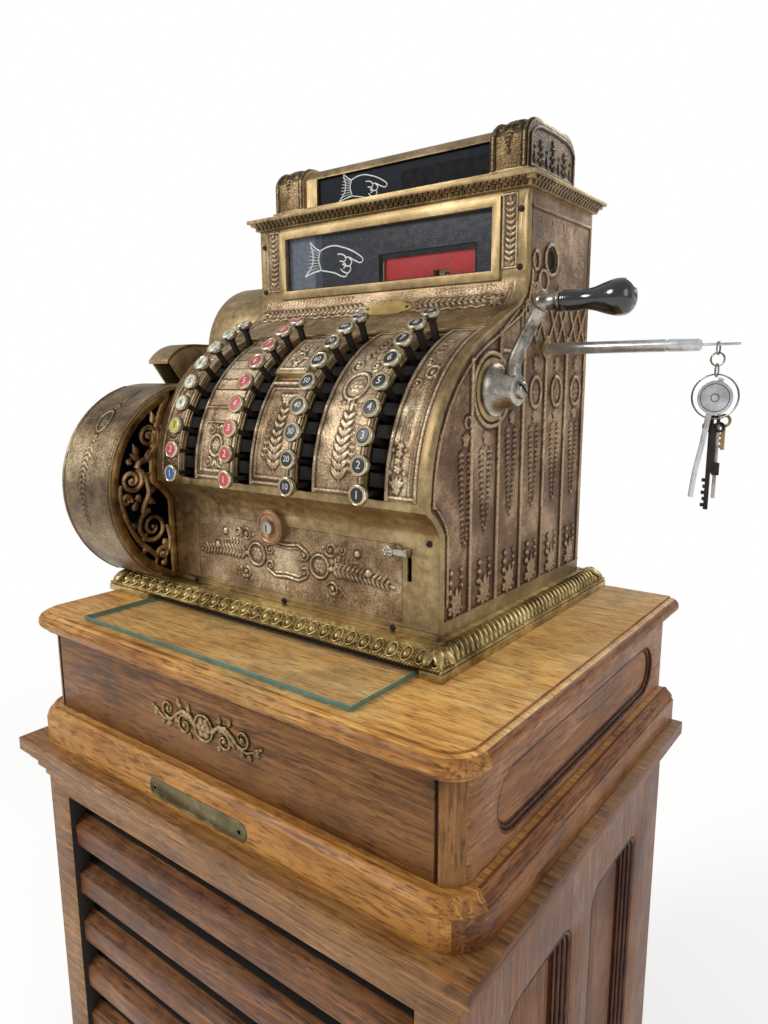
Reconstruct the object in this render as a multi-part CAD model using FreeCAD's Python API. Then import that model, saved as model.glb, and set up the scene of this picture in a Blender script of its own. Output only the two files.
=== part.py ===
"""Floor-standing brass cash and ticket register: head, cash drawer and oak cabinet."""
import FreeCAD, Part
import math
import os

from FreeCAD import Vector

os.makedirs("parts", exist_ok=True)

# cabinet, millimetres; the origin is the centre of its footprint on the floor
cabinet_width = 660.0
cabinet_depth = 556.0
carcass_height = 843.0
side_thickness = 40.0
stile_width = 46.0
stile_thickness = 24.0
back_thickness = 12.0
floor_thickness = 14.0
plinth_height = 150.0
bearer_width = 40.0
top_rail_height = 58.0
board_thickness = 18.0
board_overhang = 25.0
board_back_overhang = 6.0
crown_height = 38.0
crown_reach = 22.0
panel_depth = 14.0
panel_recess = 11.0
panel_count = 2
panel_stile = 94.0
panel_muntin = 58.0
panel_top_rail = 108.0
panel_bottom_rail = 130.0
panel_corner_radius = 26.0
panel_field_margin = 30.0
rail_count = 8
rail_height = 40.0
rail_gap = 34.0
rail_depth = 46.0
rail_setback = 6.0
rail_bevel_height = 10.0
rail_bevel_depth = 16.0
runner_width = 18.0
runner_height = 18.0

# cash drawer case and slab
case_side_inset = 9.0
case_front_inset = 13.0
case_height = 153.0
case_wall = 22.0
case_floor = 16.0
case_corner_radius = 26.0
ogee_height = 47.0
ogee_reach = 21.0
ogee_band_share = 0.70
slab_thickness = 26.0
slab_overhang = 18.0
slab_back_overhang = 6.0
slab_corner_radius = 40.0
slab_edge_radius = 9.0
side_recess_depth = 6.0
side_recess_margin_x = 40.0
side_recess_low = 10.0
side_recess_height = 70.0
drawer_gap = 1.0
drawer_front_thickness = 18.0
drawer_side = 10.0
drawer_floor = 8.0
drawer_length = 430.0
drawer_wall_height = 78.0
drawer_run_gap = 0.3
coin_cups = 6
coin_row_depth = 110.0
coin_cup_depth = 40.0
coin_wall = 8.0
note_bays = 5
note_wall = 7.0

# brass head; its local frame has x = 0 at the right end of the base, y = 0 at the base's front, z = 0 on the slab
head_right = 236.0
head_front = 123.0
base_width = 572.0
base_depth = 440.0
base_height = 26.0
base_inner_margin = 60.0
base_slot_left = 91.0
base_slot_right = 28.0
base_slot_height = 9.0
base_slot_depth = 26.0
casing_inset = 33.0
casing_width = 437.0
casing_front = 45.0
casing_back = 412.0
casing_wall = 4.0
cove_bottom = 115.0
cove_top = 137.0
bank_axis_y = 208.0
bank_axis_z = 174.0
bank_radius = 190.0
bank_low_angle = -2.4
bank_high_angle = 64.0
ramp_y = 201.0
ramp_z = 381.0
housing_front = 224.0
housing_bottom = 424.0
housing_top = 514.0
window_left = 50.0
window_right = 45.0
window_low = 425.0
window_high = 497.0
window_rim = 11.0
window_rim_height = 4.0
window_rim_seat = 2.0
lower_panel_margin = 48.0
lower_panel_low = 36.0
lower_panel_high = 123.0
lower_panel_sink = 1.5
vent_radius = 14.5
vent_y = 287.5
vent_z = 440.5

# keys
key_banks = 4
keys_per_bank = 9
first_bank_inset = 67.0
bank_pitch = 101.7
first_key_angle = 2.3
key_pitch_angle = 8.12
slot_width = 24.0
slot_low_angle = -1.0
slot_high_angle = 71.0
cover_low_angle = -1.8
cover_high_angle = 74.0
cover_thickness = 4.0
pad_height = 3.0
cap_radius = 11.5
cap_height = 7.5
cap_rim = 1.8
disc_thickness = 1.6
cap_seat_radius = 210.0
stem_width = 8.0
stem_thickness = 5.0
stem_inner_radius = 151.0
stem_collar_width = 12.0
stem_collar_thickness = 9.0
stem_collar_height = 4.0
key_travel = 8.0
guide_outer_radius = 168.0
guide_thickness = 4.0
guide_gap = 0.3
spacer_width = 19.0
spacer_length = 15.0
spacer_top_radius = 184.0
lock_box_left = 283.0
lock_box_width = 51.0
lock_box_low_angle = 42.0
lock_box_high_angle = 62.0
lock_box_height = 12.0

# cornice and hood
cornice_overhang = 14.0
cornice_height = 15.0
cornice_lip = 5.0
cornice_step = 6.0
hood_right = 43.0
hood_length = 407.0
hood_front = 238.0
hood_back = 372.0
hood_plinth = 10.0
hood_straight = 30.0
hood_crown = 597.0
hood_wall = 4.0
hood_middle_inset = 5.0
hood_end_right = 50.0
hood_end_left = 77.0
hood_post = 22.0
hood_window_low = 539.0
hood_window_high = 577.0

# printer cover
drum_axis_y = 86.5
drum_axis_z = 152.5
drum_radius = 141.5
drum_wall = 4.0
printer_width = 111.0
printer_link_top = 282.0
rear_axis_y = 316.0
rear_axis_z = 339.0
rear_radius = 108.0
grille_thickness = 4.0
grille_rim = 12.0
grille_hole_radius = 14.0
grille_hole_count = 6
chute_width = 44.0
chute_outset = 20.0
chute_mouth_y = 110.0
chute_lip_y = 84.0
chute_bend_y = 131.0
chute_bend_radius = 61.0
chute_top = 347.0
chute_end_inset = 18.0
chute_wall = 3.0
lid_thickness = 3.0
lid_gap = 0.4
lid_reach = 3.0
lid_pin_radius = 1.5
lid_knuckle_radius = 3.0

# crank and gears
crank_y = 146.0
crank_z = 287.0
crank_shaft_radius = 8.0
shaft_running_gap = 0.05
crank_shaft_length = 96.0
crank_boss_radius = 35.0
crank_boss_height = 3.0
crank_hub_radius = 29.0
crank_hub_end_radius = 17.0
crank_hub_gap = 0.5
crank_hub_length = 31.0
crank_radius = 90.0
crank_arm_thickness = 16.0
crank_arm_width = 18.0
crank_arm_lean = 32.0
crank_collar_radius = 11.0
crank_collar_length = 22.0
crank_nut_radius = 10.0
crank_nut_height = 7.0
grip_length = 75.0
grip_neck_radius = 10.5
grip_waist_radius = 10.0
grip_bulb_radius = 18.0
grip_gap = 0.4
spindle_radius = 4.0
gear_module = 2.0
pinion_teeth = 24
gear_teeth = 48
gear_backlash = 0.35
gear_width = 10.0
gear_inset = 24.0
pressure_angle = 20.0
gear_line_angle = -47.2
main_shaft_radius = 7.0
cam_radius = 30.0
cam_width = 6.0
type_wheel_radius = 26.0
type_wheel_width = 8.0
type_wheel_count = 5

# indicator
indicator_wheel_radius = 47.0
indicator_wheel_width = 26.0
indicator_wheel_count = 4
indicator_pitch = 35.0
indicator_first = 26.0
indicator_shaft_radius = 6.0
indicator_journal_gap = 0.05
journal_dimple_radius = 10.0
journal_dimple_depth = 2.5
flash_width = 160.0
flash_height = 44.0
flash_low = 423.0
flash_thickness = 2.0
flash_notch_width = 25.0
flash_notch_height = 12.0
flash_notch_offset = 81.0
flash_guide_gap = 0.3
flash_guide_wall = 3.0
glass_thickness = 3.0
glass_lap = 4.0

# release rod and what hangs on it
rod_y = 281.0
rod_z = 335.0
rod_radius = 7.0
rod_length_out = 183.0
rod_length_in = 70.0
rod_boss_radius = 12.0
rod_boss_length = 36.0
rod_boss_face = 3.0
pin_radius = 1.5
pin_length = 40.0
hang_from_end = 18.0
link_radius = 7.0
link_wire = 1.0
link_count = 3
link_gap = 0.3
ring_radius = 24.0
ring_wire = 1.3
long_key_length = 125.0
second_key_length = 112.0

# front lever and lock
lever_inset = 38.5
lever_slot_width = 5.5
lever_slot_low = 84.0
lever_slot_high = 121.0
lever_stem = 4.5
lever_stem_height = 8.0
lever_gap = 0.5
lever_reach = 22.0
lever_knob_radius = 7.0
lock_inset = 243.0
lock_z = 121.0
lock_radius = 9.0
lock_boss_radius = 22.0
lock_boss_face = 36.0
lock_boss_depth = 10.0
lock_gap = 0.05

# counter glass and small brass
plate_glass_thickness = 6.0
plate_glass_front = 101.0
plate_glass_inset = 10.0
screw_head_radius = 3.6
screw_head_height = 2.0
screw_clearance = 0.3
screw_shank_radius = 1.5
screw_shank_length = 3.0
name_plate_length = 78.0
name_plate_height = 20.0
name_plate_thickness = 1.5
tag_length = 163.0
tag_height = 23.0
tag_thickness = 1.5
tag_low = 7.5
tag_corner = 9.0

# derived places
case_width = cabinet_width - 2 * case_side_inset
case_front = -cabinet_depth / 2 + case_front_inset
case_back = cabinet_depth / 2
board_z = carcass_height
case_z = carcass_height + board_thickness
slab_z = case_z + case_height
counter_z = slab_z + slab_thickness
slab_front = case_front - slab_overhang - 2.0
drawer_floor_z = case_z + ogee_height
head_y = slab_front + head_front
case_inner = case_width / 2 - case_wall
casing_right = -casing_inset
casing_left = casing_right - casing_width
inner_right = casing_right - casing_wall
inner_left = casing_left + casing_wall
printer_left = casing_left - printer_width
ORIGIN = Vector(head_right, head_y, counter_z)
X = Vector(1, 0, 0)
Y = Vector(0, 1, 0)
Z = Vector(0, 0, 1)


def save(name, shape, place=None):
    """Write one named piece, moved from its local frame to the part's frame."""
    out = shape.copy()
    if place is not None:
        out.translate(place)
    if not out.isValid():
        print("not valid:", name)
    out.exportStep("parts/%s.step" % name)
    box = out.BoundBox
    print("%-18s solids %2d  x %7.1f %7.1f  y %7.1f %7.1f  z %7.1f %7.1f" % (
        name, len(out.Solids), box.XMin, box.XMax, box.YMin, box.YMax, box.ZMin, box.ZMax))


def box(x0, x1, y0, y1, z0, z1):
    """A box between two corners."""
    return Part.makeBox(x1 - x0, y1 - y0, z1 - z0, Vector(x0, y0, z0))


def rod(x0, x1, y, z, radius):
    """A round bar along x."""
    return Part.makeCylinder(radius, x1 - x0, Vector(x0, y, z), X)


def prism(points, x0, x1):
    """Points (y, z) closed to a face and run along x."""
    corners = [Vector(x0, y, z) for y, z in points]
    face = Part.Face(Part.makePolygon(corners + corners[:1]))
    return face.extrude(Vector(x1 - x0, 0, 0))


def fuse(shapes):
    """One solid from touching shapes."""
    first = shapes[0]
    return first.fuse(shapes[1:]).removeSplitter() if len(shapes) > 1 else first


def rounded_box(x0, x1, y0, y1, z0, z1, radius):
    """A box with its front vertical corners rounded."""
    body = box(x0, x1, y0, y1, z0, z1)
    edges = []
    for edge in body.Edges:
        a = edge.Vertexes[0].Point
        b = edge.Vertexes[-1].Point
        if abs(a.z - b.z) > 1 and abs(a.y - y0) < 0.01 and abs(a.x - b.x) < 0.01:
            edges.append(edge)
    return body.makeFillet(radius, edges)


def at_angle(angle, radius):
    """A point (y, z) on a circle about the key banks' axis, angle from the front."""
    turn = math.radians(angle)
    return (bank_axis_y - radius * math.cos(turn), bank_axis_z + radius * math.sin(turn))


def bank_arc(angle0, angle1, r0, r1, x0, x1):
    """A curved plate about the key banks' axis, between two radii and two angles."""
    middle = (angle0 + angle1) / 2
    points = []
    for angle, radius in ((angle0, r1), (middle, r1), (angle1, r1), (angle1, r0), (middle, r0), (angle0, r0)):
        y, z = at_angle(angle, radius)
        points.append(Vector(x0, y, z))
    edges = [
        Part.Arc(points[0], points[1], points[2]).toShape(),
        Part.makeLine(points[2], points[3]),
        Part.Arc(points[3], points[4], points[5]).toShape(),
        Part.makeLine(points[5], points[0]),
    ]
    face = Part.Face(Part.Wire(edges))
    return face.extrude(Vector(x1 - x0, 0, 0))


def turned(profile, x0, y, z):
    """A body of revolution about an x axis; the profile is (distance along x, radius)."""
    points = [Vector(x0 + a, y, z + r) for a, r in profile]
    points = [Vector(points[0].x, y, z)] + points + [Vector(points[-1].x, y, z)]
    clean = [points[0]]
    for point in points[1:]:
        if point.distanceToPoint(clean[-1]) > 0.001:
            clean.append(point)
    face = Part.Face(Part.makePolygon(clean + clean[:1]))
    return face.revolve(Vector(x0, y, z), X, 360)


def cabinet_case():
    """Oak carcass: sides with sunk panels, stiles, rails, back, floor, top board and crown."""
    w = cabinet_width / 2
    d = cabinet_depth / 2
    top = carcass_height
    shell = box(-w, w, -d, d, 0, top)
    inner_top = top - top_rail_height + top_rail_height / 2
    inner_x = w - side_thickness
    shell = shell.cut(box(-inner_x, inner_x, -d + stile_thickness, d - back_thickness,
                          plinth_height - floor_thickness, inner_top))
    shell = shell.cut(box(-(w - stile_width), w - stile_width, -d - 1, -d + stile_thickness + 1,
                          plinth_height, top - top_rail_height))
    hollow = box(-inner_x, inner_x, -d + stile_thickness, d - back_thickness, -1,
                 plinth_height - 2 * floor_thickness)
    bearer = box(-inner_x, inner_x, -bearer_width / 2, bearer_width / 2, -2, plinth_height)
    shell = shell.cut(hollow.cut(bearer))
    span = (cabinet_depth - panel_stile - panel_stile - panel_muntin * (panel_count - 1)) / panel_count
    low = panel_bottom_rail
    high = top - panel_top_rail
    for side in (-1, 1):
        for index in range(panel_count):
            y0 = -d + panel_stile + index * (span + panel_muntin)
            y1 = y0 + span
            outer = arched(side * w, side * (w - panel_depth), y0, y1, low, high, panel_corner_radius)
            shell = shell.cut(outer)
            reach = side * (w - panel_depth)
            ring = arched(reach, reach - side * panel_recess, y0 + panel_field_margin / 2,
                          y1 - panel_field_margin / 2, low + panel_field_margin / 2,
                          high - panel_field_margin / 2, panel_corner_radius / 2)
            field = arched(reach, reach - side * panel_recess, y0 + panel_field_margin,
                           y1 - panel_field_margin, low + panel_field_margin,
                           high - panel_field_margin, panel_corner_radius / 2)
            shell = shell.cut(ring.cut(field))
    board = box(-w - board_overhang, w + board_overhang, -d - board_overhang, d + board_back_overhang,
                top, top + board_thickness)
    crown = crown_ring(w, d, top)
    return fuse([shell, crown, board])


def arched(x0, x1, y0, y1, z0, z1, radius):
    """A slab across x whose two top corners are rounded."""
    mid0 = Vector(x0, y0 + radius * (1 - math.sqrt(0.5)), z1 - radius * (1 - math.sqrt(0.5)))
    mid1 = Vector(x0, y1 - radius * (1 - math.sqrt(0.5)), z1 - radius * (1 - math.sqrt(0.5)))
    edges = [
        Part.makeLine(Vector(x0, y0, z0), Vector(x0, y0, z1 - radius)),
        Part.Arc(Vector(x0, y0, z1 - radius), mid0, Vector(x0, y0 + radius, z1)).toShape(),
        Part.makeLine(Vector(x0, y0 + radius, z1), Vector(x0, y1 - radius, z1)),
        Part.Arc(Vector(x0, y1 - radius, z1), mid1, Vector(x0, y1, z1 - radius)).toShape(),
        Part.makeLine(Vector(x0, y1, z1 - radius), Vector(x0, y1, z0)),
        Part.makeLine(Vector(x0, y1, z0), Vector(x0, y0, z0)),
    ]
    return Part.Face(Part.Wire(edges)).extrude(Vector(x1 - x0, 0, 0))


def crown_ring(w, d, top):
    """The sloping moulding under the board, on the front and both sides."""
    steps = ((0.0, 0.15), (0.35, 0.45), (0.7, 0.75), (0.9, 1.0))
    rings = []
    count = len(steps)
    for index, (low, reach) in enumerate(steps):
        z0 = top - crown_height + low * crown_height
        z1 = top if index == count - 1 else top - crown_height + steps[index + 1][0] * crown_height
        out = reach * crown_reach
        rings.append(box(-w - out, w + out, -d - out, d, z0, z1))
    body = fuse(rings)
    return body.cut(box(-w + 1, w - 1, -d + 1, d + 1, top - crown_height - 1, top + 1))


def cabinet_rails():
    """At each level a bevelled front rail and a separate runner at each side."""
    w = cabinet_width / 2 - side_thickness
    front = -cabinet_depth / 2 + rail_setback
    stile = cabinet_width / 2 - stile_width
    back = cabinet_depth / 2 - back_thickness
    first = carcass_height - top_rail_height - rail_gap - rail_height
    pieces = []
    for index in range(rail_count):
        z0 = first - index * (rail_height + rail_gap)
        z1 = z0 + rail_height
        section = [
            (front, z0), (front, z1 - rail_bevel_height), (front + rail_bevel_depth, z1),
            (front + rail_depth, z1), (front + rail_depth, z0),
        ]
        rail = prism(section, -stile, stile)
        ears = box(-w, w, front + stile_thickness - rail_setback, front + rail_depth, z0, z1)
        pieces.append(fuse([rail, ears]))
        for side in (-1, 1):
            x0 = min(side * w, side * (w - runner_width))
            pieces.append(box(x0, x0 + runner_width, front + rail_depth, back, z0, z0 + runner_height))
    return Part.makeCompound(pieces)


def ogee_ring(x, y0, y1, z0, radius):
    """The stepped and rounded base moulding of the drawer case."""
    band = ogee_band_share
    levels = ((0.0, band, 1.0), (band, band + 0.1, 0.62), (band + 0.1, 1.0, 0.5))
    rings = []
    for low, high, reach in levels:
        out = reach * ogee_reach
        rings.append(rounded_box(-x - out, x + out, y0 - out, y1, z0 + low * ogee_height,
                                 z0 + high * ogee_height, radius + out))
    return fuse(rings)


def drawer_case():
    """Oak case of the cash drawer, open at the front, with rounded posts and base moulding."""
    x = case_width / 2
    top = slab_z
    body = rounded_box(-x, x, case_front, case_back, case_z, top, case_corner_radius)
    body = fuse([body, ogee_ring(x, case_front, case_back, case_z, case_corner_radius)])
    body = body.cut(box(-case_inner, case_inner, case_front - 2 * ogee_reach, case_back - case_wall,
                        drawer_floor_z, top + 1))
    body = body.cut(box(-case_inner, case_inner, case_front + case_wall, case_back - case_wall,
                        case_z - 1, drawer_floor_z - case_floor))
    low = drawer_floor_z + side_recess_low
    for side in (-1, 1):
        recess = stadium(side * x, side * (x - side_recess_depth), case_front + side_recess_margin_x + 25.0,
                         case_back - side_recess_margin_x, low, low + side_recess_height)
        body = body.cut(recess)
    return body


def stadium(x0, x1, y0, y1, z0, z1):
    """A slab across x with half-round ends."""
    radius = (z1 - z0) / 2
    middle = (z0 + z1) / 2
    edges = [
        Part.makeLine(Vector(x0, y0 + radius, z0), Vector(x0, y1 - radius, z0)),
        Part.Arc(Vector(x0, y1 - radius, z0), Vector(x0, y1, middle), Vector(x0, y1 - radius, z1)).toShape(),
        Part.makeLine(Vector(x0, y1 - radius, z1), Vector(x0, y0 + radius, z1)),
        Part.Arc(Vector(x0, y0 + radius, z1), Vector(x0, y0, middle), Vector(x0, y0 + radius, z0)).toShape(),
    ]
    return Part.Face(Part.Wire(edges)).extrude(Vector(x1 - x0, 0, 0))


def counter_top():
    """Oak slab with rounded corners and a rounded edge."""
    x = case_width / 2 + slab_overhang
    body = rounded_box(-x, x, slab_front, case_back + slab_back_overhang, slab_z, counter_z, slab_corner_radius)
    edges = []
    for edge in body.Edges:
        zs = [vertex.Point.z for vertex in edge.Vertexes]
        ys = [vertex.Point.y for vertex in edge.Vertexes]
        flat = abs(zs[0] - zs[-1]) < 0.01
        at_back = min(ys) > case_back + slab_back_overhang - 0.1
        if flat and not at_back:
            edges.append(edge)
    return body.makeFillet(slab_edge_radius, edges)


def cash_drawer():
    """Drawer built of strips: front board, floor, walls, coin cups in front and note bays behind them."""
    x = case_inner - drawer_gap
    z0 = drawer_floor_z + drawer_run_gap
    z1 = slab_z - drawer_gap
    y0 = case_front + drawer_front_thickness
    back = y0 + drawer_length
    wall_top = z0 + drawer_wall_height
    cups_front = y0 + drawer_side
    cups_back = cups_front + coin_row_depth
    bays_front = cups_back + coin_wall
    bays_back = back - drawer_side
    in_x = x - drawer_side
    floor_top = z0 + drawer_floor
    pieces = [
        box(-x, x, case_front, y0, z0, z1),
        box(-in_x, in_x, y0, cups_front, z0, wall_top),
        box(-in_x, in_x, cups_back, bays_front, z0, wall_top),
        box(-in_x, in_x, bays_back, back, z0, wall_top),
        box(-in_x, in_x, bays_front, bays_back, z0, floor_top),
        box(-x + 0.5, -in_x, y0, back, z0, wall_top),
        box(in_x, x - 0.5, y0, back, z0, wall_top),
    ]
    pitch = (2 * in_x + coin_wall) / coin_cups
    cup_radius = coin_row_depth / 2
    middle = (cups_front + cups_back) / 2
    for index in range(coin_cups):
        x0 = -in_x + index * pitch
        x1 = x0 + pitch - coin_wall
        hollow = Part.makeCylinder(cup_radius, x1 - x0, Vector(x0, middle, wall_top - coin_cup_depth + cup_radius), X)
        pieces.append(box(x0, x1, cups_front, cups_back, z0, wall_top).cut(hollow))
        if index:
            pieces.append(box(x0 - coin_wall, x0, cups_front, cups_back, z0, wall_top))
    pitch = (2 * in_x + note_wall) / note_bays
    for index in range(1, note_bays):
        x0 = -in_x + index * pitch
        pieces.append(box(x0 - note_wall, x0, bays_front, bays_back, floor_top, wall_top))
    return Part.makeCompound(pieces)


def base_moulding():
    """Cast brass base: stepped outline, open inside, with a low slot along its front."""
    steps = (
        (0.0, 0.0, 9.0), (4.0, 9.0, 14.0), (9.0, 14.0, 19.0), (16.0, 19.0, 22.5), (25.0, 22.5, base_height),
    )
    rings = []
    for inset, z0, z1 in steps:
        rings.append(box(-base_width + inset, -inset, inset, base_depth - inset, z0, z1))
    body = fuse(rings)
    body = body.cut(box(-base_width + base_inner_margin, -base_inner_margin, base_inner_margin + 20.0,
                        base_depth - base_inner_margin, -1, base_height + 1))
    body = body.cut(box(-base_width + base_slot_left, -base_slot_right, -1, base_slot_depth, -1, base_slot_height))
    drum = rod(printer_left - 1, casing_left + 0.5, drum_axis_y, drum_axis_z, drum_radius + 0.3)
    return body.cut(drum)


def casing_outline(inset):
    """Corner points and arcs of the casing's side, moved inwards by inset: (y, z) pairs."""
    front = casing_front + inset
    radius = bank_radius - inset
    nose = at_angle(bank_low_angle, radius)
    top = at_angle(bank_high_angle, radius)
    middle = at_angle((bank_low_angle + bank_high_angle) / 2, radius)
    shift = inset * 0.9
    ramp = (ramp_y + inset * 0.5, ramp_z - shift)
    bend = (housing_front - 4.0 + inset * 0.8, housing_bottom - 22.0 - inset * 0.3)
    wall = (housing_front + inset, housing_bottom)
    cove_mid = (front - 9.0, cove_top + 13.0 + inset * 0.2)
    return front, nose, middle, top, ramp, bend, wall, cove_mid


def casing_prism(inset, x0, x1, z_low, z_high, y_back):
    """The casing's side outline, moved inwards by inset, run along x."""
    front, nose, middle, top, ramp, bend, wall, cove_mid = casing_outline(inset)

    def point(pair):
        return Vector(x0, pair[0], pair[1])

    low = (front, z_low)
    cove = (front, cove_top + inset * 0.4)
    edges = [
        Part.makeLine(point(low), point(cove)),
        Part.Arc(point(cove), point(cove_mid), point(nose)).toShape(),
        Part.Arc(point(nose), point(middle), point(top)).toShape(),
        Part.makeLine(point(top), point(ramp)),
        Part.Arc(point(ramp), point(bend), point(wall)).toShape(),
        Part.makeLine(point(wall), point((wall[0], z_high))),
        Part.makeLine(point((wall[0], z_high)), point((y_back, z_high))),
        Part.makeLine(point((y_back, z_high)), point((y_back, z_low))),
        Part.makeLine(point((y_back, z_low)), point(low)),
    ]
    return Part.Face(Part.Wire(edges)).extrude(Vector(x1 - x0, 0, 0))


def window_rim_box(y0, y1, x0, x1, z0, z1):
    """A raised frame round a window."""
    outer = box(x0 - window_rim, x1 + window_rim, y0, y1, z0 - window_rim, z1 + window_rim)
    return outer.cut(box(x0, x1, y0 - 1, y1 + 1, z0, z1))


def body_casing():
    """Hollow casing: sides, back, lower front, frieze and indicator housing."""
    outer = casing_prism(0.0, casing_left, casing_right, base_height, housing_top, casing_back)
    inner = casing_prism(casing_wall, inner_left, inner_right, base_height - 1, housing_top + 1,
                         casing_back - casing_wall)
    body = outer.cut(inner)
    rim = 10.0
    opening = bank_arc(cover_low_angle + 2.0, cover_high_angle - 2.0, bank_radius - 30.0, bank_radius + 20.0,
                       casing_left + rim, casing_right - rim)
    body = body.cut(opening)
    wx0 = casing_left + window_left + 4.0
    wx1 = casing_right - window_right
    body = body.cut(box(wx0, wx1, housing_front - 1, housing_front + casing_wall + 1, window_low, window_high))
    body = body.cut(box(wx0, wx1, casing_back - casing_wall - 1, casing_back + 1, window_low, window_high))
    front_rim = window_rim_box(housing_front - window_rim_height, housing_front + window_rim_seat, wx0, wx1,
                               window_low, window_high)
    back_rim = window_rim_box(casing_back - window_rim_seat, casing_back + window_rim_height, wx0, wx1,
                              window_low, window_high)
    panel = box(casing_left + lower_panel_margin, casing_right - lower_panel_margin, casing_front - 1,
                casing_front + lower_panel_sink, lower_panel_low, lower_panel_high)
    ledge = box(casing_left, casing_right, casing_front - 4.0, casing_front, base_height, base_height + 7.0)
    body = body.cut(panel)
    lock_x = casing_right - lock_inset
    lock_boss = Part.makeCylinder(lock_boss_radius, casing_front + lock_boss_depth - lock_boss_face,
                                  Vector(lock_x, lock_boss_face, lock_z), Y)
    rod_boss_in = rod(inner_right - rod_boss_length, casing_right, rod_y, rod_z, rod_boss_radius)
    crank_boss = rod(casing_right, casing_right + crank_boss_height, crank_y, crank_z, crank_boss_radius)
    crank_bush = rod(inner_right - 14.0, casing_right, crank_y, crank_z, crank_shaft_radius + 6.0)
    rod_face = rod(casing_right, casing_right + rod_boss_face, rod_y, rod_z, rod_boss_radius)
    gear_y, gear_z = gear_axis()
    shaft_bush = rod(inner_right - 6.0, casing_right, gear_y, gear_z, main_shaft_radius + 6.0)
    guides = flash_guides()
    body = fuse([body, front_rim, back_rim, ledge, lock_boss, rod_boss_in, rod_face, crank_boss, crank_bush,
                 shaft_bush] + guides)
    body = body.cut(Part.makeCylinder(lock_radius + lock_gap, 60.0, Vector(lock_x, lock_boss_face - 5, lock_z), Y))
    body = body.cut(rod(casing_right - 60.0, casing_right + 20, rod_y, rod_z, rod_radius + shaft_running_gap))
    body = body.cut(rod(casing_right - 40.0, casing_right + 20, crank_y, crank_z,
                        crank_shaft_radius + shaft_running_gap))
    body = body.cut(rod(casing_left - 1, casing_right - 3.0, gear_y, gear_z, main_shaft_radius + shaft_running_gap))
    body = body.cut(rod(casing_left - 1, casing_right + 1, vent_y, vent_z, vent_radius))
    slot_x = casing_right - lever_inset
    body = body.cut(box(slot_x - lever_slot_width / 2, slot_x + lever_slot_width / 2, casing_front - 10.0,
                        casing_front + 12.0, lever_slot_low, lever_slot_high))
    for hole in screw_places():
        x, z, y = hole
        body = body.cut(Part.makeCylinder(screw_shank_radius, screw_shank_length, Vector(x, y, z), Y))
    return body


def flash_guides():
    """Two grooved strips behind the front wall that carry the red shutter."""
    x1 = casing_right - window_right - 10.0
    x0 = x1 - flash_width
    y0 = housing_front + casing_wall
    y1 = y0 + glass_thickness + 2 * flash_guide_wall + flash_thickness + 2 * flash_guide_gap
    groove0 = y0 + glass_thickness + flash_guide_wall
    z1 = housing_top - 4.0
    guides = []
    for side, edge in ((-1, x0), (1, x1)):
        a = min(edge - side * 3.0, edge + side * 5.0)
        strip = box(a, a + 8.0, y0 + glass_thickness, y1, flash_low, z1)
        b = min(edge - side * 3.5, edge + side * flash_guide_gap)
        groove = box(b, b + 3.5 + flash_guide_gap, groove0, groove0 + flash_thickness + 2 * flash_guide_gap,
                     flash_low - 1 + 1.0, z1 + 1)
        tie = box(a, a + 8.0, y0, y0 + glass_thickness, window_high + glass_lap + 1.0, z1)
        guides.append(fuse([strip, tie]).cut(groove))
    return guides


def screw_places():
    """Slotted screws of the front castings: (x, z, y of the seat)."""
    low = base_height + screw_head_radius + screw_clearance
    places = []
    for x in (58.0, 225.0, 392.0):
        places.append((casing_right - x, low, casing_front - 4.0))
    places.append((casing_right - 13.0, 129.0, casing_front))
    for z in (window_low + 2.0, window_high - 6.0):
        places.append((casing_right - 9.0, z, housing_front))
        places.append((casing_left + 8.0, z, housing_front))
    return places


def bank_x(index):
    """Middle of a key bank; bank 0 is at the left."""
    return casing_right - first_bank_inset - (key_banks - 1 - index) * bank_pitch


def key_cover():
    """Curved cover with the key slots, raised pads between them and a lock box."""
    inner = bank_radius - casing_wall - cover_thickness
    outer = bank_radius - casing_wall
    rim = 10.0
    plate = bank_arc(cover_low_angle, cover_high_angle, inner, outer, inner_left, inner_right)
    pads = []
    edges = [casing_left + rim]
    for index in range(key_banks):
        edges.append(bank_x(index) - slot_width / 2 - 2.0)
        edges.append(bank_x(index) + slot_width / 2 + 2.0)
    edges.append(casing_right - rim)
    for index in range(key_banks + 1):
        pads.append(bank_arc(cover_low_angle + 2.0, cover_high_angle - 2.0, outer - 0.5, outer + pad_height,
                             edges[2 * index], edges[2 * index + 1]))
    box_x0 = -lock_box_left
    lock_box = bank_arc(lock_box_low_angle, lock_box_high_angle, outer, outer + lock_box_height,
                        box_x0, box_x0 + lock_box_width)
    body = fuse([plate] + pads + [lock_box])
    for index in range(key_banks):
        body = body.cut(bank_arc(slot_low_angle, slot_high_angle, inner - 5, outer + 30,
                                 bank_x(index) - slot_width / 2, bank_x(index) + slot_width / 2))
    return body


def key_angle(index):
    """Angle of a key in its bank, from the front."""
    return first_key_angle + index * key_pitch_angle


def radial_block(angle, r0, r1, x, width, thickness):
    """A block that stands on the key banks' axis at an angle."""
    block = box(x - width / 2, x + width / 2, bank_axis_y - r1, bank_axis_y - r0,
                bank_axis_z - thickness / 2, bank_axis_z + thickness / 2)
    block.rotate(Vector(0, bank_axis_y, bank_axis_z), X, -angle)
    return block


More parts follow.
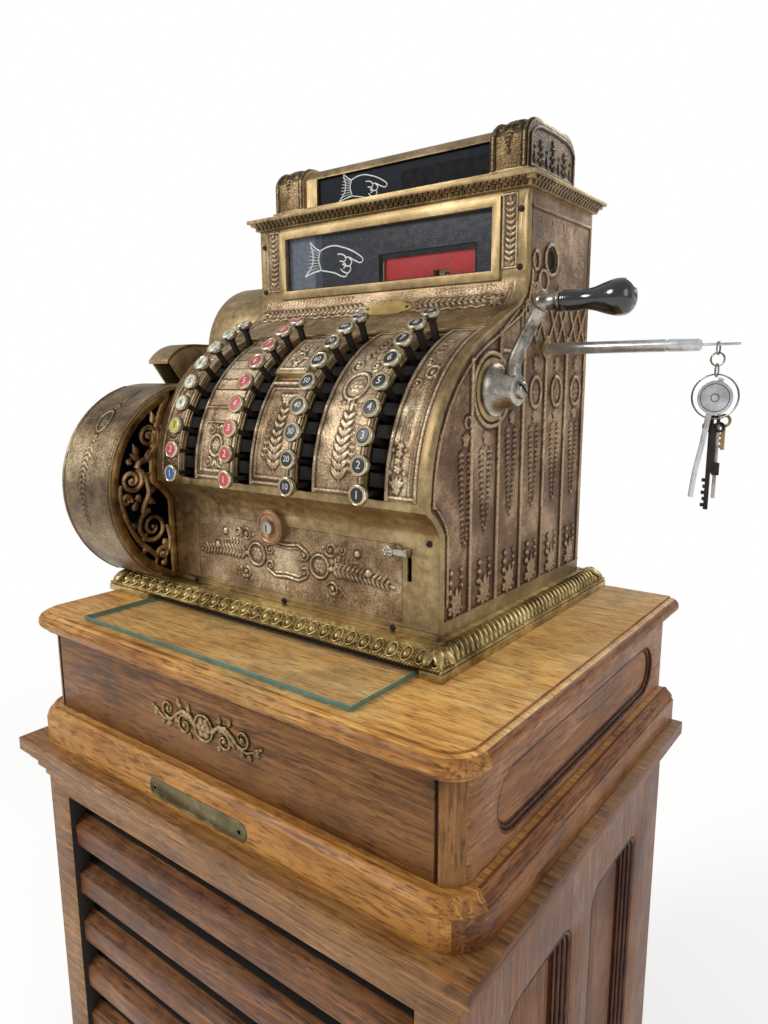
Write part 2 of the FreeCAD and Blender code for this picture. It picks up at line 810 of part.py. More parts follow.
def key_guides():
    """Guide plate with a hole for each stem and spacer blocks that show in the slots."""
    inner = guide_outer_radius - guide_thickness
    plate = bank_arc(cover_low_angle, cover_high_angle, inner, guide_outer_radius, inner_left, inner_right)
    blocks = []
    holes = []
    for bank in range(key_banks):
        x = bank_x(bank)
        for key in range(keys_per_bank):
            angle = key_angle(key)
            holes.append(radial_block(angle, inner - 2, guide_outer_radius + 2, x,
                                      stem_width + 2 * guide_gap, stem_thickness + 2 * guide_gap))
            if key < keys_per_bank - 1:
                blocks.append(radial_block(angle + key_pitch_angle / 2, inner + 1, spacer_top_radius, x,
                                           spacer_width, spacer_length))
    body = plate.fuse(blocks)
    return body.cut(Part.makeCompound(holes))


def key_piece(bank, key):
    """One key: steel stem with a stop collar, cap and disc."""
    angle = key_angle(key)
    x = bank_x(bank)
    stop = guide_outer_radius - guide_thickness
    stem = radial_block(angle, stem_inner_radius, cap_seat_radius, x, stem_width, stem_thickness)
    collar = radial_block(angle, stop - stem_collar_height - 0.1, stop - 0.1, x,
                          stem_collar_width, stem_collar_thickness)
    stem = fuse([stem, collar])
    turn = math.radians(angle)
    out = Vector(0, -math.cos(turn), math.sin(turn))
    centre = Vector(x, bank_axis_y, bank_axis_z)
    seat = centre + out * cap_seat_radius
    cap = Part.makeCylinder(cap_radius, cap_height, seat, out)
    sink = seat + out * (cap_height - disc_thickness)
    cap = cap.cut(Part.makeCylinder(cap_radius - cap_rim, disc_thickness + 1, sink, out))
    disc = Part.makeCylinder(cap_radius - cap_rim, disc_thickness - 0.4, sink, out)
    return Part.makeCompound([stem, cap, disc])


def top_hood():
    """Cornice plate with a stepped edge, and the hood of the top sign with its windows."""
    x0 = casing_left
    x1 = casing_right
    steps = ((0.0, cornice_step, 0.35), (cornice_step, cornice_height - cornice_lip, 0.7),
             (cornice_height - cornice_lip, cornice_height, 1.0))
    rings = []
    for low, high, reach in steps:
        out = reach * cornice_overhang
        rings.append(box(x0 - out, x1 + out, housing_front - out, casing_back + out,
                         housing_top + low, housing_top + high))
    cornice = fuse(rings)
    cornice = cornice.cut(box(x0 + 12.0, x1 - 12.0, housing_front + 12.0, casing_back - 12.0,
                              housing_top - 1, housing_top + cornice_height - cornice_lip))
    base = housing_top + cornice_height
    left = -hood_right - hood_length
    plinth = box(left - 3.0, -hood_right + 3.0, hood_front - 3.0, hood_back + 3.0, base, base + hood_plinth)
    gx0 = left + hood_end_left
    gx1 = -hood_right - hood_end_right
    hood = hood_prism(hood_middle_inset, left, -hood_right, base)
    left_end = hood_prism(0.0, left, gx0 - hood_post, base)
    right_end = hood_prism(0.0, gx1, -hood_right, base)
    hollow = hood_prism(hood_middle_inset + hood_wall, left + hood_wall, -hood_right - hood_wall,
                        base + hood_plinth)
    body = fuse([cornice, plinth, hood, left_end, right_end]).cut(hollow)
    body = body.cut(box(gx0, gx1, hood_front - 5.0, hood_front + 14.0, hood_window_low + 1.0, hood_window_high))
    body = body.cut(box(gx0, gx1, hood_back - 18.0, hood_back + 5.0, hood_window_low + 1.0, hood_window_high))
    return body


def hood_prism(inset, x0, x1, z0):
    """Rounded section of the hood."""
    front = hood_front + inset
    back = hood_back - inset
    low = z0
    side = hood_window_high
    crown = hood_crown - inset
    mid = (hood_front + hood_back) / 2

    def point(y, z):
        return Vector(x0, y, z)

    shoulder = (side + crown) / 2 + 4.0
    edges = [
        Part.makeLine(point(front, low), point(front, side)),
        Part.Arc(point(front, side), point(front + 10.0, shoulder), point(front + 40.0, crown - 1.0)).toShape(),
        Part.Arc(point(front + 40.0, crown - 1.0), point(mid, crown), point(back - 40.0, crown - 1.0)).toShape(),
        Part.Arc(point(back - 40.0, crown - 1.0), point(back - 10.0, shoulder), point(back, side)).toShape(),
        Part.makeLine(point(back, side), point(back, low)),
        Part.makeLine(point(back, low), point(front, low)),
    ]
    return Part.Face(Part.Wire(edges)).extrude(Vector(x1 - x0, 0, 0))


def printer_outline(inset, x0, x1):
    """Round cover and rear housing of the printer, moved inwards by inset."""
    drum = rod(x0, x1, drum_axis_y, drum_axis_z, drum_radius - inset)
    rear = rod(x0, x1, rear_axis_y, rear_axis_z, rear_radius - inset)
    housing = box(x0, x1, rear_axis_y - rear_radius + inset, rear_axis_y + rear_radius - 12.0 - inset,
                  base_height + inset, rear_axis_z)
    rear = rear.common(box(x0, x1, rear_axis_y - rear_radius + inset, rear_axis_y + rear_radius - 12.0 - inset,
                           rear_axis_z - 20.0, rear_axis_z + rear_radius))
    link = box(x0, x1, drum_axis_y, rear_axis_y, base_height + inset, printer_link_top - inset)
    return fuse([drum, rear, housing, link])


def chute_back():
    """Where the chute meets the rear housing: y at the chute's top."""
    return rear_axis_y - math.sqrt(rear_radius ** 2 - (chute_top - rear_axis_z) ** 2)


def chute_curve(lift, y):
    """Height of the chute's rounded top, moved outwards by lift."""
    radius = chute_bend_radius + lift
    return chute_top - chute_bend_radius + math.sqrt(radius ** 2 - (chute_bend_y - y) ** 2)


def chute_top_edges(lift, y0, y1, x):
    """The rounded top from y0 back to y1, as an arc and a level line."""
    middle = (y0 + chute_bend_y) / 2
    start = Vector(x, y0, chute_curve(lift, y0))
    bend = Vector(x, chute_bend_y, chute_top + lift)
    arc = Part.Arc(start, Vector(x, middle, chute_curve(lift, middle)), bend).toShape()
    return start, Vector(x, y1, chute_top + lift), [arc, Part.makeLine(bend, Vector(x, y1, chute_top + lift))]


def printer_cover():
    """Printer cover: round shell, rear housing and the slip chute on top."""
    x0 = printer_left
    x1 = casing_left
    outer = printer_outline(0.0, x0, x1)
    inner = printer_outline(drum_wall, x0 - 1, x1 + 1)
    rear_wall = printer_outline(drum_wall / 2, x0, x0 + drum_wall)
    round_hole = rod(x0 - 1, x1, drum_axis_y, drum_axis_z, drum_radius - drum_wall)
    shell = outer.cut(inner)
    side = rear_wall.cut(round_hole)
    cx0 = x0 + chute_outset
    cx1 = cx0 + chute_width
    low = drum_axis_z + math.sqrt((drum_radius - 2.0) ** 2 - (chute_mouth_y - drum_axis_y) ** 2)
    back = chute_back() + 4.0
    start, end, edges = chute_top_edges(0.0, chute_lip_y, back, cx0)
    mouth = Vector(cx0, chute_mouth_y, low)
    foot = Vector(cx0, back, low - 30.0)
    edges = edges + [Part.makeLine(end, foot), Part.makeLine(foot, mouth), Part.makeLine(mouth, start)]
    chute = Part.Face(Part.Wire(edges)).extrude(Vector(chute_width, 0, 0))
    hollow_back = back - chute_end_inset + lid_knuckle_radius + 2.0
    hollow = box(cx0 + chute_wall, cx1 - chute_wall, chute_lip_y - 5.0, hollow_back, low + 2.0, chute_top + 5.0)
    chute = chute.cut(hollow)
    pin_y, pin_z = lid_pin()
    ears = []
    for a in (cx0, cx1 - chute_wall):
        ears.append(box(a, a + chute_wall, pin_y - lid_knuckle_radius, pin_y + lid_knuckle_radius,
                        chute_top - 2.0, pin_z))
        ears.append(rod(a, a + chute_wall, pin_y, pin_z, lid_knuckle_radius))
    drum_solid = rod(cx0 - 1, cx1 + 1, drum_axis_y, drum_axis_z, drum_radius - drum_wall)
    rear_solid = rod(cx0 - 1, cx1 + 1, rear_axis_y, rear_axis_z, rear_radius - drum_wall)
    chute = chute.cut(drum_solid).cut(rear_solid)
    body = fuse([shell, side, chute] + ears)
    return body.cut(rod(cx0 - 1, cx1 + 1, pin_y, pin_z, lid_pin_radius + shaft_running_gap))


def lid_pin():
    """Axis of the chute lid's hinge: (y, z)."""
    return chute_back() + 4.0 - chute_end_inset, chute_top + lid_gap + lid_thickness / 2


def chute_lid():
    """Rounded lid on the slip chute, with a knuckle and pin at its back edge."""
    x0 = printer_left + chute_outset
    x1 = x0 + chute_width
    pin_y, pin_z = lid_pin()
    y0 = chute_lip_y - lid_reach
    y1 = pin_y - lid_knuckle_radius - 2.0
    under_start, under_end, under = chute_top_edges(lid_gap, y0, y1, x0)
    over_start, over_end, over = chute_top_edges(lid_gap + lid_thickness, y0, y1, x0)
    edges = under + over + [Part.makeLine(under_end, over_end), Part.makeLine(over_start, under_start)]
    plate = Part.Face(Part.Wire(Part.__sortEdges__(edges))).extrude(Vector(chute_width, 0, 0))
    tongue_x0 = x0 + chute_wall + lid_gap
    tongue_x1 = x1 - chute_wall - lid_gap
    tongue = box(tongue_x0, tongue_x1, y1 - 1.0, pin_y, chute_top + lid_gap, chute_top + lid_gap + lid_thickness)
    knuckle = rod(tongue_x0, tongue_x1, pin_y, pin_z, lid_knuckle_radius)
    pin = rod(x0 + 0.3, x1 - 0.3, pin_y, pin_z, lid_pin_radius)
    return fuse([plate, tongue, knuckle, pin])


def scroll_grille():
    """Pierced panels in both ends of the round cover."""
    right = rod(casing_left - grille_thickness, casing_left, drum_axis_y, drum_axis_z, drum_radius - drum_wall)
    mask = casing_prism(-0.5, casing_left - grille_thickness - 1, casing_left + 1, 0.0, housing_top, casing_back)
    right = right.cut(mask)
    right = right.cut(grille_holes(casing_left - grille_thickness - 1, grille_thickness + 2))
    left = rod(printer_left, printer_left + grille_thickness, drum_axis_y, drum_axis_z, drum_radius - drum_wall)
    left = left.cut(grille_holes(printer_left - 1, grille_thickness + 2))
    return Part.makeCompound([right, left])


def grille_holes(x, depth):
    """Round openings between the scrolls, on two arcs."""
    holes = []
    ring = drum_radius - drum_wall - grille_rim - grille_hole_radius
    for index in range(grille_hole_count):
        turn = math.radians(122.0 + index * 22.0)
        holes.append(Part.makeCylinder(grille_hole_radius, depth,
                                       Vector(x, drum_axis_y + ring * math.cos(turn),
                                              drum_axis_z + ring * math.sin(turn)), X))
    return Part.makeCompound(holes)


def glass_panes():
    """Window panes, hood panes and the plate glass on the slab."""
    wx0 = casing_left + window_left + 4.0 - glass_lap
    wx1 = casing_right - window_right + glass_lap
    z0 = housing_bottom
    z1 = window_high + glass_lap
    front = box(wx0, wx1, housing_front + casing_wall, housing_front + casing_wall + glass_thickness, z0, z1)
    back = box(wx0, wx1, casing_back - casing_wall - glass_thickness, casing_back - casing_wall, z0, z1)
    left = -hood_right - hood_length
    hx0 = left + hood_end_left - glass_lap
    hx1 = -hood_right - hood_end_right + glass_lap
    base = housing_top + cornice_height + hood_plinth
    reach = hood_middle_inset + hood_wall
    hood_a = box(hx0, hx1, hood_front + reach, hood_front + reach + glass_thickness, base, hood_window_high - 1)
    hood_b = box(hx0, hx1, hood_back - reach - glass_thickness, hood_back - reach, base, hood_window_high - 1)
    counter = box(-base_width + base_slot_left + plate_glass_inset, -base_slot_right - plate_glass_inset / 2,
                  -plate_glass_front, base_slot_depth - 6.0, 0.0, plate_glass_thickness)
    return Part.makeCompound([front, back, hood_a, hood_b, counter])


def brass_plates():
    """Two bare plates and the slotted screws of the front castings."""
    pieces = []
    for x, z, y in screw_places():
        head = Part.makeCylinder(screw_head_radius, screw_head_height, Vector(x, y - screw_head_height, z), Y)
        head = head.cut(box(x - screw_head_radius, x + screw_head_radius, y - screw_head_height - 1,
                            y - screw_head_height + 0.8, z - 0.5, z + 0.5))
        shank = Part.makeCylinder(screw_shank_radius, screw_shank_length, Vector(x, y, z), Y)
        pieces.append(fuse([head, shank]))
    y0, z0 = at_angle(bank_high_angle, bank_radius)
    slope = math.atan2(ramp_z - z0, ramp_y - y0)
    plate = box(-name_plate_length / 2, name_plate_length / 2, -name_plate_height, 0.0, 0.0, name_plate_thickness)
    plate.rotate(Vector(0, 0, 0), X, math.degrees(slope))
    plate.translate(Vector(casing_right - 191.0, ramp_y - 1.0, ramp_z - 0.45))
    pieces.append(plate)
    tag_y = case_front - ogee_reach
    tag_z = case_z + tag_low
    tag = box(-tag_length / 2, tag_length / 2, tag_y - tag_thickness, tag_y, tag_z, tag_z + tag_height)
    tag = tag.makeFillet(tag_corner, [edge for edge in tag.Edges if abs(edge.tangentAt(0.0).y) > 0.99])
    tag.translate(ORIGIN * -1)
    pieces.append(tag)
    return Part.makeCompound(pieces)


def gear_axis():
    """Axis of the main shaft: one centre distance from the crank shaft."""
    distance = gear_module * (pinion_teeth + gear_teeth) / 2
    turn = math.radians(gear_line_angle)
    return crank_y + distance * math.cos(turn), crank_z + distance * math.sin(turn)


def gear(teeth, x0, width, y, z, phase, bore):
    """A spur gear along x with involute flanks; phase is the angle of a tooth's middle."""
    pitch = gear_module * teeth / 2
    base = pitch * math.cos(math.radians(pressure_angle))
    tip = pitch + 0.9 * gear_module
    root = pitch - 1.25 * gear_module
    half = (math.pi * gear_module / 2 - gear_backlash) / 2 / pitch
    involute = math.tan(math.radians(pressure_angle)) - math.radians(pressure_angle)

    def flank(radius):
        if radius <= base:
            return half + involute
        angle = math.acos(base / radius)
        return half + involute - (math.tan(angle) - angle)

    radii = [root, max(base, root + 0.2), (base + pitch) / 2 + 0.3, pitch + 0.3 * gear_module, tip]
    points = []
    for tooth in range(teeth):
        middle = math.radians(phase) + tooth * 2 * math.pi / teeth
        for radius in radii:
            points.append((radius, middle - flank(radius)))
        for radius in reversed(radii):
            points.append((radius, middle + flank(radius)))
    corners = [Vector(x0, y + r * math.cos(a), z + r * math.sin(a)) for r, a in points]
    face = Part.Face(Part.makePolygon(corners + corners[:1]))
    body = face.extrude(Vector(width, 0, 0))
    return body.cut(rod(x0 - 1, x0 + width + 1, y, z, bore))


def crank_arm():
    """Crank: shaft with its pinion, hub, leaning arm, collar and nut."""
    face = casing_right + crank_boss_height + crank_hub_gap
    shaft_x0 = casing_right - crank_shaft_length
    hub = turned([(0.0, crank_hub_radius), (4.0, crank_hub_radius), (9.0, crank_hub_radius - 5.0),
                  (20.0, crank_hub_end_radius + 2.0), (crank_hub_length, crank_hub_end_radius)],
                 face, crank_y, crank_z)
    end = face + crank_hub_length
    nut = turned([(0.0, crank_nut_radius), (crank_nut_height - 2.0, crank_nut_radius - 1.0),
                  (crank_nut_height, crank_nut_radius - 4.0)], end, crank_y, crank_z)
    top = crank_z + crank_radius
    foot = end - crank_arm_thickness / 2
    head = foot + crank_arm_lean
    half = crank_arm_width / 2
    slab = Part.Face(Part.makePolygon([
        Vector(foot - crank_arm_thickness / 2, crank_y - half, crank_z + 8.0),
        Vector(foot + crank_arm_thickness / 2, crank_y - half, crank_z + 8.0),
        Vector(foot + crank_arm_thickness / 2 + 3.0, crank_y - half, crank_z + 30.0),
        Vector(head + crank_arm_thickness / 2, crank_y - half, top),
        Vector(head - crank_arm_thickness / 2, crank_y - half, top),
        Vector(foot - crank_arm_thickness / 2, crank_y - half, crank_z + 24.0),
        Vector(foot - crank_arm_thickness / 2, crank_y - half, crank_z + 8.0),
    ])).extrude(Vector(0, crank_arm_width, 0))
    collar_x0 = head - crank_arm_thickness / 2 + 1.0
    collar = turned([(0.0, crank_collar_radius - 3.0), (3.0, crank_collar_radius),
                     (crank_collar_length + 6.0, crank_collar_radius)], collar_x0, crank_y, top)
    collar_end = collar_x0 + crank_collar_length + 6.0
    spindle = rod(collar_end - 1, collar_end + grip_length - 6.0, crank_y, top, spindle_radius)
    arm = fuse([hub, nut, slab, collar, spindle])
    shaft = rod(shaft_x0, face + 6.0, crank_y, crank_z, crank_shaft_radius)
    arm = arm.cut(rod(shaft_x0, face + 6.0, crank_y, crank_z, crank_shaft_radius))
    gear_x = inner_right - gear_inset
    pinion = gear(pinion_teeth, gear_x, gear_width, crank_y, crank_z, gear_line_angle, crank_shaft_radius)
    return Part.makeCompound([arm, shaft, pinion])


def grip_start():
    """Where the grip begins: x of the collar's outer face."""
    face = casing_right + crank_boss_height + crank_hub_gap
    foot = face + crank_hub_length - crank_arm_thickness / 2
    return foot + crank_arm_lean - crank_arm_thickness / 2 + 1.0 + crank_collar_length + 6.0


def crank_grip():
    """Black pear-shaped grip that turns on the crank's spindle."""
    x0 = grip_start() + grip_gap
    length = grip_length
    profile = [
        (0.0, grip_neck_radius), (0.18, grip_neck_radius + 0.5), (0.34, grip_waist_radius),
        (0.5, grip_waist_radius + 2.5), (0.66, grip_bulb_radius - 2.5), (0.8, grip_bulb_radius),
        (0.9, grip_bulb_radius - 2.0), (0.97, grip_bulb_radius - 7.0), (1.0, 6.0),
    ]
    body = turned([(share * length, radius) for share, radius in profile], x0, crank_y, crank_z + crank_radius)
    bore = rod(x0 - 2, x0 + length - 6.0, crank_y, crank_z + crank_radius, spindle_radius + shaft_running_gap)
    return body.cut(bore)


def main_shaft():
    """Main shaft with its gear, two cams and the printing wheels in the printer."""
    y, z = gear_axis()
    gear_x = inner_right - gear_inset
    shaft = rod(printer_left + drum_wall + 6.0, casing_right - 3.4, y, z, main_shaft_radius)
    phase = gear_line_angle + 180.0 + 180.0 / gear_teeth
    wheel = gear(gear_teeth, gear_x, gear_width, y, z, phase, main_shaft_radius)
    pieces = [shaft, wheel]
    for offset in (150.0, 260.0):
        x = casing_right - offset
        cam = rod(x, x + cam_width, y, z + 4.0, cam_radius)
        pieces.append(cam.cut(rod(x - 1, x + cam_width + 1, y, z, main_shaft_radius)))
    for index in range(type_wheel_count):
        x = printer_left + 26.0 + index * (type_wheel_width + 3.0)
        wheel = rod(x, x + type_wheel_width, y, z, type_wheel_radius)
        pieces.append(wheel.cut(rod(x - 1, x + type_wheel_width + 1, y, z, main_shaft_radius)))
    return Part.makeCompound(pieces)


def indicator_wheels():
    """Shaft with end journals and the numbered wheels."""
    shaft = rod(inner_left, inner_right, vent_y, vent_z, indicator_shaft_radius)
    radius = vent_radius - indicator_journal_gap
    left = rod(casing_left + 0.5, inner_left + 6.0, vent_y, vent_z, radius)
    right = rod(inner_right - 6.0, casing_right - 0.5, vent_y, vent_z, radius)
    right = right.cut(rod(casing_right - 0.5 - journal_dimple_depth, casing_right, vent_y, vent_z,
                          journal_dimple_radius))
    bodies = [fuse([shaft, left, right])]
    for index in range(indicator_wheel_count):
        x1 = casing_right - window_right - indicator_first - index * indicator_pitch
        wheel = rod(x1 - indicator_wheel_width, x1, vent_y, vent_z, indicator_wheel_radius)
        bodies.append(wheel.cut(rod(x1 - indicator_wheel_width - 1, x1 + 1, vent_y, vent_z,
                                    indicator_shaft_radius)))
    return Part.makeCompound(bodies)


def indicator_flash():
    """Red shutter plate with a notch in its lower edge."""
    x1 = casing_right - window_right - 10.0
    x0 = x1 - flash_width
    y0 = housing_front + casing_wall + glass_thickness + flash_guide_wall + flash_guide_gap
    plate = box(x0, x1, y0, y0 + flash_thickness, flash_low, flash_low + flash_height)
    notch_x = x1 - flash_notch_offset
    notch = box(notch_x, notch_x + flash_notch_width, y0 - 1, y0 + flash_thickness + 1, flash_low - 1,
                flash_low + flash_notch_height)
    return plate.cut(notch)


def release_rod():
    """Plain rod through the right side, with a thin pin at its outer end."""
    x0 = casing_right - rod_length_in
    x1 = casing_right + rod_length_out
    body = rod(x0, x1, rod_y, rod_z, rod_radius)
    pin = rod(x1, x1 + pin_length, rod_y, rod_z, pin_radius)
    return fuse([body, pin])


def hanging_keys():
    """Short chain on the pin, split ring, fob, two long keys, a strap and a small key."""
    x = casing_right + rod_length_out + hang_from_end
    top = rod_z + pin_radius + link_gap + link_wire - link_radius
    step = 2 * link_radius - 2 * link_wire - link_gap
    links = []
    for index in range(link_count):
        axis = X if index % 2 == 0 else Y
        links.append(Part.makeTorus(link_radius, link_wire, Vector(x, rod_y, top - index * step), axis))
    last = top - (link_count - 1) * step
    ring_z = last - link_radius - ring_radius + link_wire + ring_wire + link_gap
    ring = Part.makeTorus(ring_radius, ring_wire, Vector(x, rod_y, ring_z), Y)
    fob = Part.makeCylinder(18.5, 1.2, Vector(x + 1.0, rod_y - 3.2, ring_z), Y)
    fob = fob.cut(Part.makeCylinder(3.0, 4.0, Vector(x + 1.0, rod_y - 5.0, ring_z + 13.0), Y))
    strap = box(x - 5.5, x + 0.5, rod_y - 2.0, rod_y - 0.8, ring_z - second_key_length, ring_z + 20.0)
    key_a = hung_key(x - 2.0, rod_y + 1.6, ring_z, long_key_length, 7.0)
    key_b = hung_key(x + 4.0, rod_y + 4.0, ring_z, second_key_length, 6.0)
    small = box(x + 7.0, x + 12.0, rod_y + 6.4, rod_y + 8.4, ring_z - 34.0, ring_z + 4.0)
    small_bow = Part.makeCylinder(8.0, 2.0, Vector(x + 9.5, rod_y + 6.4, ring_z + 2.0), Y)
    cross = rod(x - 8.0, x + 12.0, rod_y, ring_z - ring_radius, 0.9)
    hooks = Part.makeTorus(5.0, 1.0, Vector(x, rod_y + 4.0, ring_z - ring_radius + 4.0), X)
    keys = fuse([key_a, hooks, cross, ring])
    return Part.makeCompound(links + [keys, fuse([small, small_bow]), fob, strap, key_b])


def hung_key(x, y, ring_z, length, bow):
    """A long key: a bow, a round stem and a small bit."""
    head = Part.makeCylinder(bow, 2.0, Vector(x, y, ring_z - 21.0), Y)
    stem = Part.makeCylinder(1.6, length - 20.0, Vector(x, y + 1.0, ring_z - length), Z)
    bit = box(x, x + 5.0, y + 0.3, y + 1.7, ring_z - length + 1.0, ring_z - length + 9.0)
    return fuse([head, stem, bit])


def front_lever():
    """Finger lever whose stem runs in the slot of the lower front."""
    x = casing_right - lever_inset
    z1 = lever_slot_high - lever_gap
    z0 = z1 - lever_stem_height
    stem = box(x - lever_stem / 2, x + lever_stem / 2, casing_front - 9.0, casing_front + 18.0, z0, z1)
    plate = box(x - 7.0, x + 7.0, casing_front + casing_wall + 1.0, casing_front + casing_wall + 4.0,
                z0 - 4.0, z1 + 4.0)
    finger = box(x - lever_reach, x + lever_stem / 2, casing_front - 9.0, casing_front - 5.0, z0 + 1.0, z1 - 1.0)
    knob = Part.makeCylinder(lever_knob_radius, 7.0, Vector(x - lever_reach, casing_front - 11.0, (z0 + z1) / 2), Y)
    return fuse([stem, plate, finger, knob])


def lock_barrel():
    """Lock barrel with a keyway, in the boss of the lower front."""
    x = casing_right - lock_inset
    front = lock_boss_face - 5.0
    barrel = Part.makeCylinder(lock_radius, 34.0, Vector(x, front, lock_z), Y)
    cam = box(x - 4.0, x + 4.0, front + 28.0, front + 31.0, lock_z - 16.0, lock_z)
    keyway = box(x - 1.0, x + 1.0, front - 1, front + 8.0, lock_z - 5.0, lock_z + 4.0)
    return fuse([barrel, cam]).cut(keyway)


save("cabinet_case", cabinet_case())
save("cabinet_rails", cabinet_rails())
save("drawer_case", drawer_case())
save("counter_top", counter_top())
save("cash_drawer", cash_drawer())
save("base_moulding", base_moulding(), ORIGIN)
save("body_casing", body_casing(), ORIGIN)
save("key_cover", key_cover(), ORIGIN)
save("key_guides", key_guides(), ORIGIN)
save("top_hood", top_hood(), ORIGIN)
save("printer_cover", printer_cover(), ORIGIN)
save("scroll_grille", scroll_grille(), ORIGIN)
save("chute_lid", chute_lid(), ORIGIN)
save("glass_panes", glass_panes(), ORIGIN)
save("brass_plates", brass_plates(), ORIGIN)
save("crank_arm", crank_arm(), ORIGIN)
save("crank_grip", crank_grip(), ORIGIN)
save("main_shaft", main_shaft(), ORIGIN)
save("indicator_wheels", indicator_wheels(), ORIGIN)
save("indicator_flash", indicator_flash(), ORIGIN)
save("release_rod", release_rod(), ORIGIN)
save("hanging_keys", hanging_keys(), ORIGIN)
save("front_lever", front_lever(), ORIGIN)
save("lock_barrel", lock_barrel(), ORIGIN)
for bank in range(key_banks):
    for key in range(keys_per_bank):
        save("key_%d%d" % (bank + 1, key + 1), key_piece(bank, key), ORIGIN)
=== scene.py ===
"""Looks of a brass ticket register on its oak cabinet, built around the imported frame."""

import math

import bmesh
import bpy
import numpy as np
from mathutils import Matrix, Vector


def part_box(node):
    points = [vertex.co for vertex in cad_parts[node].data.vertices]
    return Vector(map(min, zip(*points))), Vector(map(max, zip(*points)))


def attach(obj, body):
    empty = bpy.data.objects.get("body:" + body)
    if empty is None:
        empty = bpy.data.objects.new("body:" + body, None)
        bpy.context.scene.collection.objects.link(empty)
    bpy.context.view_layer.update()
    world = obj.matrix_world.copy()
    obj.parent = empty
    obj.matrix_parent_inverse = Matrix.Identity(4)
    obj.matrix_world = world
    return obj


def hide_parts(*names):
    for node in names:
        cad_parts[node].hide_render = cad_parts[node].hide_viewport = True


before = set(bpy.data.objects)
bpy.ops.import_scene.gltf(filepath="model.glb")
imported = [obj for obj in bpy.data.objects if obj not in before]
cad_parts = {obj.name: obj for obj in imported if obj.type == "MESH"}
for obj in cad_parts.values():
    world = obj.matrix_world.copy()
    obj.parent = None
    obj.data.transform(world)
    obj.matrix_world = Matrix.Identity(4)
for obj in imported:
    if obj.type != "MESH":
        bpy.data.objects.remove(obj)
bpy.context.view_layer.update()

bl_info = {
    "name": "Ticket register",
    "version": (1, 0, 0),
    "blender": (4, 5, 0),
    "location": "View3D > Sidebar > Register",
    "description": "Dresses the packed ticket register with cast relief, key caps, oak and glass",
    "category": "Object",
}

MM = 0.001
HEAD_LOW, HEAD_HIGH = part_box("base_moulding")
HEAD = np.array([HEAD_HIGH.x, HEAD_LOW.y, HEAD_LOW.z])
FLOOR = np.zeros(3)

# places of the head in millimetres: x from the right end of the base, y from its front, z from the slab
CASING_LEFT = -470
CASING_RIGHT = -33
CASING_FRONT = 45
CASING_BACK = 412
BANK_Y = 208
BANK_Z = 174
STRIP_RADIUS = 189
HOUSING_FRONT = 224
HOUSING_BOTTOM = 424
HOUSING_TOP = 514
DRUM_Y = 86.5
DRUM_Z = 152.5
DRUM_RADIUS = 141.5
LOW_SCREW_Z = 29.9
LOCK_X = -276
LOCK_Z = 121
WHEEL_Y = 287.5
WHEEL_Z = 440.5
CRANK_Y = 146
CRANK_Z = 287
GRIP_Z = 377
ROD_Y = 281
ROD_Z = 335
HANG_X = 168
BANK_X = (-405.1, -303.4, -201.7, -100)
STRIPS = ((-459, -420), (-390.5, -318), (-289, -216.5), (-187.5, -115), (-85.5, -44))


def srgb(red, green, blue):
    """A colour as seen on a screen, 0 to 255, as the linear colour that a shader takes."""
    out = []
    for value in (red, green, blue):
        share = value / 255
        out.append(share / 12.92 if share <= 0.04045 else ((share + 0.055) / 1.055) ** 2.4)
    return (*out, 1)


class Wire:
    """A socket of a material, whose maths is written as an expression."""

    def __init__(self, tree, socket):
        self.tree = tree
        self.socket = socket

    def apply(self, operation, *values):
        """One Math node on these values."""
        made = self.tree.nodes.new("ShaderNodeMath")
        made.operation = operation
        for target, value in zip(made.inputs, values):
            if isinstance(value, Wire):
                self.tree.links.new(value.socket, target)
            else:
                target.default_value = value
        return Wire(self.tree, made.outputs[0])

    def __add__(self, other):
        return self.apply("ADD", self, other)

    def __sub__(self, other):
        return self.apply("SUBTRACT", self, other)

    def __mul__(self, other):
        return self.apply("MULTIPLY", self, other)

    def sine(self):
        return self.apply("SINE", self)

    __radd__ = __add__
    __rmul__ = __mul__


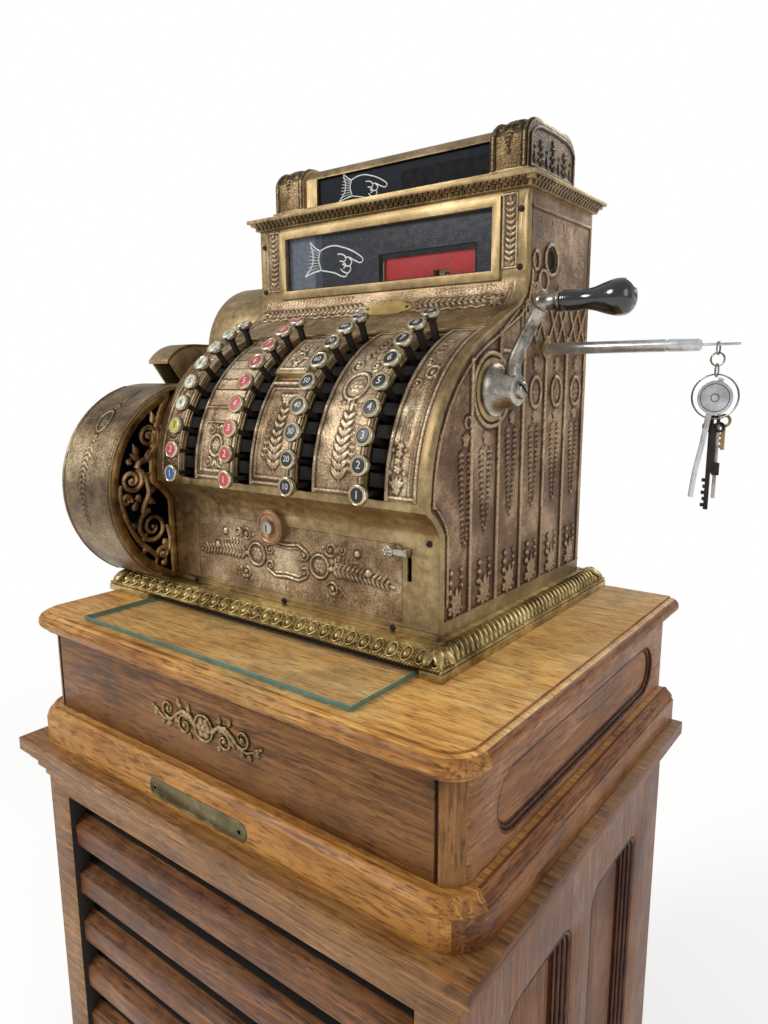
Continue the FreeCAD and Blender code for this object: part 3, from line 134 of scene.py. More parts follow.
class Finish:
    """A material while its nodes are put together."""

    def __init__(self, name):
        self.material = bpy.data.materials.new(name)
        self.material.use_nodes = True
        self.tree = self.material.node_tree
        self.tree.nodes.clear()
        self.output = self.tree.nodes.new("ShaderNodeOutputMaterial")

    def node(self, kind, settings=None, sockets=None, out=0):
        """A node with its settings, then its sockets' values or links; gives one output."""
        made = self.tree.nodes.new(kind)
        for key, value in (settings or {}).items():
            if key == "stops":
                self.stops(made.color_ramp, value)
            else:
                setattr(made, key, value)
        for key, value in (sockets or {}).items():
            if isinstance(value, Wire):
                self.tree.links.new(value.socket, made.inputs[key])
            else:
                made.inputs[key].default_value = value
        return Wire(self.tree, made.outputs[out])

    @staticmethod
    def stops(ramp, stops):
        """Sets a ramp's stops: (place, colour) pairs."""
        while len(ramp.elements) < len(stops):
            ramp.elements.new(0.5)
        for element, (place, colour) in zip(ramp.elements, stops):
            element.position = place
            element.color = colour

    def place(self):
        return self.node("ShaderNodeTexCoord", out="Object")

    def stretch(self, vector, scale, shift=(0, 0, 0)):
        return self.node("ShaderNodeMapping", None, {"Vector": vector, "Scale": scale, "Location": shift})

    def noise(self, vector, scale, detail=2, roughness=0.5, twist=0):
        return self.node("ShaderNodeTexNoise", None,
                         {"Vector": vector, "Scale": scale, "Detail": detail, "Roughness": roughness,
                          "Distortion": twist})

    def cells(self, vector, scale, feature="F1"):
        return self.node("ShaderNodeTexVoronoi", {"feature": feature}, {"Vector": vector, "Scale": scale})

    def fade(self, value, low, high):
        """A smooth step from 0 at low to 1 at high."""
        return self.node("ShaderNodeMapRange", {"interpolation_type": "SMOOTHSTEP"},
                         {"Value": value, "From Min": low, "From Max": high})

    def mix(self, share, first, second):
        return self.node("ShaderNodeMix", {"data_type": "RGBA"}, {0: share, 6: first, 7: second}, out=2)

    def ramp(self, value, stops):
        return self.node("ShaderNodeValToRGB", {"stops": stops}, {"Fac": value})

    def attribute(self, name):
        return self.node("ShaderNodeAttribute", {"attribute_name": name}, out="Fac")

    def bump(self, height, distance, strength=1):
        return self.node("ShaderNodeBump", None, {"Height": height, "Distance": distance,
                                                  "Strength": strength})

    def close(self, sockets):
        """Ends the material in one Principled shader."""
        shader = self.node("ShaderNodeBsdfPrincipled", None, sockets)
        self.tree.links.new(shader.socket, self.output.inputs["Surface"])
        return self.material


def cast_brass(name, tones, stipple=0, shade_and_grime=0.5, rough=(0.3, 0.5), metal=0.9, spread=0.14):
    """Cast brass: clouded tone, painted shade with dark dirt low in the relief, and high places made bright
    by wear and a painted highlight.
    """
    f = Finish(name)
    p = f.place()
    dark, middle, light = tones
    cloud = f.noise(p, 16, 3)
    dirt = f.noise(p, 95, 6, 0.68)
    fleck = f.noise(p, 520, 2)
    tone = cloud * 0.55 + dirt * 0.35 + fleck * 0.1
    colour = f.ramp(tone, [(0.5 - spread, dark), (0.5, middle), (0.5 + spread, light)])
    lift = f.attribute("lift")
    depth = f.attribute("depth")
    # Painted shade: depth darkens the hollows beside the relief and the sheets' hidden sides, and the dirt
    # noise adds real dirt to it.
    shade = f.fade(depth * 1.5 + (dirt - 0.5) * 1.2, 0.1, 0.85)
    colour = f.mix(shade * shade_and_grime, colour, tuple(c * 0.3 for c in dark[:3]) + (1,))
    # Lift lightens the high relief as wear and as a painted highlight, and lightens the marked edges of
    # dressed parts as wear.
    worn = f.fade(lift + (dirt - 0.5) * 0.5, 0.35, 1)
    colour = f.mix(worn * 0.7, colour, light)
    spots = f.fade(f.noise(p, 260, 3, 0.6), 0.62, 0.72)
    colour = f.mix(spots * 0.35 * shade_and_grime, colour, tuple(c * 0.3 for c in dark[:3]) + (1,))
    pits = f.cells(p, 400)
    height = dirt * 0.3 + fleck * 0.25
    if stipple:
        height = height + pits * stipple
        colour = f.mix(f.fade(pits, 0.4, 0.75) * (0.6 * stipple), colour,
                       tuple(c * 0.45 for c in dark[:3]) + (1,))
    roughness = f.fade(dirt, 0.3, 0.7) * (rough[1] - rough[0]) + rough[0]
    return f.close({"Base Color": colour, "Metallic": metal, "Roughness": roughness,
                    "Normal": f.bump(height, 0.0009, 0.7)})


def plated(name, tones, rough=(0.16, 0.34), spots=0.5, metal=1):
    """Worn nickel or steel: fine cloud, dark freckles and thin scratches."""
    f = Finish(name)
    p = f.place()
    dark, light = tones
    cloud = f.noise(p, 40, 5, 0.6)
    freckle = f.fade(f.noise(p, 420, 3, 0.65), 0.56, 0.7)
    scratch = f.noise(f.stretch(p, (900, 60, 90)), 1, 2)
    colour = f.ramp(cloud, [(0.34, dark), (0.62, light)])
    colour = f.mix(freckle * spots, colour, tuple(c * 0.35 for c in dark[:3]) + (1,))
    roughness = f.fade(cloud + freckle * 0.3, 0.3, 0.9) * (rough[1] - rough[0]) + rough[0]
    return f.close({"Base Color": colour, "Metallic": metal, "Roughness": roughness,
                    "Normal": f.bump(cloud + scratch * 0.3 + freckle * 0.3, 0.0004, 0.5)})


def painted(name, colour, rough=(0.3, 0.5), coat=0, fleck=0.35, shine=0.5):
    """Paint, enamel or celluloid: clouded, dusty and lightly scuffed."""
    f = Finish(name)
    p = f.place()
    cloud = f.noise(p, 120, 4, 0.6)
    dust = f.fade(f.noise(p, 700, 3, 0.7), 0.5, 0.72)
    deep = tuple(c * 0.72 for c in colour[:3]) + (1,)
    pale = tuple(c * 0.8 + 0.12 for c in colour[:3]) + (1,)
    tone = f.mix(f.fade(cloud, 0.3, 0.7), deep, colour)
    tone = f.mix(dust * fleck, tone, pale)
    roughness = f.fade(cloud + dust * 0.4, 0.3, 0.9) * (rough[1] - rough[0]) + rough[0]
    return f.close({"Base Color": tone, "Roughness": roughness, "Coat Weight": coat, "Coat Roughness": 0.06,
                    "Specular IOR Level": shine, "Normal": f.bump(cloud * 0.6 + dust * 0.2, 0.0002, 0.5)})


def oak(name, grain, tones, stain=0.5, centre=(0.1, -0.1, 0.6), gloss=0.4):
    """Old varnished oak whose grain runs along one axis, with pores, rings, stains and worn patches."""
    f = Finish(name)
    p = f.place()
    dark, middle, light = tones
    along = [150, 150, 150]
    along[grain] = 8.5
    pore_scale = [420, 420, 420]
    pore_scale[grain] = 46
    ring_scale = [1, 1, 1]
    ring_scale[grain] = 0.06
    figure = f.noise(f.stretch(p, tuple(along)), 1, 6, 0.62, 0.9)
    away = f.stretch(p, tuple(ring_scale), tuple(-c * s for c, s in zip(centre, ring_scale)))
    reach = f.node("ShaderNodeVectorMath", {"operation": "LENGTH"}, {0: away}, out="Value")
    rings = (reach * 420 + figure * 16).sine()
    pores = f.noise(f.stretch(p, tuple(pore_scale)), 1, 2, 0.55)
    blots = f.noise(p, 6.5, 4, 0.6)
    wear = f.noise(p, 22, 6, 0.7)
    tone = figure * 0.45 + rings * 0.03 + blots * 0.55
    colour = f.ramp(tone, [(0.36, dark), (0.5, middle), (0.64, light)])
    colour = f.mix(f.fade(blots * 0.6 + wear * 0.4, 0.48, 0.66) * stain, colour,
                   tuple(c * 0.42 for c in dark[:3]) + (1,))
    colour = f.mix(f.fade(pores, 0.52, 0.64) * 0.6, colour, tuple(c * 0.4 for c in dark[:3]) + (1,))
    rub = f.attribute("lift")
    colour = f.mix(f.fade(rub + (wear - 0.5) * 1.1, 0.4, 0.95) * 0.55, colour, light)
    roughness = f.fade(wear, 0.3, 0.75) * 0.22 + gloss
    height = figure * 0.35 + pores * -0.35 + wear * 0.2
    return f.close({"Base Color": colour, "Roughness": roughness, "Coat Weight": 0.1, "Coat Roughness": 0.3,
                    "Specular IOR Level": 0.22,
                    "Normal": f.bump(height, 0.0009, 0.6)})


def clear_glass(name, tint, share):
    """Thin glass: mostly open, with its own gloss and a little dust."""
    f = Finish(name)
    p = f.place()
    dust = f.fade(f.noise(p, 60, 6, 0.7), 0.5, 0.8)
    smear = f.noise(p, 9, 3)
    alpha = dust * 0.08 + smear * 0.04 + share
    return f.close({"Base Color": tint, "Roughness": f.fade(dust, 0, 1) * 0.1 + 0.03, "Alpha": alpha,
                    "IOR": 1.5, "Normal": f.bump(smear, 0.0003, 0.3)})


BRASS = (srgb(84, 66, 42), srgb(148, 124, 86), srgb(206, 184, 138))
BRASS_PALE = (srgb(100, 78, 56), srgb(178, 151, 118), srgb(238, 218, 184))
BRASS_PANEL = (srgb(76, 58, 38), srgb(142, 114, 78), srgb(212, 184, 136))
BRASS_DRUM = (srgb(78, 60, 40), srgb(142, 120, 90), srgb(198, 178, 142))
BRASS_DEEP = (srgb(44, 33, 22), srgb(90, 72, 48), srgb(158, 134, 98))
BRASS_GOLD = (srgb(160, 134, 76), srgb(206, 178, 108), srgb(236, 214, 152))
SIDE = (srgb(72, 52, 38), srgb(130, 101, 76), srgb(202, 174, 140))
BASE_TONES = (srgb(78, 64, 36), srgb(168, 144, 92), srgb(230, 212, 154))
GRILLE = (srgb(58, 43, 29), srgb(124, 95, 66), srgb(214, 182, 136))
OAK_TOP = (srgb(172, 114, 56), srgb(230, 174, 94), srgb(246, 208, 140))
OAK_OGEE = (srgb(108, 65, 28), srgb(176, 120, 57), srgb(216, 163, 90))
OAK_FRONT = (srgb(54, 32, 18), srgb(108, 68, 32), srgb(156, 106, 54))
OAK_FRAME = (srgb(76, 46, 22), srgb(134, 90, 46), srgb(180, 132, 78))
OAK_SIDE = (srgb(58, 32, 15), srgb(110, 64, 31), srgb(158, 104, 60))
OAK_CASE = (srgb(74, 42, 21), srgb(130, 80, 43), srgb(176, 122, 74))
OAK_PANEL = (srgb(56, 29, 13), srgb(108, 60, 29), srgb(154, 98, 54))
OAK_RED = (srgb(50, 27, 14), srgb(106, 63, 34), srgb(164, 112, 68))


def build_finishes():
    """All finishes of the object, by a short name."""
    made = {
        "brass": cast_brass("cast_brass", BRASS, 0, 0.45, (0.36, 0.54), 0.86, 0.2),
        "brass_stipple": cast_brass("stippled_brass", BRASS_PALE, 0.6, 0.85, (0.38, 0.56), 0.82),
        "brass_brown": cast_brass("brown_brass", BRASS_PANEL, 0.6, 0.85, (0.38, 0.56), 0.82),
        "brass_drum": cast_brass("drum_brass", BRASS_DRUM, 0.6, 0.85, (0.38, 0.56), 0.82),
        "brass_deep": cast_brass("deep_brass", BRASS_DEEP, 0.4, 0.85),
        "gold": cast_brass("gilt_plate", BRASS_GOLD, 0.1, 0.2, (0.4, 0.55), 0.3),
        "side": cast_brass("side_casting", SIDE, 0.5, 0.85, (0.36, 0.55), 0.82),
        "base": cast_brass("base_casting", BASE_TONES, 0, 0.7),
        "grille": cast_brass("dark_casting", GRILLE, 0, 0.7),
        "nickel": plated("worn_nickel", (srgb(92, 86, 76), srgb(192, 186, 175)), (0.26, 0.44), 0.65),
        "steel": plated("dark_steel", (srgb(16, 13, 11), srgb(50, 41, 34)), (0.4, 0.62), 0.5, 0.45),
        "ring": plated("cap_nickel", (srgb(154, 147, 126), srgb(228, 222, 202)), (0.2, 0.36), 0.3),
        # Near-black paint, used as painted shade in insides, undersides, slot floors, holes and gaps.
        "dark": painted("dark_inside", srgb(22, 18, 15), (0.6, 0.85), 0, 0.1, 0.2),
        "black_disc": painted("black_disc", srgb(26, 26, 28), (0.4, 0.55), 0.1, 0.15),
        "red_disc": painted("red_disc", srgb(196, 66, 70), (0.35, 0.5), 0.15, 0.2),
        "white_disc": painted("white_disc", srgb(222, 224, 206), (0.25, 0.4), 0.5, 0.1),
        "yellow_disc": painted("yellow_disc", srgb(196, 188, 62), (0.25, 0.4), 0.5, 0.2),
        "blue_disc": painted("blue_disc", srgb(50, 92, 158), (0.35, 0.5), 0.15, 0.2),
        "white_paint": painted("white_paint", srgb(226, 228, 226), (0.4, 0.6), 0, 0.1),
        "slate": painted("slate_paint", srgb(28, 32, 40), (0.16, 0.3), 0.3, 0.25),
        "slate_mid": painted("slate_lighter_step", srgb(58, 66, 77), (0.16, 0.3), 0.3, 0.35),
        "slate_deep": painted("hood_slate", srgb(24, 29, 38), (0.5, 0.7), 0, 0.1, 0.12),
        "slate_black": painted("hood_inset", srgb(10, 12, 16), (0.5, 0.7), 0, 0.05, 0.12),
        "red_paint": painted("shutter_red", srgb(190, 16, 14), (0.5, 0.7), 0, 0.06),
        "slate_light": painted("slate_lighter_end", srgb(98, 108, 120), (0.16, 0.3), 0.3, 0.45),
        "silver": plated("silver_strap", (srgb(176, 176, 178), srgb(226, 228, 230)), (0.3, 0.5), 0.3, 0.8),
        "rose": cast_brass("rose_brass", (srgb(120, 76, 60), srgb(176, 128, 104), srgb(222, 184, 156)), 0,
                           0.5),
        "rust_rim": cast_brass("rust_rim", (srgb(64, 46, 26), srgb(126, 96, 58), srgb(190, 156, 102)), 0,
                               0.5),
        "aged_brass": cast_brass("aged_tag", (srgb(78, 72, 50), srgb(124, 114, 82), srgb(172, 162, 124)), 0,
                                 0.5),
        "grip": painted("grip_black", srgb(16, 15, 16), (0.1, 0.2), 1, 0.12),
        "cream": painted("cream_paint", srgb(222, 196, 138), (0.4, 0.6), 0, 0.2),
        "glass": clear_glass("window_glass", srgb(120, 130, 134), 0.02),
        "plate_glass": clear_glass("counter_glass", srgb(176, 188, 172), 0.03),
        "glass_edge": painted("glass_edge", srgb(84, 128, 116), (0.05, 0.15), 0.6, 0.1),
        "oak_top": oak("oak_top", 0, OAK_TOP, 0.5, (0, 0.05, 0.86)),
        "oak_front": oak("oak_drawer_front", 0, OAK_FRONT, 0.45, (0, -0.5, 0.98)),
        "oak_x": oak("oak_across", 0, OAK_FRAME, 0.5, (0, -0.5, 0.9)),
        "oak_y": oak("oak_deep", 1, OAK_SIDE, 0.4, (0.5, 0, 0.95)),
        "oak_z": oak("oak_upright", 2, OAK_FRAME, 0.4, (0.45, -0.4, 0.5)),
        "oak_side": oak("oak_side_upright", 2, OAK_SIDE, 0.4, (0.45, -0.4, 0.5)),
        "oak_panel": oak("oak_panel", 2, OAK_PANEL, 0.4, (0.6, 0, 0.5)),
        "oak_ogee_x": oak("oak_ogee_across", 0, OAK_OGEE, 0.45, (0, -0.42, 0.86)),
        "oak_ogee_y": oak("oak_ogee_deep", 1, OAK_CASE, 0.45, (0.46, 0, 0.86)),
        "oak_red": oak("oak_slat", 0, OAK_RED, 0.55, (0, -0.4, 0.5)),
        "oak_dark": oak("oak_moulding", 2, (srgb(42, 22, 12), srgb(76, 42, 24), srgb(124, 76, 46)), 0.4),
        # Dark brown paint, used as painted shade on the cabinet's inside faces, the slats' tops and backs
        # and the drawer reveals.
        "shade": painted("shaded_wood", srgb(30, 21, 14), (0.7, 0.9), 0, 0.1),
    }
    return made


FINISH = {}


def finish_piece(piece, body="stand", replaced=()):
    """Gives a finished mesh object its body and hides the nodes that it stands for."""
    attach(piece, body)
    if replaced:
        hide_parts(*replaced)
    return piece


def smooth(mesh, angle=40):
    """Smooth shading with hard edges above an angle."""
    mesh.polygons.foreach_set("use_smooth", [True] * len(mesh.polygons))
    mesh.set_sharp_from_angle(angle=math.radians(angle))


def point_values(mesh, name, values):
    """Stores one number per point for the finish to read."""
    layer = mesh.attributes.new(name, "FLOAT", "POINT")
    layer.data.foreach_set("value", np.asarray(values, np.float32))


class Shape:
    """Collects the points and faces of one piece, in millimetres."""

    def __init__(self, origin=HEAD):
        self.origin = origin
        self.points = []
        self.faces = []
        self.marks = []
        self.count = 0

    def add(self, points, faces, mark=0):
        """Adds a part of the piece; faces index its own points."""
        points = np.asarray(points, float).reshape(-1, 3)
        base = self.count
        self.points.append(points)
        self.faces += [[base + int(i) for i in face] for face in faces]
        self.marks += [mark] * len(faces)
        self.count += len(points)

    def rings(self, rings, mark=0, closed=False, cap=True):
        """Skins a list of closed rings of equal count; the ends are capped or joined."""
        rings = np.asarray(rings, float)
        rows, count = rings.shape[:2]
        faces = []
        last = rows if closed else rows - 1
        for row in range(last):
            a = row * count
            b = ((row + 1) % rows) * count
            for i in range(count):
                j = (i + 1) % count
                faces.append([a + i, a + j, b + j, b + i])
        if cap and not closed:
            faces.append(list(range(count))[::-1])
            faces.append([(rows - 1) * count + i for i in range(count)])
        self.add(rings.reshape(-1, 3), faces, mark)

    def lathe(self, profile, start, axis, sides=32, mark=0):
        """A turned body: the profile is (distance along the axis, radius); it is closed at both ends."""
        axis, side, other = frame_of(axis)
        turns = full_turn(sides)
        circle = np.outer(np.cos(turns), side) + np.outer(np.sin(turns), other)
        start = np.asarray(start, float)
        self.rings([start + axis * along + circle * radius for along, radius in profile], mark)

    def tube(self, path, radius, sides=8, mark=0, closed=False, flat=None, squash=1):
        """A round bar along a path; flat is a direction in which it is squashed."""
        path = np.asarray(path, float)
        count = len(path)
        radius = np.broadcast_to(np.asarray(radius, float), (count,))
        if closed:
            tangents = np.roll(path, -1, axis=0) - np.roll(path, 1, axis=0)
        else:
            tangents = np.gradient(path, axis=0)
        tangents /= np.linalg.norm(tangents, axis=1)[:, None]
        up = np.asarray(flat if flat is not None else frame_of(tangents[0])[1], float)
        turns = full_turn(sides)
        rings = []
        for point, tangent, r in zip(path, tangents, radius):
            across = np.cross(tangent, up)
            across /= max(np.linalg.norm(across), 1e-9)
            rise = np.cross(across, tangent)
            if flat is None:
                up = rise
            rings.append(point + r * (np.outer(np.cos(turns), across)
                                      + squash * np.outer(np.sin(turns), rise)))
        self.rings(rings, mark, closed)

    def block(self, low, high, mark=0, chamfer=0, shape=None):
        """A box with chamfered edges; shape turns its points into place."""
        low, high = np.asarray(low, float), np.asarray(high, float)
        c = chamfer
        rings = []
        for z, inset in ((low[2], c), (low[2] + c, 0), (high[2] - c, 0), (high[2], c)):
            x0, x1, y0, y1 = low[0] + inset, high[0] - inset, low[1] + inset, high[1] - inset
            rings.append([(x0 + c, y0, z), (x1 - c, y0, z), (x1, y0 + c, z), (x1, y1 - c, z),
                          (x1 - c, y1, z), (x0 + c, y1, z), (x0, y1 - c, z), (x0, y0 + c, z)])
        rings = np.asarray(rings)
        if shape is not None:
            rings = shape(rings.reshape(-1, 3)).reshape(rings.shape)
        self.rings(rings, mark)

    def plate(self, outline, place, low, high, mark=0, edge=0):
        """A flat plate from an outline (u, v), set by place(u, v, height), with an edge chamfer."""
        outline = np.asarray(outline, float)
        centre = outline.mean(0)
        inner = centre + (outline - centre) * (1 - edge)
        rings = [place(outline[:, 0], outline[:, 1], low)]
        if edge:
            rings.append(place(outline[:, 0], outline[:, 1], high - (high - low) * 0.35))
        rings.append(place(inner[:, 0], inner[:, 1], high))
        self.rings([np.stack(ring, -1) for ring in rings], mark)

    def label(self, text, size, place, mark=0, height=0.25):
        """Plain numerals as solid letters; place turns (u, v, height) into the piece's points."""
        curve = bpy.data.curves.new("numeral", "FONT")
        curve.body = text
        curve.size = size
        curve.align_x = "CENTER"
        curve.align_y = "CENTER"
        curve.resolution_u = 3
        curve.extrude = height / 2
        holder = bpy.data.objects.new("numeral", curve)
        mesh = bpy.data.meshes.new_from_object(holder)
        points = np.array([v.co[:] for v in mesh.vertices])
        faces = [list(face.vertices) for face in mesh.polygons]
        bpy.data.objects.remove(holder)
        bpy.data.curves.remove(curve)
        bpy.data.meshes.remove(mesh)
        self.add(np.stack(place(points[:, 0], points[:, 1], points[:, 2] + height / 2), -1), faces, mark)

    def object(self, name, finishes, angle=40, values=None, weld=True):
        """The finished mesh object in metres, with its normals outwards."""
        points = (np.concatenate(self.points) * MM) + self.origin
        mesh = bpy.data.meshes.new(name)
        mesh.from_pydata(points.tolist(), [], self.faces)
        mesh.polygons.foreach_set("material_index", self.marks)
        for finish in finishes:
            mesh.materials.append(FINISH[finish])
        if values is not None:
            for key, numbers in values.items():
                point_values(mesh, key, numbers)
        work = bmesh.new()
        work.from_mesh(mesh)
        if weld:
            bmesh.ops.remove_doubles(work, verts=work.verts, dist=1e-6)
        bmesh.ops.recalc_face_normals(work, faces=work.faces)
        work.to_mesh(mesh)
        work.free()
        smooth(mesh, angle)
        piece = bpy.data.objects.new(name, mesh)
        bpy.context.scene.collection.objects.link(piece)
        return piece


def full_turn(count):
    """Evenly spaced angles round a circle."""
    return np.linspace(0, 2 * math.pi, count, endpoint=False)


def frame_of(axis):
    """A direction and two more square to it."""
    axis = np.asarray(axis, float)
    axis = axis / np.linalg.norm(axis)
    helper = np.array([0, 0, 1]) if abs(axis[2]) < 0.9 else np.array([0, 1, 0])
    side = np.cross(helper, axis)
    side /= np.linalg.norm(side)
    return axis, side, np.cross(axis, side)


def merged_copy(node, name, keep=None, join=True):
    """A node's mesh as one welded mesh with flat faces joined; keep picks its loose parts by their box."""
    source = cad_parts[node].data
    work = bmesh.new()
    verts = [work.verts.new(v.co) for v in source.vertices]
    for face in source.polygons:
        corners = [verts[i] for i in face.vertices]
        try:
            work.faces.new(corners)
        except ValueError:
            continue
    bmesh.ops.remove_doubles(work, verts=work.verts, dist=2e-6)
    if keep is not None:
        drop_parts(work, keep)
    if join:
        bmesh.ops.dissolve_limit(work, angle_limit=math.radians(0.3), verts=work.verts,
                                 edges=work.edges)
    mesh = bpy.data.meshes.new(name)
    work.to_mesh(mesh)
    work.free()
    return mesh


def inner_part(node, name, finish, body, reach):
    """The part of a node's own shape that lies left of a plane of constant x, closed there."""
    mesh = merged_copy(node, name)
    work = bmesh.new()
    work.from_mesh(mesh)
    everything = list(work.verts) + list(work.edges) + list(work.faces)
    bmesh.ops.bisect_plane(work, geom=everything, plane_co=(reach * MM, 0, 0), plane_no=(1, 0, 0),
                           clear_outer=True)
    bmesh.ops.holes_fill(work, edges=[edge for edge in work.edges if edge.is_boundary], sides=0)
    work.to_mesh(mesh)
    work.free()
    mesh.materials.append(FINISH[finish])
    smooth(mesh, 30)
    piece = bpy.data.objects.new(name, mesh)
    bpy.context.scene.collection.objects.link(piece)
    return finish_piece(piece, body, (node,))


def drop_parts(work, keep):
    """Deletes the loose parts for which keep(low, high) is false."""
    left = set(work.verts)
    gone = []
    while left:
        seed = left.pop()
        part, todo = [seed], [seed]
        while todo:
            for edge in todo.pop().link_edges:
                for v in edge.verts:
                    if v in left:
                        left.discard(v)
                        part.append(v)
                        todo.append(v)
        co = np.array([v.co[:] for v in part])
        if not keep(co.min(0), co.max(0)):
            gone += part
    bmesh.ops.delete(work, geom=gone, context="VERTS")


def dressed(node, name, finishes, body, bevel=0.6, choose=None, angle=35, worn=True, keep=None,
            segments=2, join=True, change=None):
    """A node's own shape with softened, worn edges; choose gives a face its finish."""
    mesh = merged_copy(node, name, keep, join)
    if change is not None:
        for v in mesh.vertices:
            v.co = Vector(change(*(v.co / MM))) * MM
    for finish in finishes:
        mesh.materials.append(FINISH[finish])
    if choose is not None:
        for face in mesh.polygons:
            face.material_index = choose(face.center / MM, face.normal)
    piece = bpy.data.objects.new(name, mesh)
    bpy.context.scene.collection.objects.link(piece)
    if bevel:
        made = piece.modifiers.new("edges", "BEVEL")
        made.width = bevel * MM
        made.segments = segments
        made.limit_method = "ANGLE"
        made.angle_limit = math.radians(angle)
        made.use_clamp_overlap = False
        made.miter_outer = "MITER_ARC" if segments > 2 else "MITER_SHARP"
        bpy.context.view_layer.update()
        done = bpy.data.meshes.new_from_object(piece.evaluated_get(bpy.context.evaluated_depsgraph_get()))
        piece.modifiers.clear()
        piece.data = done
        bpy.data.meshes.remove(mesh)
        mesh = done
        mesh.name = name
    smooth(mesh, 30)
    if worn:
        wear_edges(mesh)
    return finish_piece(piece, body, (node,))


def wear_edges(mesh):
    """Marks the points that lie on an outward edge, so that the finish is brighter there."""
    work = bmesh.new()
    work.from_mesh(mesh)
    values = [0] * len(work.verts)
    for v in work.verts:
        if len(v.link_faces) < 3:
            continue
        areas = [face.calc_area() for face in v.link_faces]
        least = min(areas)
        if least < 0.02 * max(areas):
            values[v.index] = 0.55
    work.free()
    point_values(mesh, "lift", values)


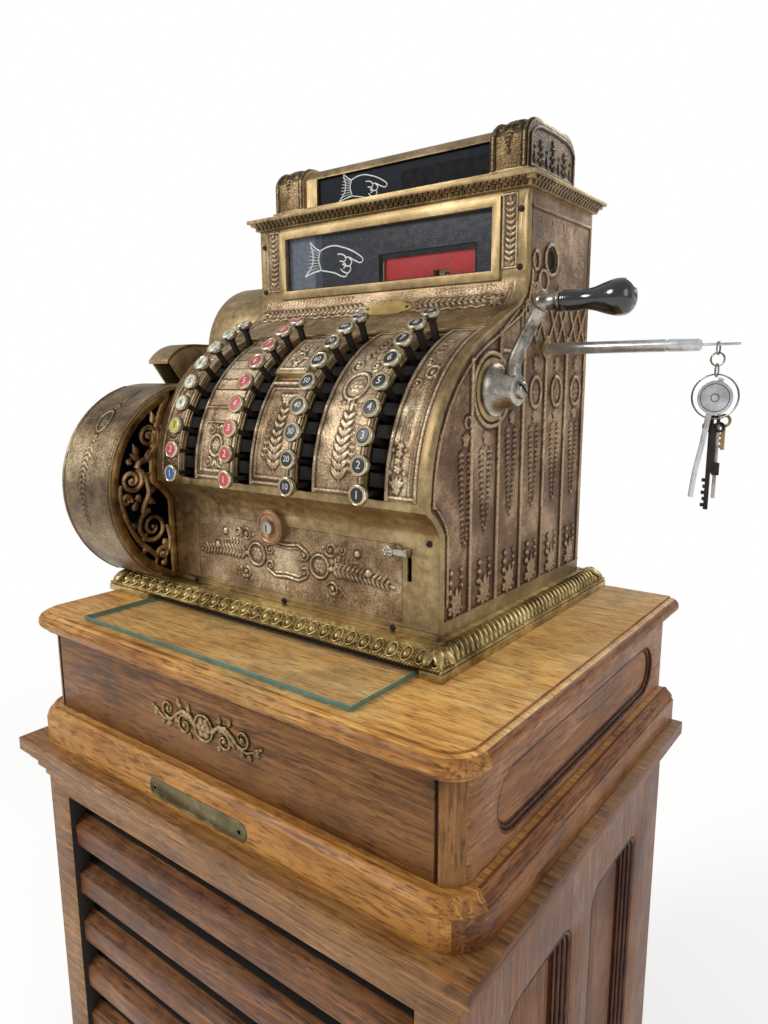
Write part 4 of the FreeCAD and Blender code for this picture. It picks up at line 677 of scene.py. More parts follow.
class Canvas:
    """A height map in millimetres over a rectangle, into which raised ornament is drawn."""

    def __init__(self, u0, u1, v0, v1, step=0.6):
        self.step = step
        self.u = np.arange(u0, u1 + step, step)
        self.v = np.arange(v0, v1 + step, step)
        self.h = np.zeros((len(self.v), len(self.u)))

    def window(self, u0, u1, v0, v1):
        """The part of the map inside a box, with its coordinates."""
        i0 = max(int((u0 - self.u[0]) / self.step), 0)
        i1 = min(int((u1 - self.u[0]) / self.step) + 2, len(self.u))
        j0 = max(int((v0 - self.v[0]) / self.step), 0)
        j1 = min(int((v1 - self.v[0]) / self.step) + 2, len(self.v))
        if i1 <= i0 or j1 <= j0:
            return None, None, None
        grid = np.meshgrid(self.u[i0:i1], self.v[j0:j1])
        return (slice(j0, j1), slice(i0, i1)), grid[0], grid[1]

    def rise(self, where, height):
        if where is not None:
            self.h[where] = np.maximum(self.h[where], height)

    def leaf(self, u, v, turn, length, width, height, curl=0, vein=True):
        """A pointed leaf from its stalk at (u, v), turned by degrees, with a midrib groove."""
        reach = length * 1.1 + width
        where, U, V = self.window(u - reach, u + reach, v - reach, v + reach)
        if where is None:
            return
        c, s = math.cos(math.radians(turn)), math.sin(math.radians(turn))
        p = ((U - u) * c + (V - v) * s) / length
        q = -(U - u) * s + (V - v) * c - curl * length * p * p
        inside = (p > 0) & (p < 1)
        pc = np.clip(p, 1e-6, 1)
        half = width / 2 * np.sin(math.pi * pc ** 0.72) ** 0.85 + 1e-6
        k = np.clip(1 - (q / half) ** 2, 0, 1)
        body = np.sqrt(k) * height * (0.55 + 0.45 * np.sin(math.pi * pc))
        if vein:
            body -= 0.38 * height * np.exp(-(q / (0.16 * width)) ** 2) * (k > 0)
        self.rise(where, np.where(inside, np.maximum(body, 0), 0))

    def bead(self, u, v, radius, height, tall=1):
        where, U, V = self.window(u - radius, u + radius, v - radius * tall, v + radius * tall)
        if where is None:
            return
        d = ((U - u) / radius) ** 2 + ((V - v) / (radius * tall)) ** 2
        self.rise(where, height * np.sqrt(np.clip(1 - d, 0, 1)))

    def ring(self, u, v, radius, width, height, tall=1, floor=None):
        """A raised ring, round or oval; floor fills its inside to a level."""
        reach = radius + width
        where, U, V = self.window(u - reach, u + reach, v - reach * tall, v + reach * tall)
        if where is None:
            return
        d = np.sqrt((U - u) ** 2 + ((V - v) / tall) ** 2)
        off = np.abs(d - radius) / (width / 2)
        self.rise(where, height * np.sqrt(np.clip(1 - off ** 2, 0, 1)))
        if floor is not None:
            self.rise(where, np.where(d < radius, floor, 0))

    def stroke(self, points, width, height, end=None):
        """A rounded line through points; its width may taper to end."""
        points = np.asarray(points, float)
        end = width if end is None else end
        reach = max(width, end)
        low, high = points.min(0) - reach, points.max(0) + reach
        where, U, V = self.window(low[0], high[0], low[1], high[1])
        if where is None:
            return
        best = np.zeros_like(U)
        count = len(points) - 1
        for i in range(count):
            a, b = points[i], points[i + 1]
            d = b - a
            size = float(d @ d) + 1e-12
            t = np.clip(((U - a[0]) * d[0] + (V - a[1]) * d[1]) / size, 0, 1)
            away = (U - a[0] - t * d[0]) ** 2 + (V - a[1] - t * d[1]) ** 2
            half = (width + (end - width) * (i + t) / count) / 2
            level = np.sqrt(np.clip(1 - away / half ** 2, 0, 1)) * height * (0.5 + 0.5 * half / (reach / 2))
            best = np.maximum(best, level)
        self.rise(where, best)

    def spiral(self, u, v, radius, turns, start, hand, width, height, eye=True):
        """A scroll that winds in to a bead at (u, v)."""
        steps = int(16 * turns) + 8
        t = np.linspace(0, 1, steps)
        angle = math.radians(start) + hand * t * turns * 2 * math.pi
        r = radius * (1 - t) ** 0.9 + radius * 0.12
        points = np.stack([u + r * np.cos(angle), v + r * np.sin(angle)], -1)
        self.stroke(points, width, height, width * 0.7)
        if eye:
            self.bead(u, v, radius * 0.26, height * 1.2)

    def flower(self, u, v, radius, petals, height, tall=1):
        """A small rosette of round petals about a bead."""
        for i in range(petals):
            a = 2 * math.pi * i / petals
            self.bead(u + 0.6 * radius * math.cos(a), v + 0.6 * radius * math.sin(a) * tall, radius * 0.4,
                      height * 0.85, tall)
        self.bead(u, v, radius * 0.32, height, tall)

    def spray(self, points, leaf, width, height, gap, spread=38, shrink=0.5, berries=False, sides=(1, -1)):
        """A stem with pairs of leaves, or leaves on one side and buds on the other."""
        points = np.asarray(points, float)
        self.stroke(points, width * 0.3, height * 0.7, width * 0.18)
        steps = np.linalg.norm(np.diff(points, axis=0), axis=1)
        run = np.concatenate([[0], np.cumsum(steps)])
        count = max(int(run[-1] / gap), 1)
        for i in range(count):
            s = (i + 0.4) * gap
            u, v = np.interp(s, run, points[:, 0]), np.interp(s, run, points[:, 1])
            ahead = min(s + 0.5, run[-1])
            du, dv = np.interp(ahead, run, points[:, 0]) - u, np.interp(ahead, run, points[:, 1]) - v
            turn = math.degrees(math.atan2(dv, du))
            size = 1 - shrink * s / run[-1]
            for side in sides:
                if berries and side < 0:
                    a = math.radians(turn - spread * 1.3)
                    self.bead(u + leaf * 0.55 * size * math.cos(a), v + leaf * 0.55 * size * math.sin(a),
                              width * 0.42 * size, height, 1.15)
                else:
                    self.leaf(u, v, turn + side * spread, leaf * size, width * size, height, side * 0.12)
        self.leaf(points[-1, 0], points[-1, 1], turn, leaf * (1 - shrink), width * (1 - shrink), height)

    def border(self, u0, u1, v0, v1, width, height):
        """A raised frame line round a rectangle."""
        self.stroke([(u0, v0), (u1, v0), (u1, v1), (u0, v1), (u0, v0)], width, height)

    def softened(self, reach=2.4):
        """The heights averaged over a few millimetres, to find the hollows beside the ornament."""
        size = max(int(round(reach / self.step)), 1)
        level = self.h
        for axis in (0, 1, 0, 1):
            total = np.zeros_like(level)
            for shift in range(-size, size + 1):
                total += np.roll(level, shift, axis=axis)
            level = total / (2 * size + 1)
        return level

    def sample(self, u, v, h=None):
        """Heights at any places, by straight interpolation."""
        x = np.clip((u - self.u[0]) / self.step, 0, len(self.u) - 1.001)
        y = np.clip((v - self.v[0]) / self.step, 0, len(self.v) - 1.001)
        i, j = x.astype(int), y.astype(int)
        a, b = x - i, y - j
        h = self.h if h is None else h
        return (h[j, i] * (1 - a) * (1 - b) + h[j, i + 1] * a * (1 - b) + h[j + 1, i] * (1 - a) * b
                + h[j + 1, i + 1] * a * b)


def relief_sheet(name, canvas, place, U, V, finish, ground=0.5, bury=0.6, full=2.4, hole=None, origin=HEAD,
                 body="stand"):
    """A closed sheet that lies on a surface, with the canvas's ornament raised on its top side.

    U and V are grids of places on the canvas; place(u, v, height) gives the points. hole(U, V) says
    where the sheet is left open.
    """
    H = canvas.sample(U, V)
    # Painted shade: how far each point lies below its softened surroundings, close beside the ornament.
    cavity_shade = np.clip((canvas.sample(U, V, canvas.softened()) - H) / (0.34 * full), 0, 1)
    rows, cols = U.shape
    top = np.stack(place(U, V, ground + H), -1)
    number = np.arange(rows * cols).reshape(rows, cols)
    if hole is None:
        low = np.stack(place(U[:, [0, -1]], V[:, [0, -1]], -bury + 0 * U[:, [0, -1]]), -1)
        points = np.concatenate([top.reshape(-1, 3), low.reshape(-1, 3)])
        base = rows * cols
        left, right = base + 2 * np.arange(rows), base + 2 * np.arange(rows) + 1
        quads = np.stack([number[:-1, :-1], number[:-1, 1:], number[1:, 1:], number[1:, :-1]],
                         -1).reshape(-1, 4)
        faces = quads.tolist()
        for j in range(rows - 1):
            faces.append([number[j, 0], number[j + 1, 0], left[j + 1], left[j]])
            faces.append([number[j, -1], right[j], right[j + 1], number[j + 1, -1]])
            faces.append([left[j], left[j + 1], right[j + 1], right[j]])
        faces.append([left[0], right[0]] + number[0, ::-1].tolist())
        faces.append([right[-1], left[-1]] + number[-1, :].tolist())
        # lift: raised height, lightened as wear and painted highlight; depth: painted shade in the hollows
        # and on the closed sides.
        lift = np.concatenate([(H / full).reshape(-1), np.zeros(2 * rows)])
        depth = np.concatenate([cavity_shade.reshape(-1), np.ones(2 * rows)])
    else:
        low = np.stack(place(U, V, -bury + 0 * U), -1)
        points = np.concatenate([top.reshape(-1, 3), low.reshape(-1, 3)])
        centre_u = (U[:-1, :-1] + U[1:, 1:]) / 2
        centre_v = (V[:-1, :-1] + V[1:, 1:]) / 2
        solid = ~hole(centre_u, centre_v)
        a, b, c, d = number[:-1, :-1], number[:-1, 1:], number[1:, 1:], number[1:, :-1]
        quads = np.stack([a, b, c, d], -1)[solid]
        faces = quads.tolist() + (quads[:, ::-1] + rows * cols).tolist()
        padded = np.pad(solid, 1)
        for (dj, di), (p, q) in (((-1, 0), (a, b)), ((1, 0), (c, d)), ((0, -1), (d, a)), ((0, 1), (b, c))):
            beside = padded[1 + dj:1 + dj + solid.shape[0], 1 + di:1 + di + solid.shape[1]]
            edge = solid & ~beside
            for one, two in zip(p[edge], q[edge]):
                faces.append([two, one, one + rows * cols, two + rows * cols])
        used = np.unique(np.array([i for face in faces for i in face]))
        renew = -np.ones(len(points), int)
        renew[used] = np.arange(len(used))
        faces = [[int(renew[i]) for i in face] for face in faces]
        points = points[used]
        # lift: raised height, lightened as wear and painted highlight; depth: painted shade in the hollows
        # and on the hidden sides.
        lift = np.concatenate([(H / full).reshape(-1), np.zeros(rows * cols)])[used]
        depth = np.concatenate([cavity_shade.reshape(-1), np.ones(rows * cols)])[used]
    shape = Shape(origin)
    shape.add(points, faces)
    piece = shape.object(name, [finish], 62, {"lift": lift, "depth": depth}, weld=False)
    return finish_piece(piece, body)


def grid(u0, u1, v0, v1, step):
    """Evenly spaced places over a rectangle."""
    return np.meshgrid(np.linspace(u0, u1, max(int(round((u1 - u0) / step)), 2) + 1),
                       np.linspace(v0, v1, max(int(round((v1 - v0) / step)), 2) + 1))


def on_front(y):
    """Places on a wall that faces the front: u is x, v is z."""
    return lambda u, v, h: (u, y - h + 0 * u, v)


def on_back(y):
    return lambda u, v, h: (u, y + h + 0 * u, v)


def on_right(x):
    """Places on a wall that faces right: u is y, v is z."""
    return lambda u, v, h: (x + h + 0 * u, u, v)


def on_left(x):
    return lambda u, v, h: (x - h + 0 * u, u, v)


def along(path):
    """Places on a surface that runs along x over a path of (y, z); v is the way along the path."""
    path = np.asarray(path, float)
    run = np.concatenate([[0], np.cumsum(np.linalg.norm(np.diff(path, axis=0), axis=1))])
    slope = np.gradient(path, run, axis=0)
    slope /= np.linalg.norm(slope, axis=1)[:, None]

    def place(u, v, h):
        y, z = np.interp(v, run, path[:, 0]), np.interp(v, run, path[:, 1])
        ty, tz = np.interp(v, run, slope[:, 0]), np.interp(v, run, slope[:, 1])
        return u + 0 * v, y - h * tz, z + h * ty

    return place, run[-1]


def arc(centre, radius, start, end, count=60):
    """Points (y, z) on a circle; angles in degrees from the front, upwards."""
    turn = np.radians(np.linspace(start, end, count))
    return np.stack([centre[0] - radius * np.cos(turn), centre[1] + radius * np.sin(turn)], -1)


def through(a, b, c, count=24):
    """Points on the circle arc from a through b to c."""
    a, b, c = (complex(*p) for p in (a, b, c))
    w = (c - a) / (b - a)
    centre = (b - a) * (w - abs(w) ** 2) / (2j * w.imag) + a
    radius = abs(a - centre)
    t0, t1, t2 = (math.atan2((p - centre).imag, (p - centre).real) for p in (a, b, c))
    turn = t2 - t0
    middle = t1 - t0
    while turn <= -math.pi * 2:
        turn += math.pi * 2
    if (middle % (2 * math.pi)) > (turn % (2 * math.pi)):
        turn = (turn % (2 * math.pi)) - 2 * math.pi
    else:
        turn = turn % (2 * math.pi)
    angles = t0 + np.linspace(0, 1, count) * turn
    return np.stack([centre.real + radius * np.cos(angles), centre.imag + radius * np.sin(angles)], -1)


def casing_front_line():
    """The side outline of the casing's front, from its foot to the indicator housing, as (y, z)."""
    foot = np.array([(CASING_FRONT, 26), (CASING_FRONT, 60), (CASING_FRONT, 100), (CASING_FRONT, 137)])
    nose = arc((BANK_Y, BANK_Z), 190, -2.4, 64, 60)
    cove = through((CASING_FRONT, 137), (CASING_FRONT - 9, 150), tuple(nose[0]), 14)
    bend = through((201, 381), (220, 402), (HOUSING_FRONT, HOUSING_BOTTOM), 16)
    top = np.array([(HOUSING_FRONT, HOUSING_TOP)])
    return np.concatenate([foot, cove[1:], nose[1:], bend, top])


# oak cabinet


# heights and places of the oak cabinet in millimetres
BOARD_LOW = 842
CROWN_LOW = 803
PANEL_LOW = 129.5
PANEL_HIGH = 735.5
CASE_LOW = 861
SLAB_LOW = 1014


def cabinet_faces(centre, normal):
    """Finish of the carcass: 0 across, 1 deep, 2 upright, 3 panel, 4 inside faces painted dark as shade, 5
    side upright.
    """
    x, y, z = centre
    # 4 is painted shade: the board's underside here, and the faces inside the carcass below.
    if z > BOARD_LOW and y > -280 and abs(x) < 335 and normal.z < -0.5:
        return 4
    if z > BOARD_LOW:
        return 1 if abs(normal.x) > 0.5 else 0
    if z > CROWN_LOW and abs(x) > 330.5:
        return 1
    if z > CROWN_LOW and y < -278.5:
        return 0
    if abs(x) < 315 and normal.x * x < -100:
        return 4
    if abs(x) < 315 and (y > -255 and abs(normal.z) > 0.5 or (y > 200 and normal.y < -0.5)):
        return 4
    if abs(normal.x) > 0.5 and abs(x) > 300:
        if z > PANEL_HIGH or z < PANEL_LOW:
            return 1
        if abs(x) < 329.5:
            return 3
        return 5
    if abs(x) > 300 and abs(y) < 200 and 129 < z < 736:
        return 3
    if y < -250:
        return 2 if abs(x) > 284 and z < 800 else 0
    if y > 262:
        return 5
    return 1


def slat_faces(centre, normal):
    """Worn front and bevel of a slat; its top behind the bevel, its underside and its back are painted dark
    as shade.
    """
    return 0 if centre.y < -257 and normal.z > -0.5 else 1


def narrowed(x, y, z):
    """The drawer's front board cut back a little, so that the gap round it shows."""
    if y < -246.9:
        return max(min(x, 295.2), -295.2), y, min(z, 1011.4)
    return x, y, z


def build_cabinet():
    """Carcass, slats, drawer case, drawer and slab, with their mouldings."""
    dressed("cabinet_case", "cabinet_carcass", ["oak_x", "oak_y", "oak_z", "oak_panel", "shade",
                                                "oak_side"], "stand", 1.2, cabinet_faces)
    dressed("cabinet_rails", "cabinet_slats", ["oak_red", "shade"], "stand", 1.4, slat_faces)
    dressed("drawer_case", "drawer_housing", ["oak_ogee_x", "oak_ogee_y", "oak_z"], "stand", 0.8,
            lambda c, n: 2 if c[2] > 908.5 and c[1] < -250 else (1 if abs(n.x) > 0.6 else 0))
    dressed("cash_drawer", "drawer_box", ["oak_front", "oak_y"], "cash_drawer", 1,
            lambda c, n: 0 if c[1] < -246 else 1, change=narrowed)
    counter_slab()
    ogee_moulding()
    panel_mouldings()
    board_reeds()
    drawer_ornament()
    side_recess_edges()
    reveals()


def counter_slab():
    """The slab: flat top, a fine step, a rounded nose and a cove below it, with round front corners."""
    shape = Shape(FLOOR)
    profile = [(-38, 0), (-10, 0), (-9.4, 2.2), (-7, 4.4), (-3.2, 6.2), (-0.9, 9), (0, 13), (-0.7, 17),
               (-2.8, 20.4), (-6.2, 22.8), (-10, 23.7), (-12.4, 23.8), (-12.6, 25.4), (-13.4, 26),
               (-38, 26)]
    base, ways = corner_path(339, -285, 284, 40, 0)
    shape.rings([[(p[0] + r * w[0], p[1] + r * w[1], SLAB_LOW + z) for r, z in profile] for p,
                 w in zip(base, ways)])
    shape.block((-301, -247, 1014), (301, 284, 1040))
    piece = shape.object("counter_slab", ["oak_top", "oak_ogee_x", "oak_ogee_y"], 32)
    for face in piece.data.polygons:
        if face.normal.z < 0.95:
            face.material_index = 2 if abs(face.center.x) > 0.322 and face.center.y > -0.24 else 1
    finish_piece(piece, "stand", ("counter_top",))


def reveals():
    """Dark strips round the drawer's opening, painted as the shade in the gap."""
    shape = Shape(FLOOR)
    for side in (-1, 1):
        low, high = sorted((side * 298.3, side * 299))
        shape.block((low, -264.6, 909), (high, -150, 1013.9), 0, 0.05)
    shape.block((-298, -264.6, 1013.2), (298, -180, 1013.9), 0, 0.05)
    piece = shape.object("drawer_reveals", ["shade"], 40)
    finish_piece(piece, "stand")


def corner_path(x, front, back, radius, out, count=9):
    """Left, front and right sides of a plan with round front corners, moved outwards; with directions."""
    points, ways = [(-x - out, back)], [(-1, 0)]
    for cx, start in ((-x + radius, 180), (x - radius, 270)):
        for i in range(count):
            turn = math.radians(start + 90 * i / (count - 1))
            way = (math.cos(turn), math.sin(turn))
            points.append((cx + (radius + out) * way[0], front + radius + (radius + out) * way[1]))
            ways.append(way)
    points.append((x + out, back))
    ways.append((1, 0))
    return np.array(points), np.array(ways)


def ogee_moulding():
    """The rounded base moulding of the drawer case, run round its front and sides."""
    shape = Shape(FLOOR)
    profile = [(8, 0.3), (20.6, 0.3), (21.3, 1.4), (21.4, 4), (21.4, 31), (21, 33), (19.6, 34),
               (19.4, 35.2), (20, 36.2), (19.4, 38.4), (17.6, 40.8), (15, 43), (12.6, 45.4), (11.6, 47),
               (11.5, 47.6), (8, 47.6)]
    rings = []
    base, ways = corner_path(320, -265, 277.5, 26, 0)
    for point, way in zip(base, ways):
        rings.append([(point[0] + r * way[0], point[1] + r * way[1], CASE_LOW + z) for r, z in profile])
    shape.rings(rings)
    piece = shape.object("ogee_moulding", ["oak_ogee_x", "oak_ogee_y"], 50)
    for face in piece.data.polygons:
        face.material_index = 1 if abs(face.center.x) > 0.322 and face.center.y > -0.245 else 0
    finish_piece(piece, "stand")


def arched_path(y0, y1, z0, z1, radius, inset):
    """A closed outline with round top corners, moved inwards."""
    y0, y1, z0, z1 = y0 + inset, y1 - inset, z0 + inset, z1 - inset
    radius = max(radius - inset, 3)
    points = [(y0, z0)]
    for cy, start in ((y0 + radius, 180), (y1 - radius, 90)):
        for i in range(7):
            turn = math.radians(start - 15 * i)
            points.append((cy + radius * math.cos(turn), z1 - radius + radius * math.sin(turn)))
    points.append((y1, z0))
    return np.array(points)


def panel_mouldings():
    """Three reeds that step down into each sunk side panel."""
    shape = Shape(FLOOR)
    for side in (-1, 1):
        for index in range(2):
            y0 = -184 + index * 213
            for inset, depth, radius in ((2.6, 3, 2.9), (7.2, 6.6, 2.9), (11.6, 10.4, 2.9),
                                         (16.5, 13.6, 2.2)):
                path = arched_path(y0, y0 + 155, 130, 735, 26, inset)
                points = [(side * (330 - depth), y, z) for y, z in path]
                shape.tube(points, radius, 8, closed=True, flat=(1, 0, 0))
    piece = shape.object("panel_mouldings", ["oak_dark"], 60)
    finish_piece(piece, "stand")


def board_reeds():
    """Fine reeds round the edge of the cabinet's board."""
    shape = Shape(FLOOR)
    for z in (845.4, 848.6, 851.8, 855, 858.2):
        path = [(-353.8, 283, z), (-353.8, -301.8, z), (353.8, -301.8, z), (353.8, 283, z)]
        shape.tube(path, 1.15, 8, flat=(0, 0, 1))
    piece = shape.object("board_reeds", ["oak_x"], 60)
    finish_piece(piece, "stand")


def side_recess_edges():
    """A bead round each long recess in the drawer case's sides."""
    shape = Shape(FLOOR)
    low, high = 918, 988
    radius = (high - low) / 2
    for side in (-1, 1):
        for inset, depth, r in ((0.5, 0.6, 1.8), (4.5, 3.6, 1.8), (8, 5.6, 1.6)):
            points = []
            for cy, start in ((-200 + radius, 90), (238 - radius, 270)):
                for i in range(13):
                    turn = math.radians(start + 15 * i)
                    reach = radius - inset
                    points.append((side * (320 - depth), cy + reach * math.cos(turn),
                                   low + radius + reach * math.sin(turn)))
            shape.tube(points, r, 8, closed=True, flat=(1, 0, 0))
    piece = shape.object("recess_beads", ["oak_dark"], 60)
    finish_piece(piece, "stand")


def drawer_ornament():
    """Carved scroll ornament applied to the middle of the drawer front."""
    canvas = Canvas(-100, 100, -30, 30, 0.5)
    canvas.flower(0, 0, 13, 6, 4)
    canvas.ring(0, 0, 15, 3, 3.2, floor=1.2)
    for hand in (-1, 1):
        canvas.stroke([(hand * 15, 0), (hand * 24, 8), (hand * 36, 10), (hand * 46, 4), (hand * 56, -5),
                       (hand * 68, -8), (hand * 80, -3)], 7, 3.6, 3)
        canvas.spiral(hand * 33, -6, 11, 1.4, 90 + hand * 30, -hand, 3.6, 3.2)
        canvas.spiral(hand * 62, 6, 10, 1.4, -90 - hand * 30, hand, 3.4, 3)
        for u, v, turn, size in ((24, 10, 65, 13), (38, 12, 50, 15), (44, 2, -70, 14), (56, -8, -40, 13),
                                 (70, -8, -65, 10), (78, -3, 15, 14), (80, -3, -30, 10),
                                 (28, -14, -150, 9)):
            canvas.leaf(hand * u, v, turn if hand > 0 else 180 - turn, size, 7, 3.2, hand * 0.15)
        canvas.bead(hand * 90, 3, 2.6, 3)
    U, V = grid(-99, 99, -29, 29, 0.9)
    relief_sheet("drawer_ornament", canvas, lambda u, v, h: (u - 5, -265 - h, v + 964), U, V, "brass_brown",
                 0.2, 0.4, 3.6, lambda u, v: canvas.sample(u, v) < 0.5, FLOOR, "cash_drawer")


# cast head


def build_head():
    """Casing, base, hood, key cover and printer cover with softened edges."""
    dressed("base_moulding", "base_casting", ["base"], "stand", 0.5)
    dressed("body_casing", "head_casing", ["brass", "side", "grille"], "stand", 0.5,
            segments=2, choose=casing_faces)
    dressed("key_cover", "key_cover_plate", ["brass"], "stand", 0.5)
    # The key guide plate, seen through the key slots, is painted near-black as shade.
    dressed("key_guides", "key_guide_plate", ["dark"], "stand", 0.4)
    dressed("top_hood", "sign_hood", ["brass"], "stand", 0.6, join=False)
    dressed("printer_cover", "printer_shell", ["brass", "dark"], "stand", 0.5,
            choose=drum_faces)
    # The lid's underside is painted dark as its shade.
    dressed("chute_lid", "slip_chute_lid", ["brass", "dark"], "chute_lid", 0.3,
            choose=lambda c, n: 1 if n.z < -0.2 else 0)
    dressed("main_shaft", "drive_shaft", ["steel"], "main_shaft", 0, worn=False)
    # The disc's inner side, facing into the cover, is painted dark as shade.
    dressed("scroll_grille", "left_disc", ["grille", "dark"], "stand", 0.4,
            choose=lambda c, n: 1 if n.x > 0.5 else 0, keep=lambda low, high: high[0] < -0.3)


def drum_faces(centre, normal):
    """1 for the inside of the round cover, painted dark as its shade, 0 elsewhere."""
    y, z = centre.y + 75.5, centre.z - 1192.5
    return 1 if normal.y * y + normal.z * z < -40 and math.hypot(y, z) < 140 else 0


def casing_faces(centre, normal):
    """0 for the casing's smooth parts, 1 for its upper ends, 2 for the faces behind the cornice bars,
    painted darker as the shade between them.
    """
    if 1553.6 < centre.z < 1564.4 and abs(normal.z) < 0.8:
        return 2
    return 1 if abs(normal.x) > 0.9 and centre.z > 1500 else 0


def side_outline(z):
    """How far forward the casing's side reaches at a height (y), from its outline."""
    line = casing_front_line()
    return np.interp(z, line[:, 1], line[:, 0])


def side_canvas():
    """Ornament of the casing's sides: six columns of sprays, medallions and berries."""
    c = Canvas(10, 416, 20, 516, 0.7)
    ribs = (103, 163, 222, 281, 342, 401)
    for y in ribs:
        low, high = 45, 350
        front = side_outline(np.linspace(low, high, 60))
        rows = np.linspace(low, high, 60)[front < y - 12]
        if len(rows) > 1:
            c.stroke([(y, rows[0]), (y, rows[-1])], 4.2, 2.6)
    c.stroke([(46, 42), (410, 42)], 4, 1.6)
    line = casing_front_line()
    inner = []
    slope = np.gradient(line, axis=0)
    for (y, z), (dy, dz) in zip(line, slope):
        size = math.hypot(dy, dz)
        if 28 < z < 512:
            inner.append((y + 13 * dz / size, z - 13 * dy / size))
    c.stroke(inner, 3.4, 1.8)
    centres = (72, 133, 192.5, 251.5, 311.5, 371.5)
    for i, y in enumerate(centres):
        column_foot(c, y, 44, 1 if i else 0.85)
        if i == 0:
            c.ring(y + 24, 254, 6, 2.6, 2)
            crown, low = 236, 150
            side_spray(c, y + 20, crown, low - 20)
        elif i == 1:
            side_spray(c, y + 2, 236, 140)
        elif i == 2:
            side_spray(c, y + 2, 256, 150)
        else:
            c.ring(y + 3, 283, 14.5, 3.6, 2.2, 1.25, 0.35)
            c.flower(y + 3, 283, 9, 6, 1.6, 1.25)
            side_spray(c, y + 2, 254, 152)
            upper_spray(c, y + 2, 306)
    for y in (251.5, 311.5, 371.5):
        for hand in (-1, 1):
            c.stroke([(y + hand * 27, 344), (y, 386)], 3.6, 2)
            c.stroke([(y, 344), (y + hand * 29, 392)], 3.6, 2)
        c.flower(y, 356, 5, 5, 1.4)
        c.leaf(y, 392, 90, 26, 8, 1.7)
        c.leaf(y, 392, 58, 18, 6, 1.5)
        c.leaf(y, 392, 122, 18, 6, 1.5)
    c.stroke([(168, 352), (214, 384), (214, 330), (168, 330), (168, 352)], 3.2, 1.8)
    c.stroke([(222, 330), (222, 398), (240, 410)], 3.2, 1.8)
    c.flower(228, 372, 5, 5, 1.6)
    c.flower(229, 350, 4, 5, 1.5)
    c.ring(CRANK_Y, CRANK_Z, 40, 5, 2.4)
    c.ring(266, 415, 12, 3.6, 2.4, 1, 0.6)
    c.ring(246, 436, 7.5, 3, 1.8, 1.4)
    c.ring(248, 398, 8, 2.8, 1.6, 1.5)
    c.ring(287.5, 440.5, 17.6, 4.4, 2.2)
    c.stroke([(233, 495), (404, 495)], 2.4, 1.2)
    c.stroke([(400, 46), (404, 495)], 2.4, 1.2)
    for i in range(14):
        c.bead(300 + 8 * math.sin(i * 2.1) + i * 6.5, 404 + 6 * math.cos(i * 1.7), 1.6, 0.9)
    c.h *= 1.35
    return c


def column_foot(c, y, z, size):
    """Leaf spray, berries and a flower cluster at a column's foot."""
    for turn, length in ((90, 30), (66, 26), (114, 26), (44, 18), (136, 18)):
        c.leaf(y + 4, z + 12, turn, length * size, 7, 2.3, 0.1 if turn > 90 else -0.1)
    for i, r in enumerate((3.9, 3.5, 3.1)):
        c.bead(y - 9 + i * 1, z + 30 + i * 10.5, r, 2.8)
        c.bead(y + 15 - i * 0.8, z + 34 + i * 9, r * 0.75, 2.2)
    for i in range(7):
        a = 2 * math.pi * i / 7
        c.bead(y + 2 + 12 * math.cos(a), z + 9 + 6 * math.sin(a), 2.7, 2.4)
    c.flower(y + 2, z + 10, 8, 5, 2.5)
    for hand in (-1, 1):
        c.leaf(y + 2, z + 6, 90 - hand * 70, 17, 6, 2, hand * 0.2)


def side_spray(c, y, top, low):
    """A crown of leaves with two rows that hang from it to a small berry cluster."""
    for turn in (40, 65, 90, 115, 140):
        c.leaf(y, top - 3, turn, 12, 5, 1.9)
    c.flower(y, top - 4, 5.5, 5, 2.2)
    for hand in (-1, 1):
        path = [(y + hand * 9, top - 10), (y + hand * 8, (top + low) / 2), (y + hand * 4, low)]
        c.spray(path, 8.5, 4.6, 1.9, 6.4, 34, 0.45, hand > 0, (1, -1))
    c.bead(y, low - 6, 3, 1.8)
    c.bead(y - 4.5, low - 2, 2.2, 1.5)
    c.bead(y + 4.5, low - 2, 2.2, 1.5)
    c.bead(y, low - 12, 1.6, 1.2)


def upper_spray(c, y, low):
    """A short leaf cluster that stands on a medallion."""
    c.flower(y, low + 10, 6.5, 6, 1.9)
    for turn in (60, 90, 120, -60, -90, -120):
        c.leaf(y, low + 10, turn, 15 if turn > 0 else 9, 5, 1.8)
    c.bead(y, low + 30, 2.2, 1.4)


def side_sheets():
    """The relief of both sides; the vent is left open."""
    canvas = side_canvas()
    rows = np.linspace(43.5, 418, 250)
    columns = np.linspace(0, 1, 236)
    share, V = np.meshgrid(columns, rows)
    front = side_outline(V) + 10.5
    U = front + share * (410 - front)
    relief_sheet("right_side_relief", canvas, on_right(CASING_RIGHT), U, V, "side")
    U, V = grid(234.5, 410, 418, 511, 1.5)

    def open_place(u, v):
        vent = (u - 287.5) ** 2 + (v - 440.5) ** 2 < 15.4 ** 2
        for y in (254.5, 286, 319, 352):
            vent |= ((u - y) ** 2 + ((v - 483) / 1.4) ** 2) < 2.4 ** 2
        return vent

    for name, place in (("right_upper_relief", on_right(CASING_RIGHT)),
                        ("left_upper_relief", on_left(CASING_LEFT))):
        relief_sheet(name, canvas, place, U, V, "side", hole=open_place)
    rows = np.linspace(296, 417.5, 62)
    share, V = np.meshgrid(np.linspace(0, 1, 90), rows)
    front = side_outline(V) + 10.5
    U = front + share * (410 - front)
    relief_sheet("left_side_relief", canvas, on_left(CASING_LEFT), U, V, "side", 0.3)


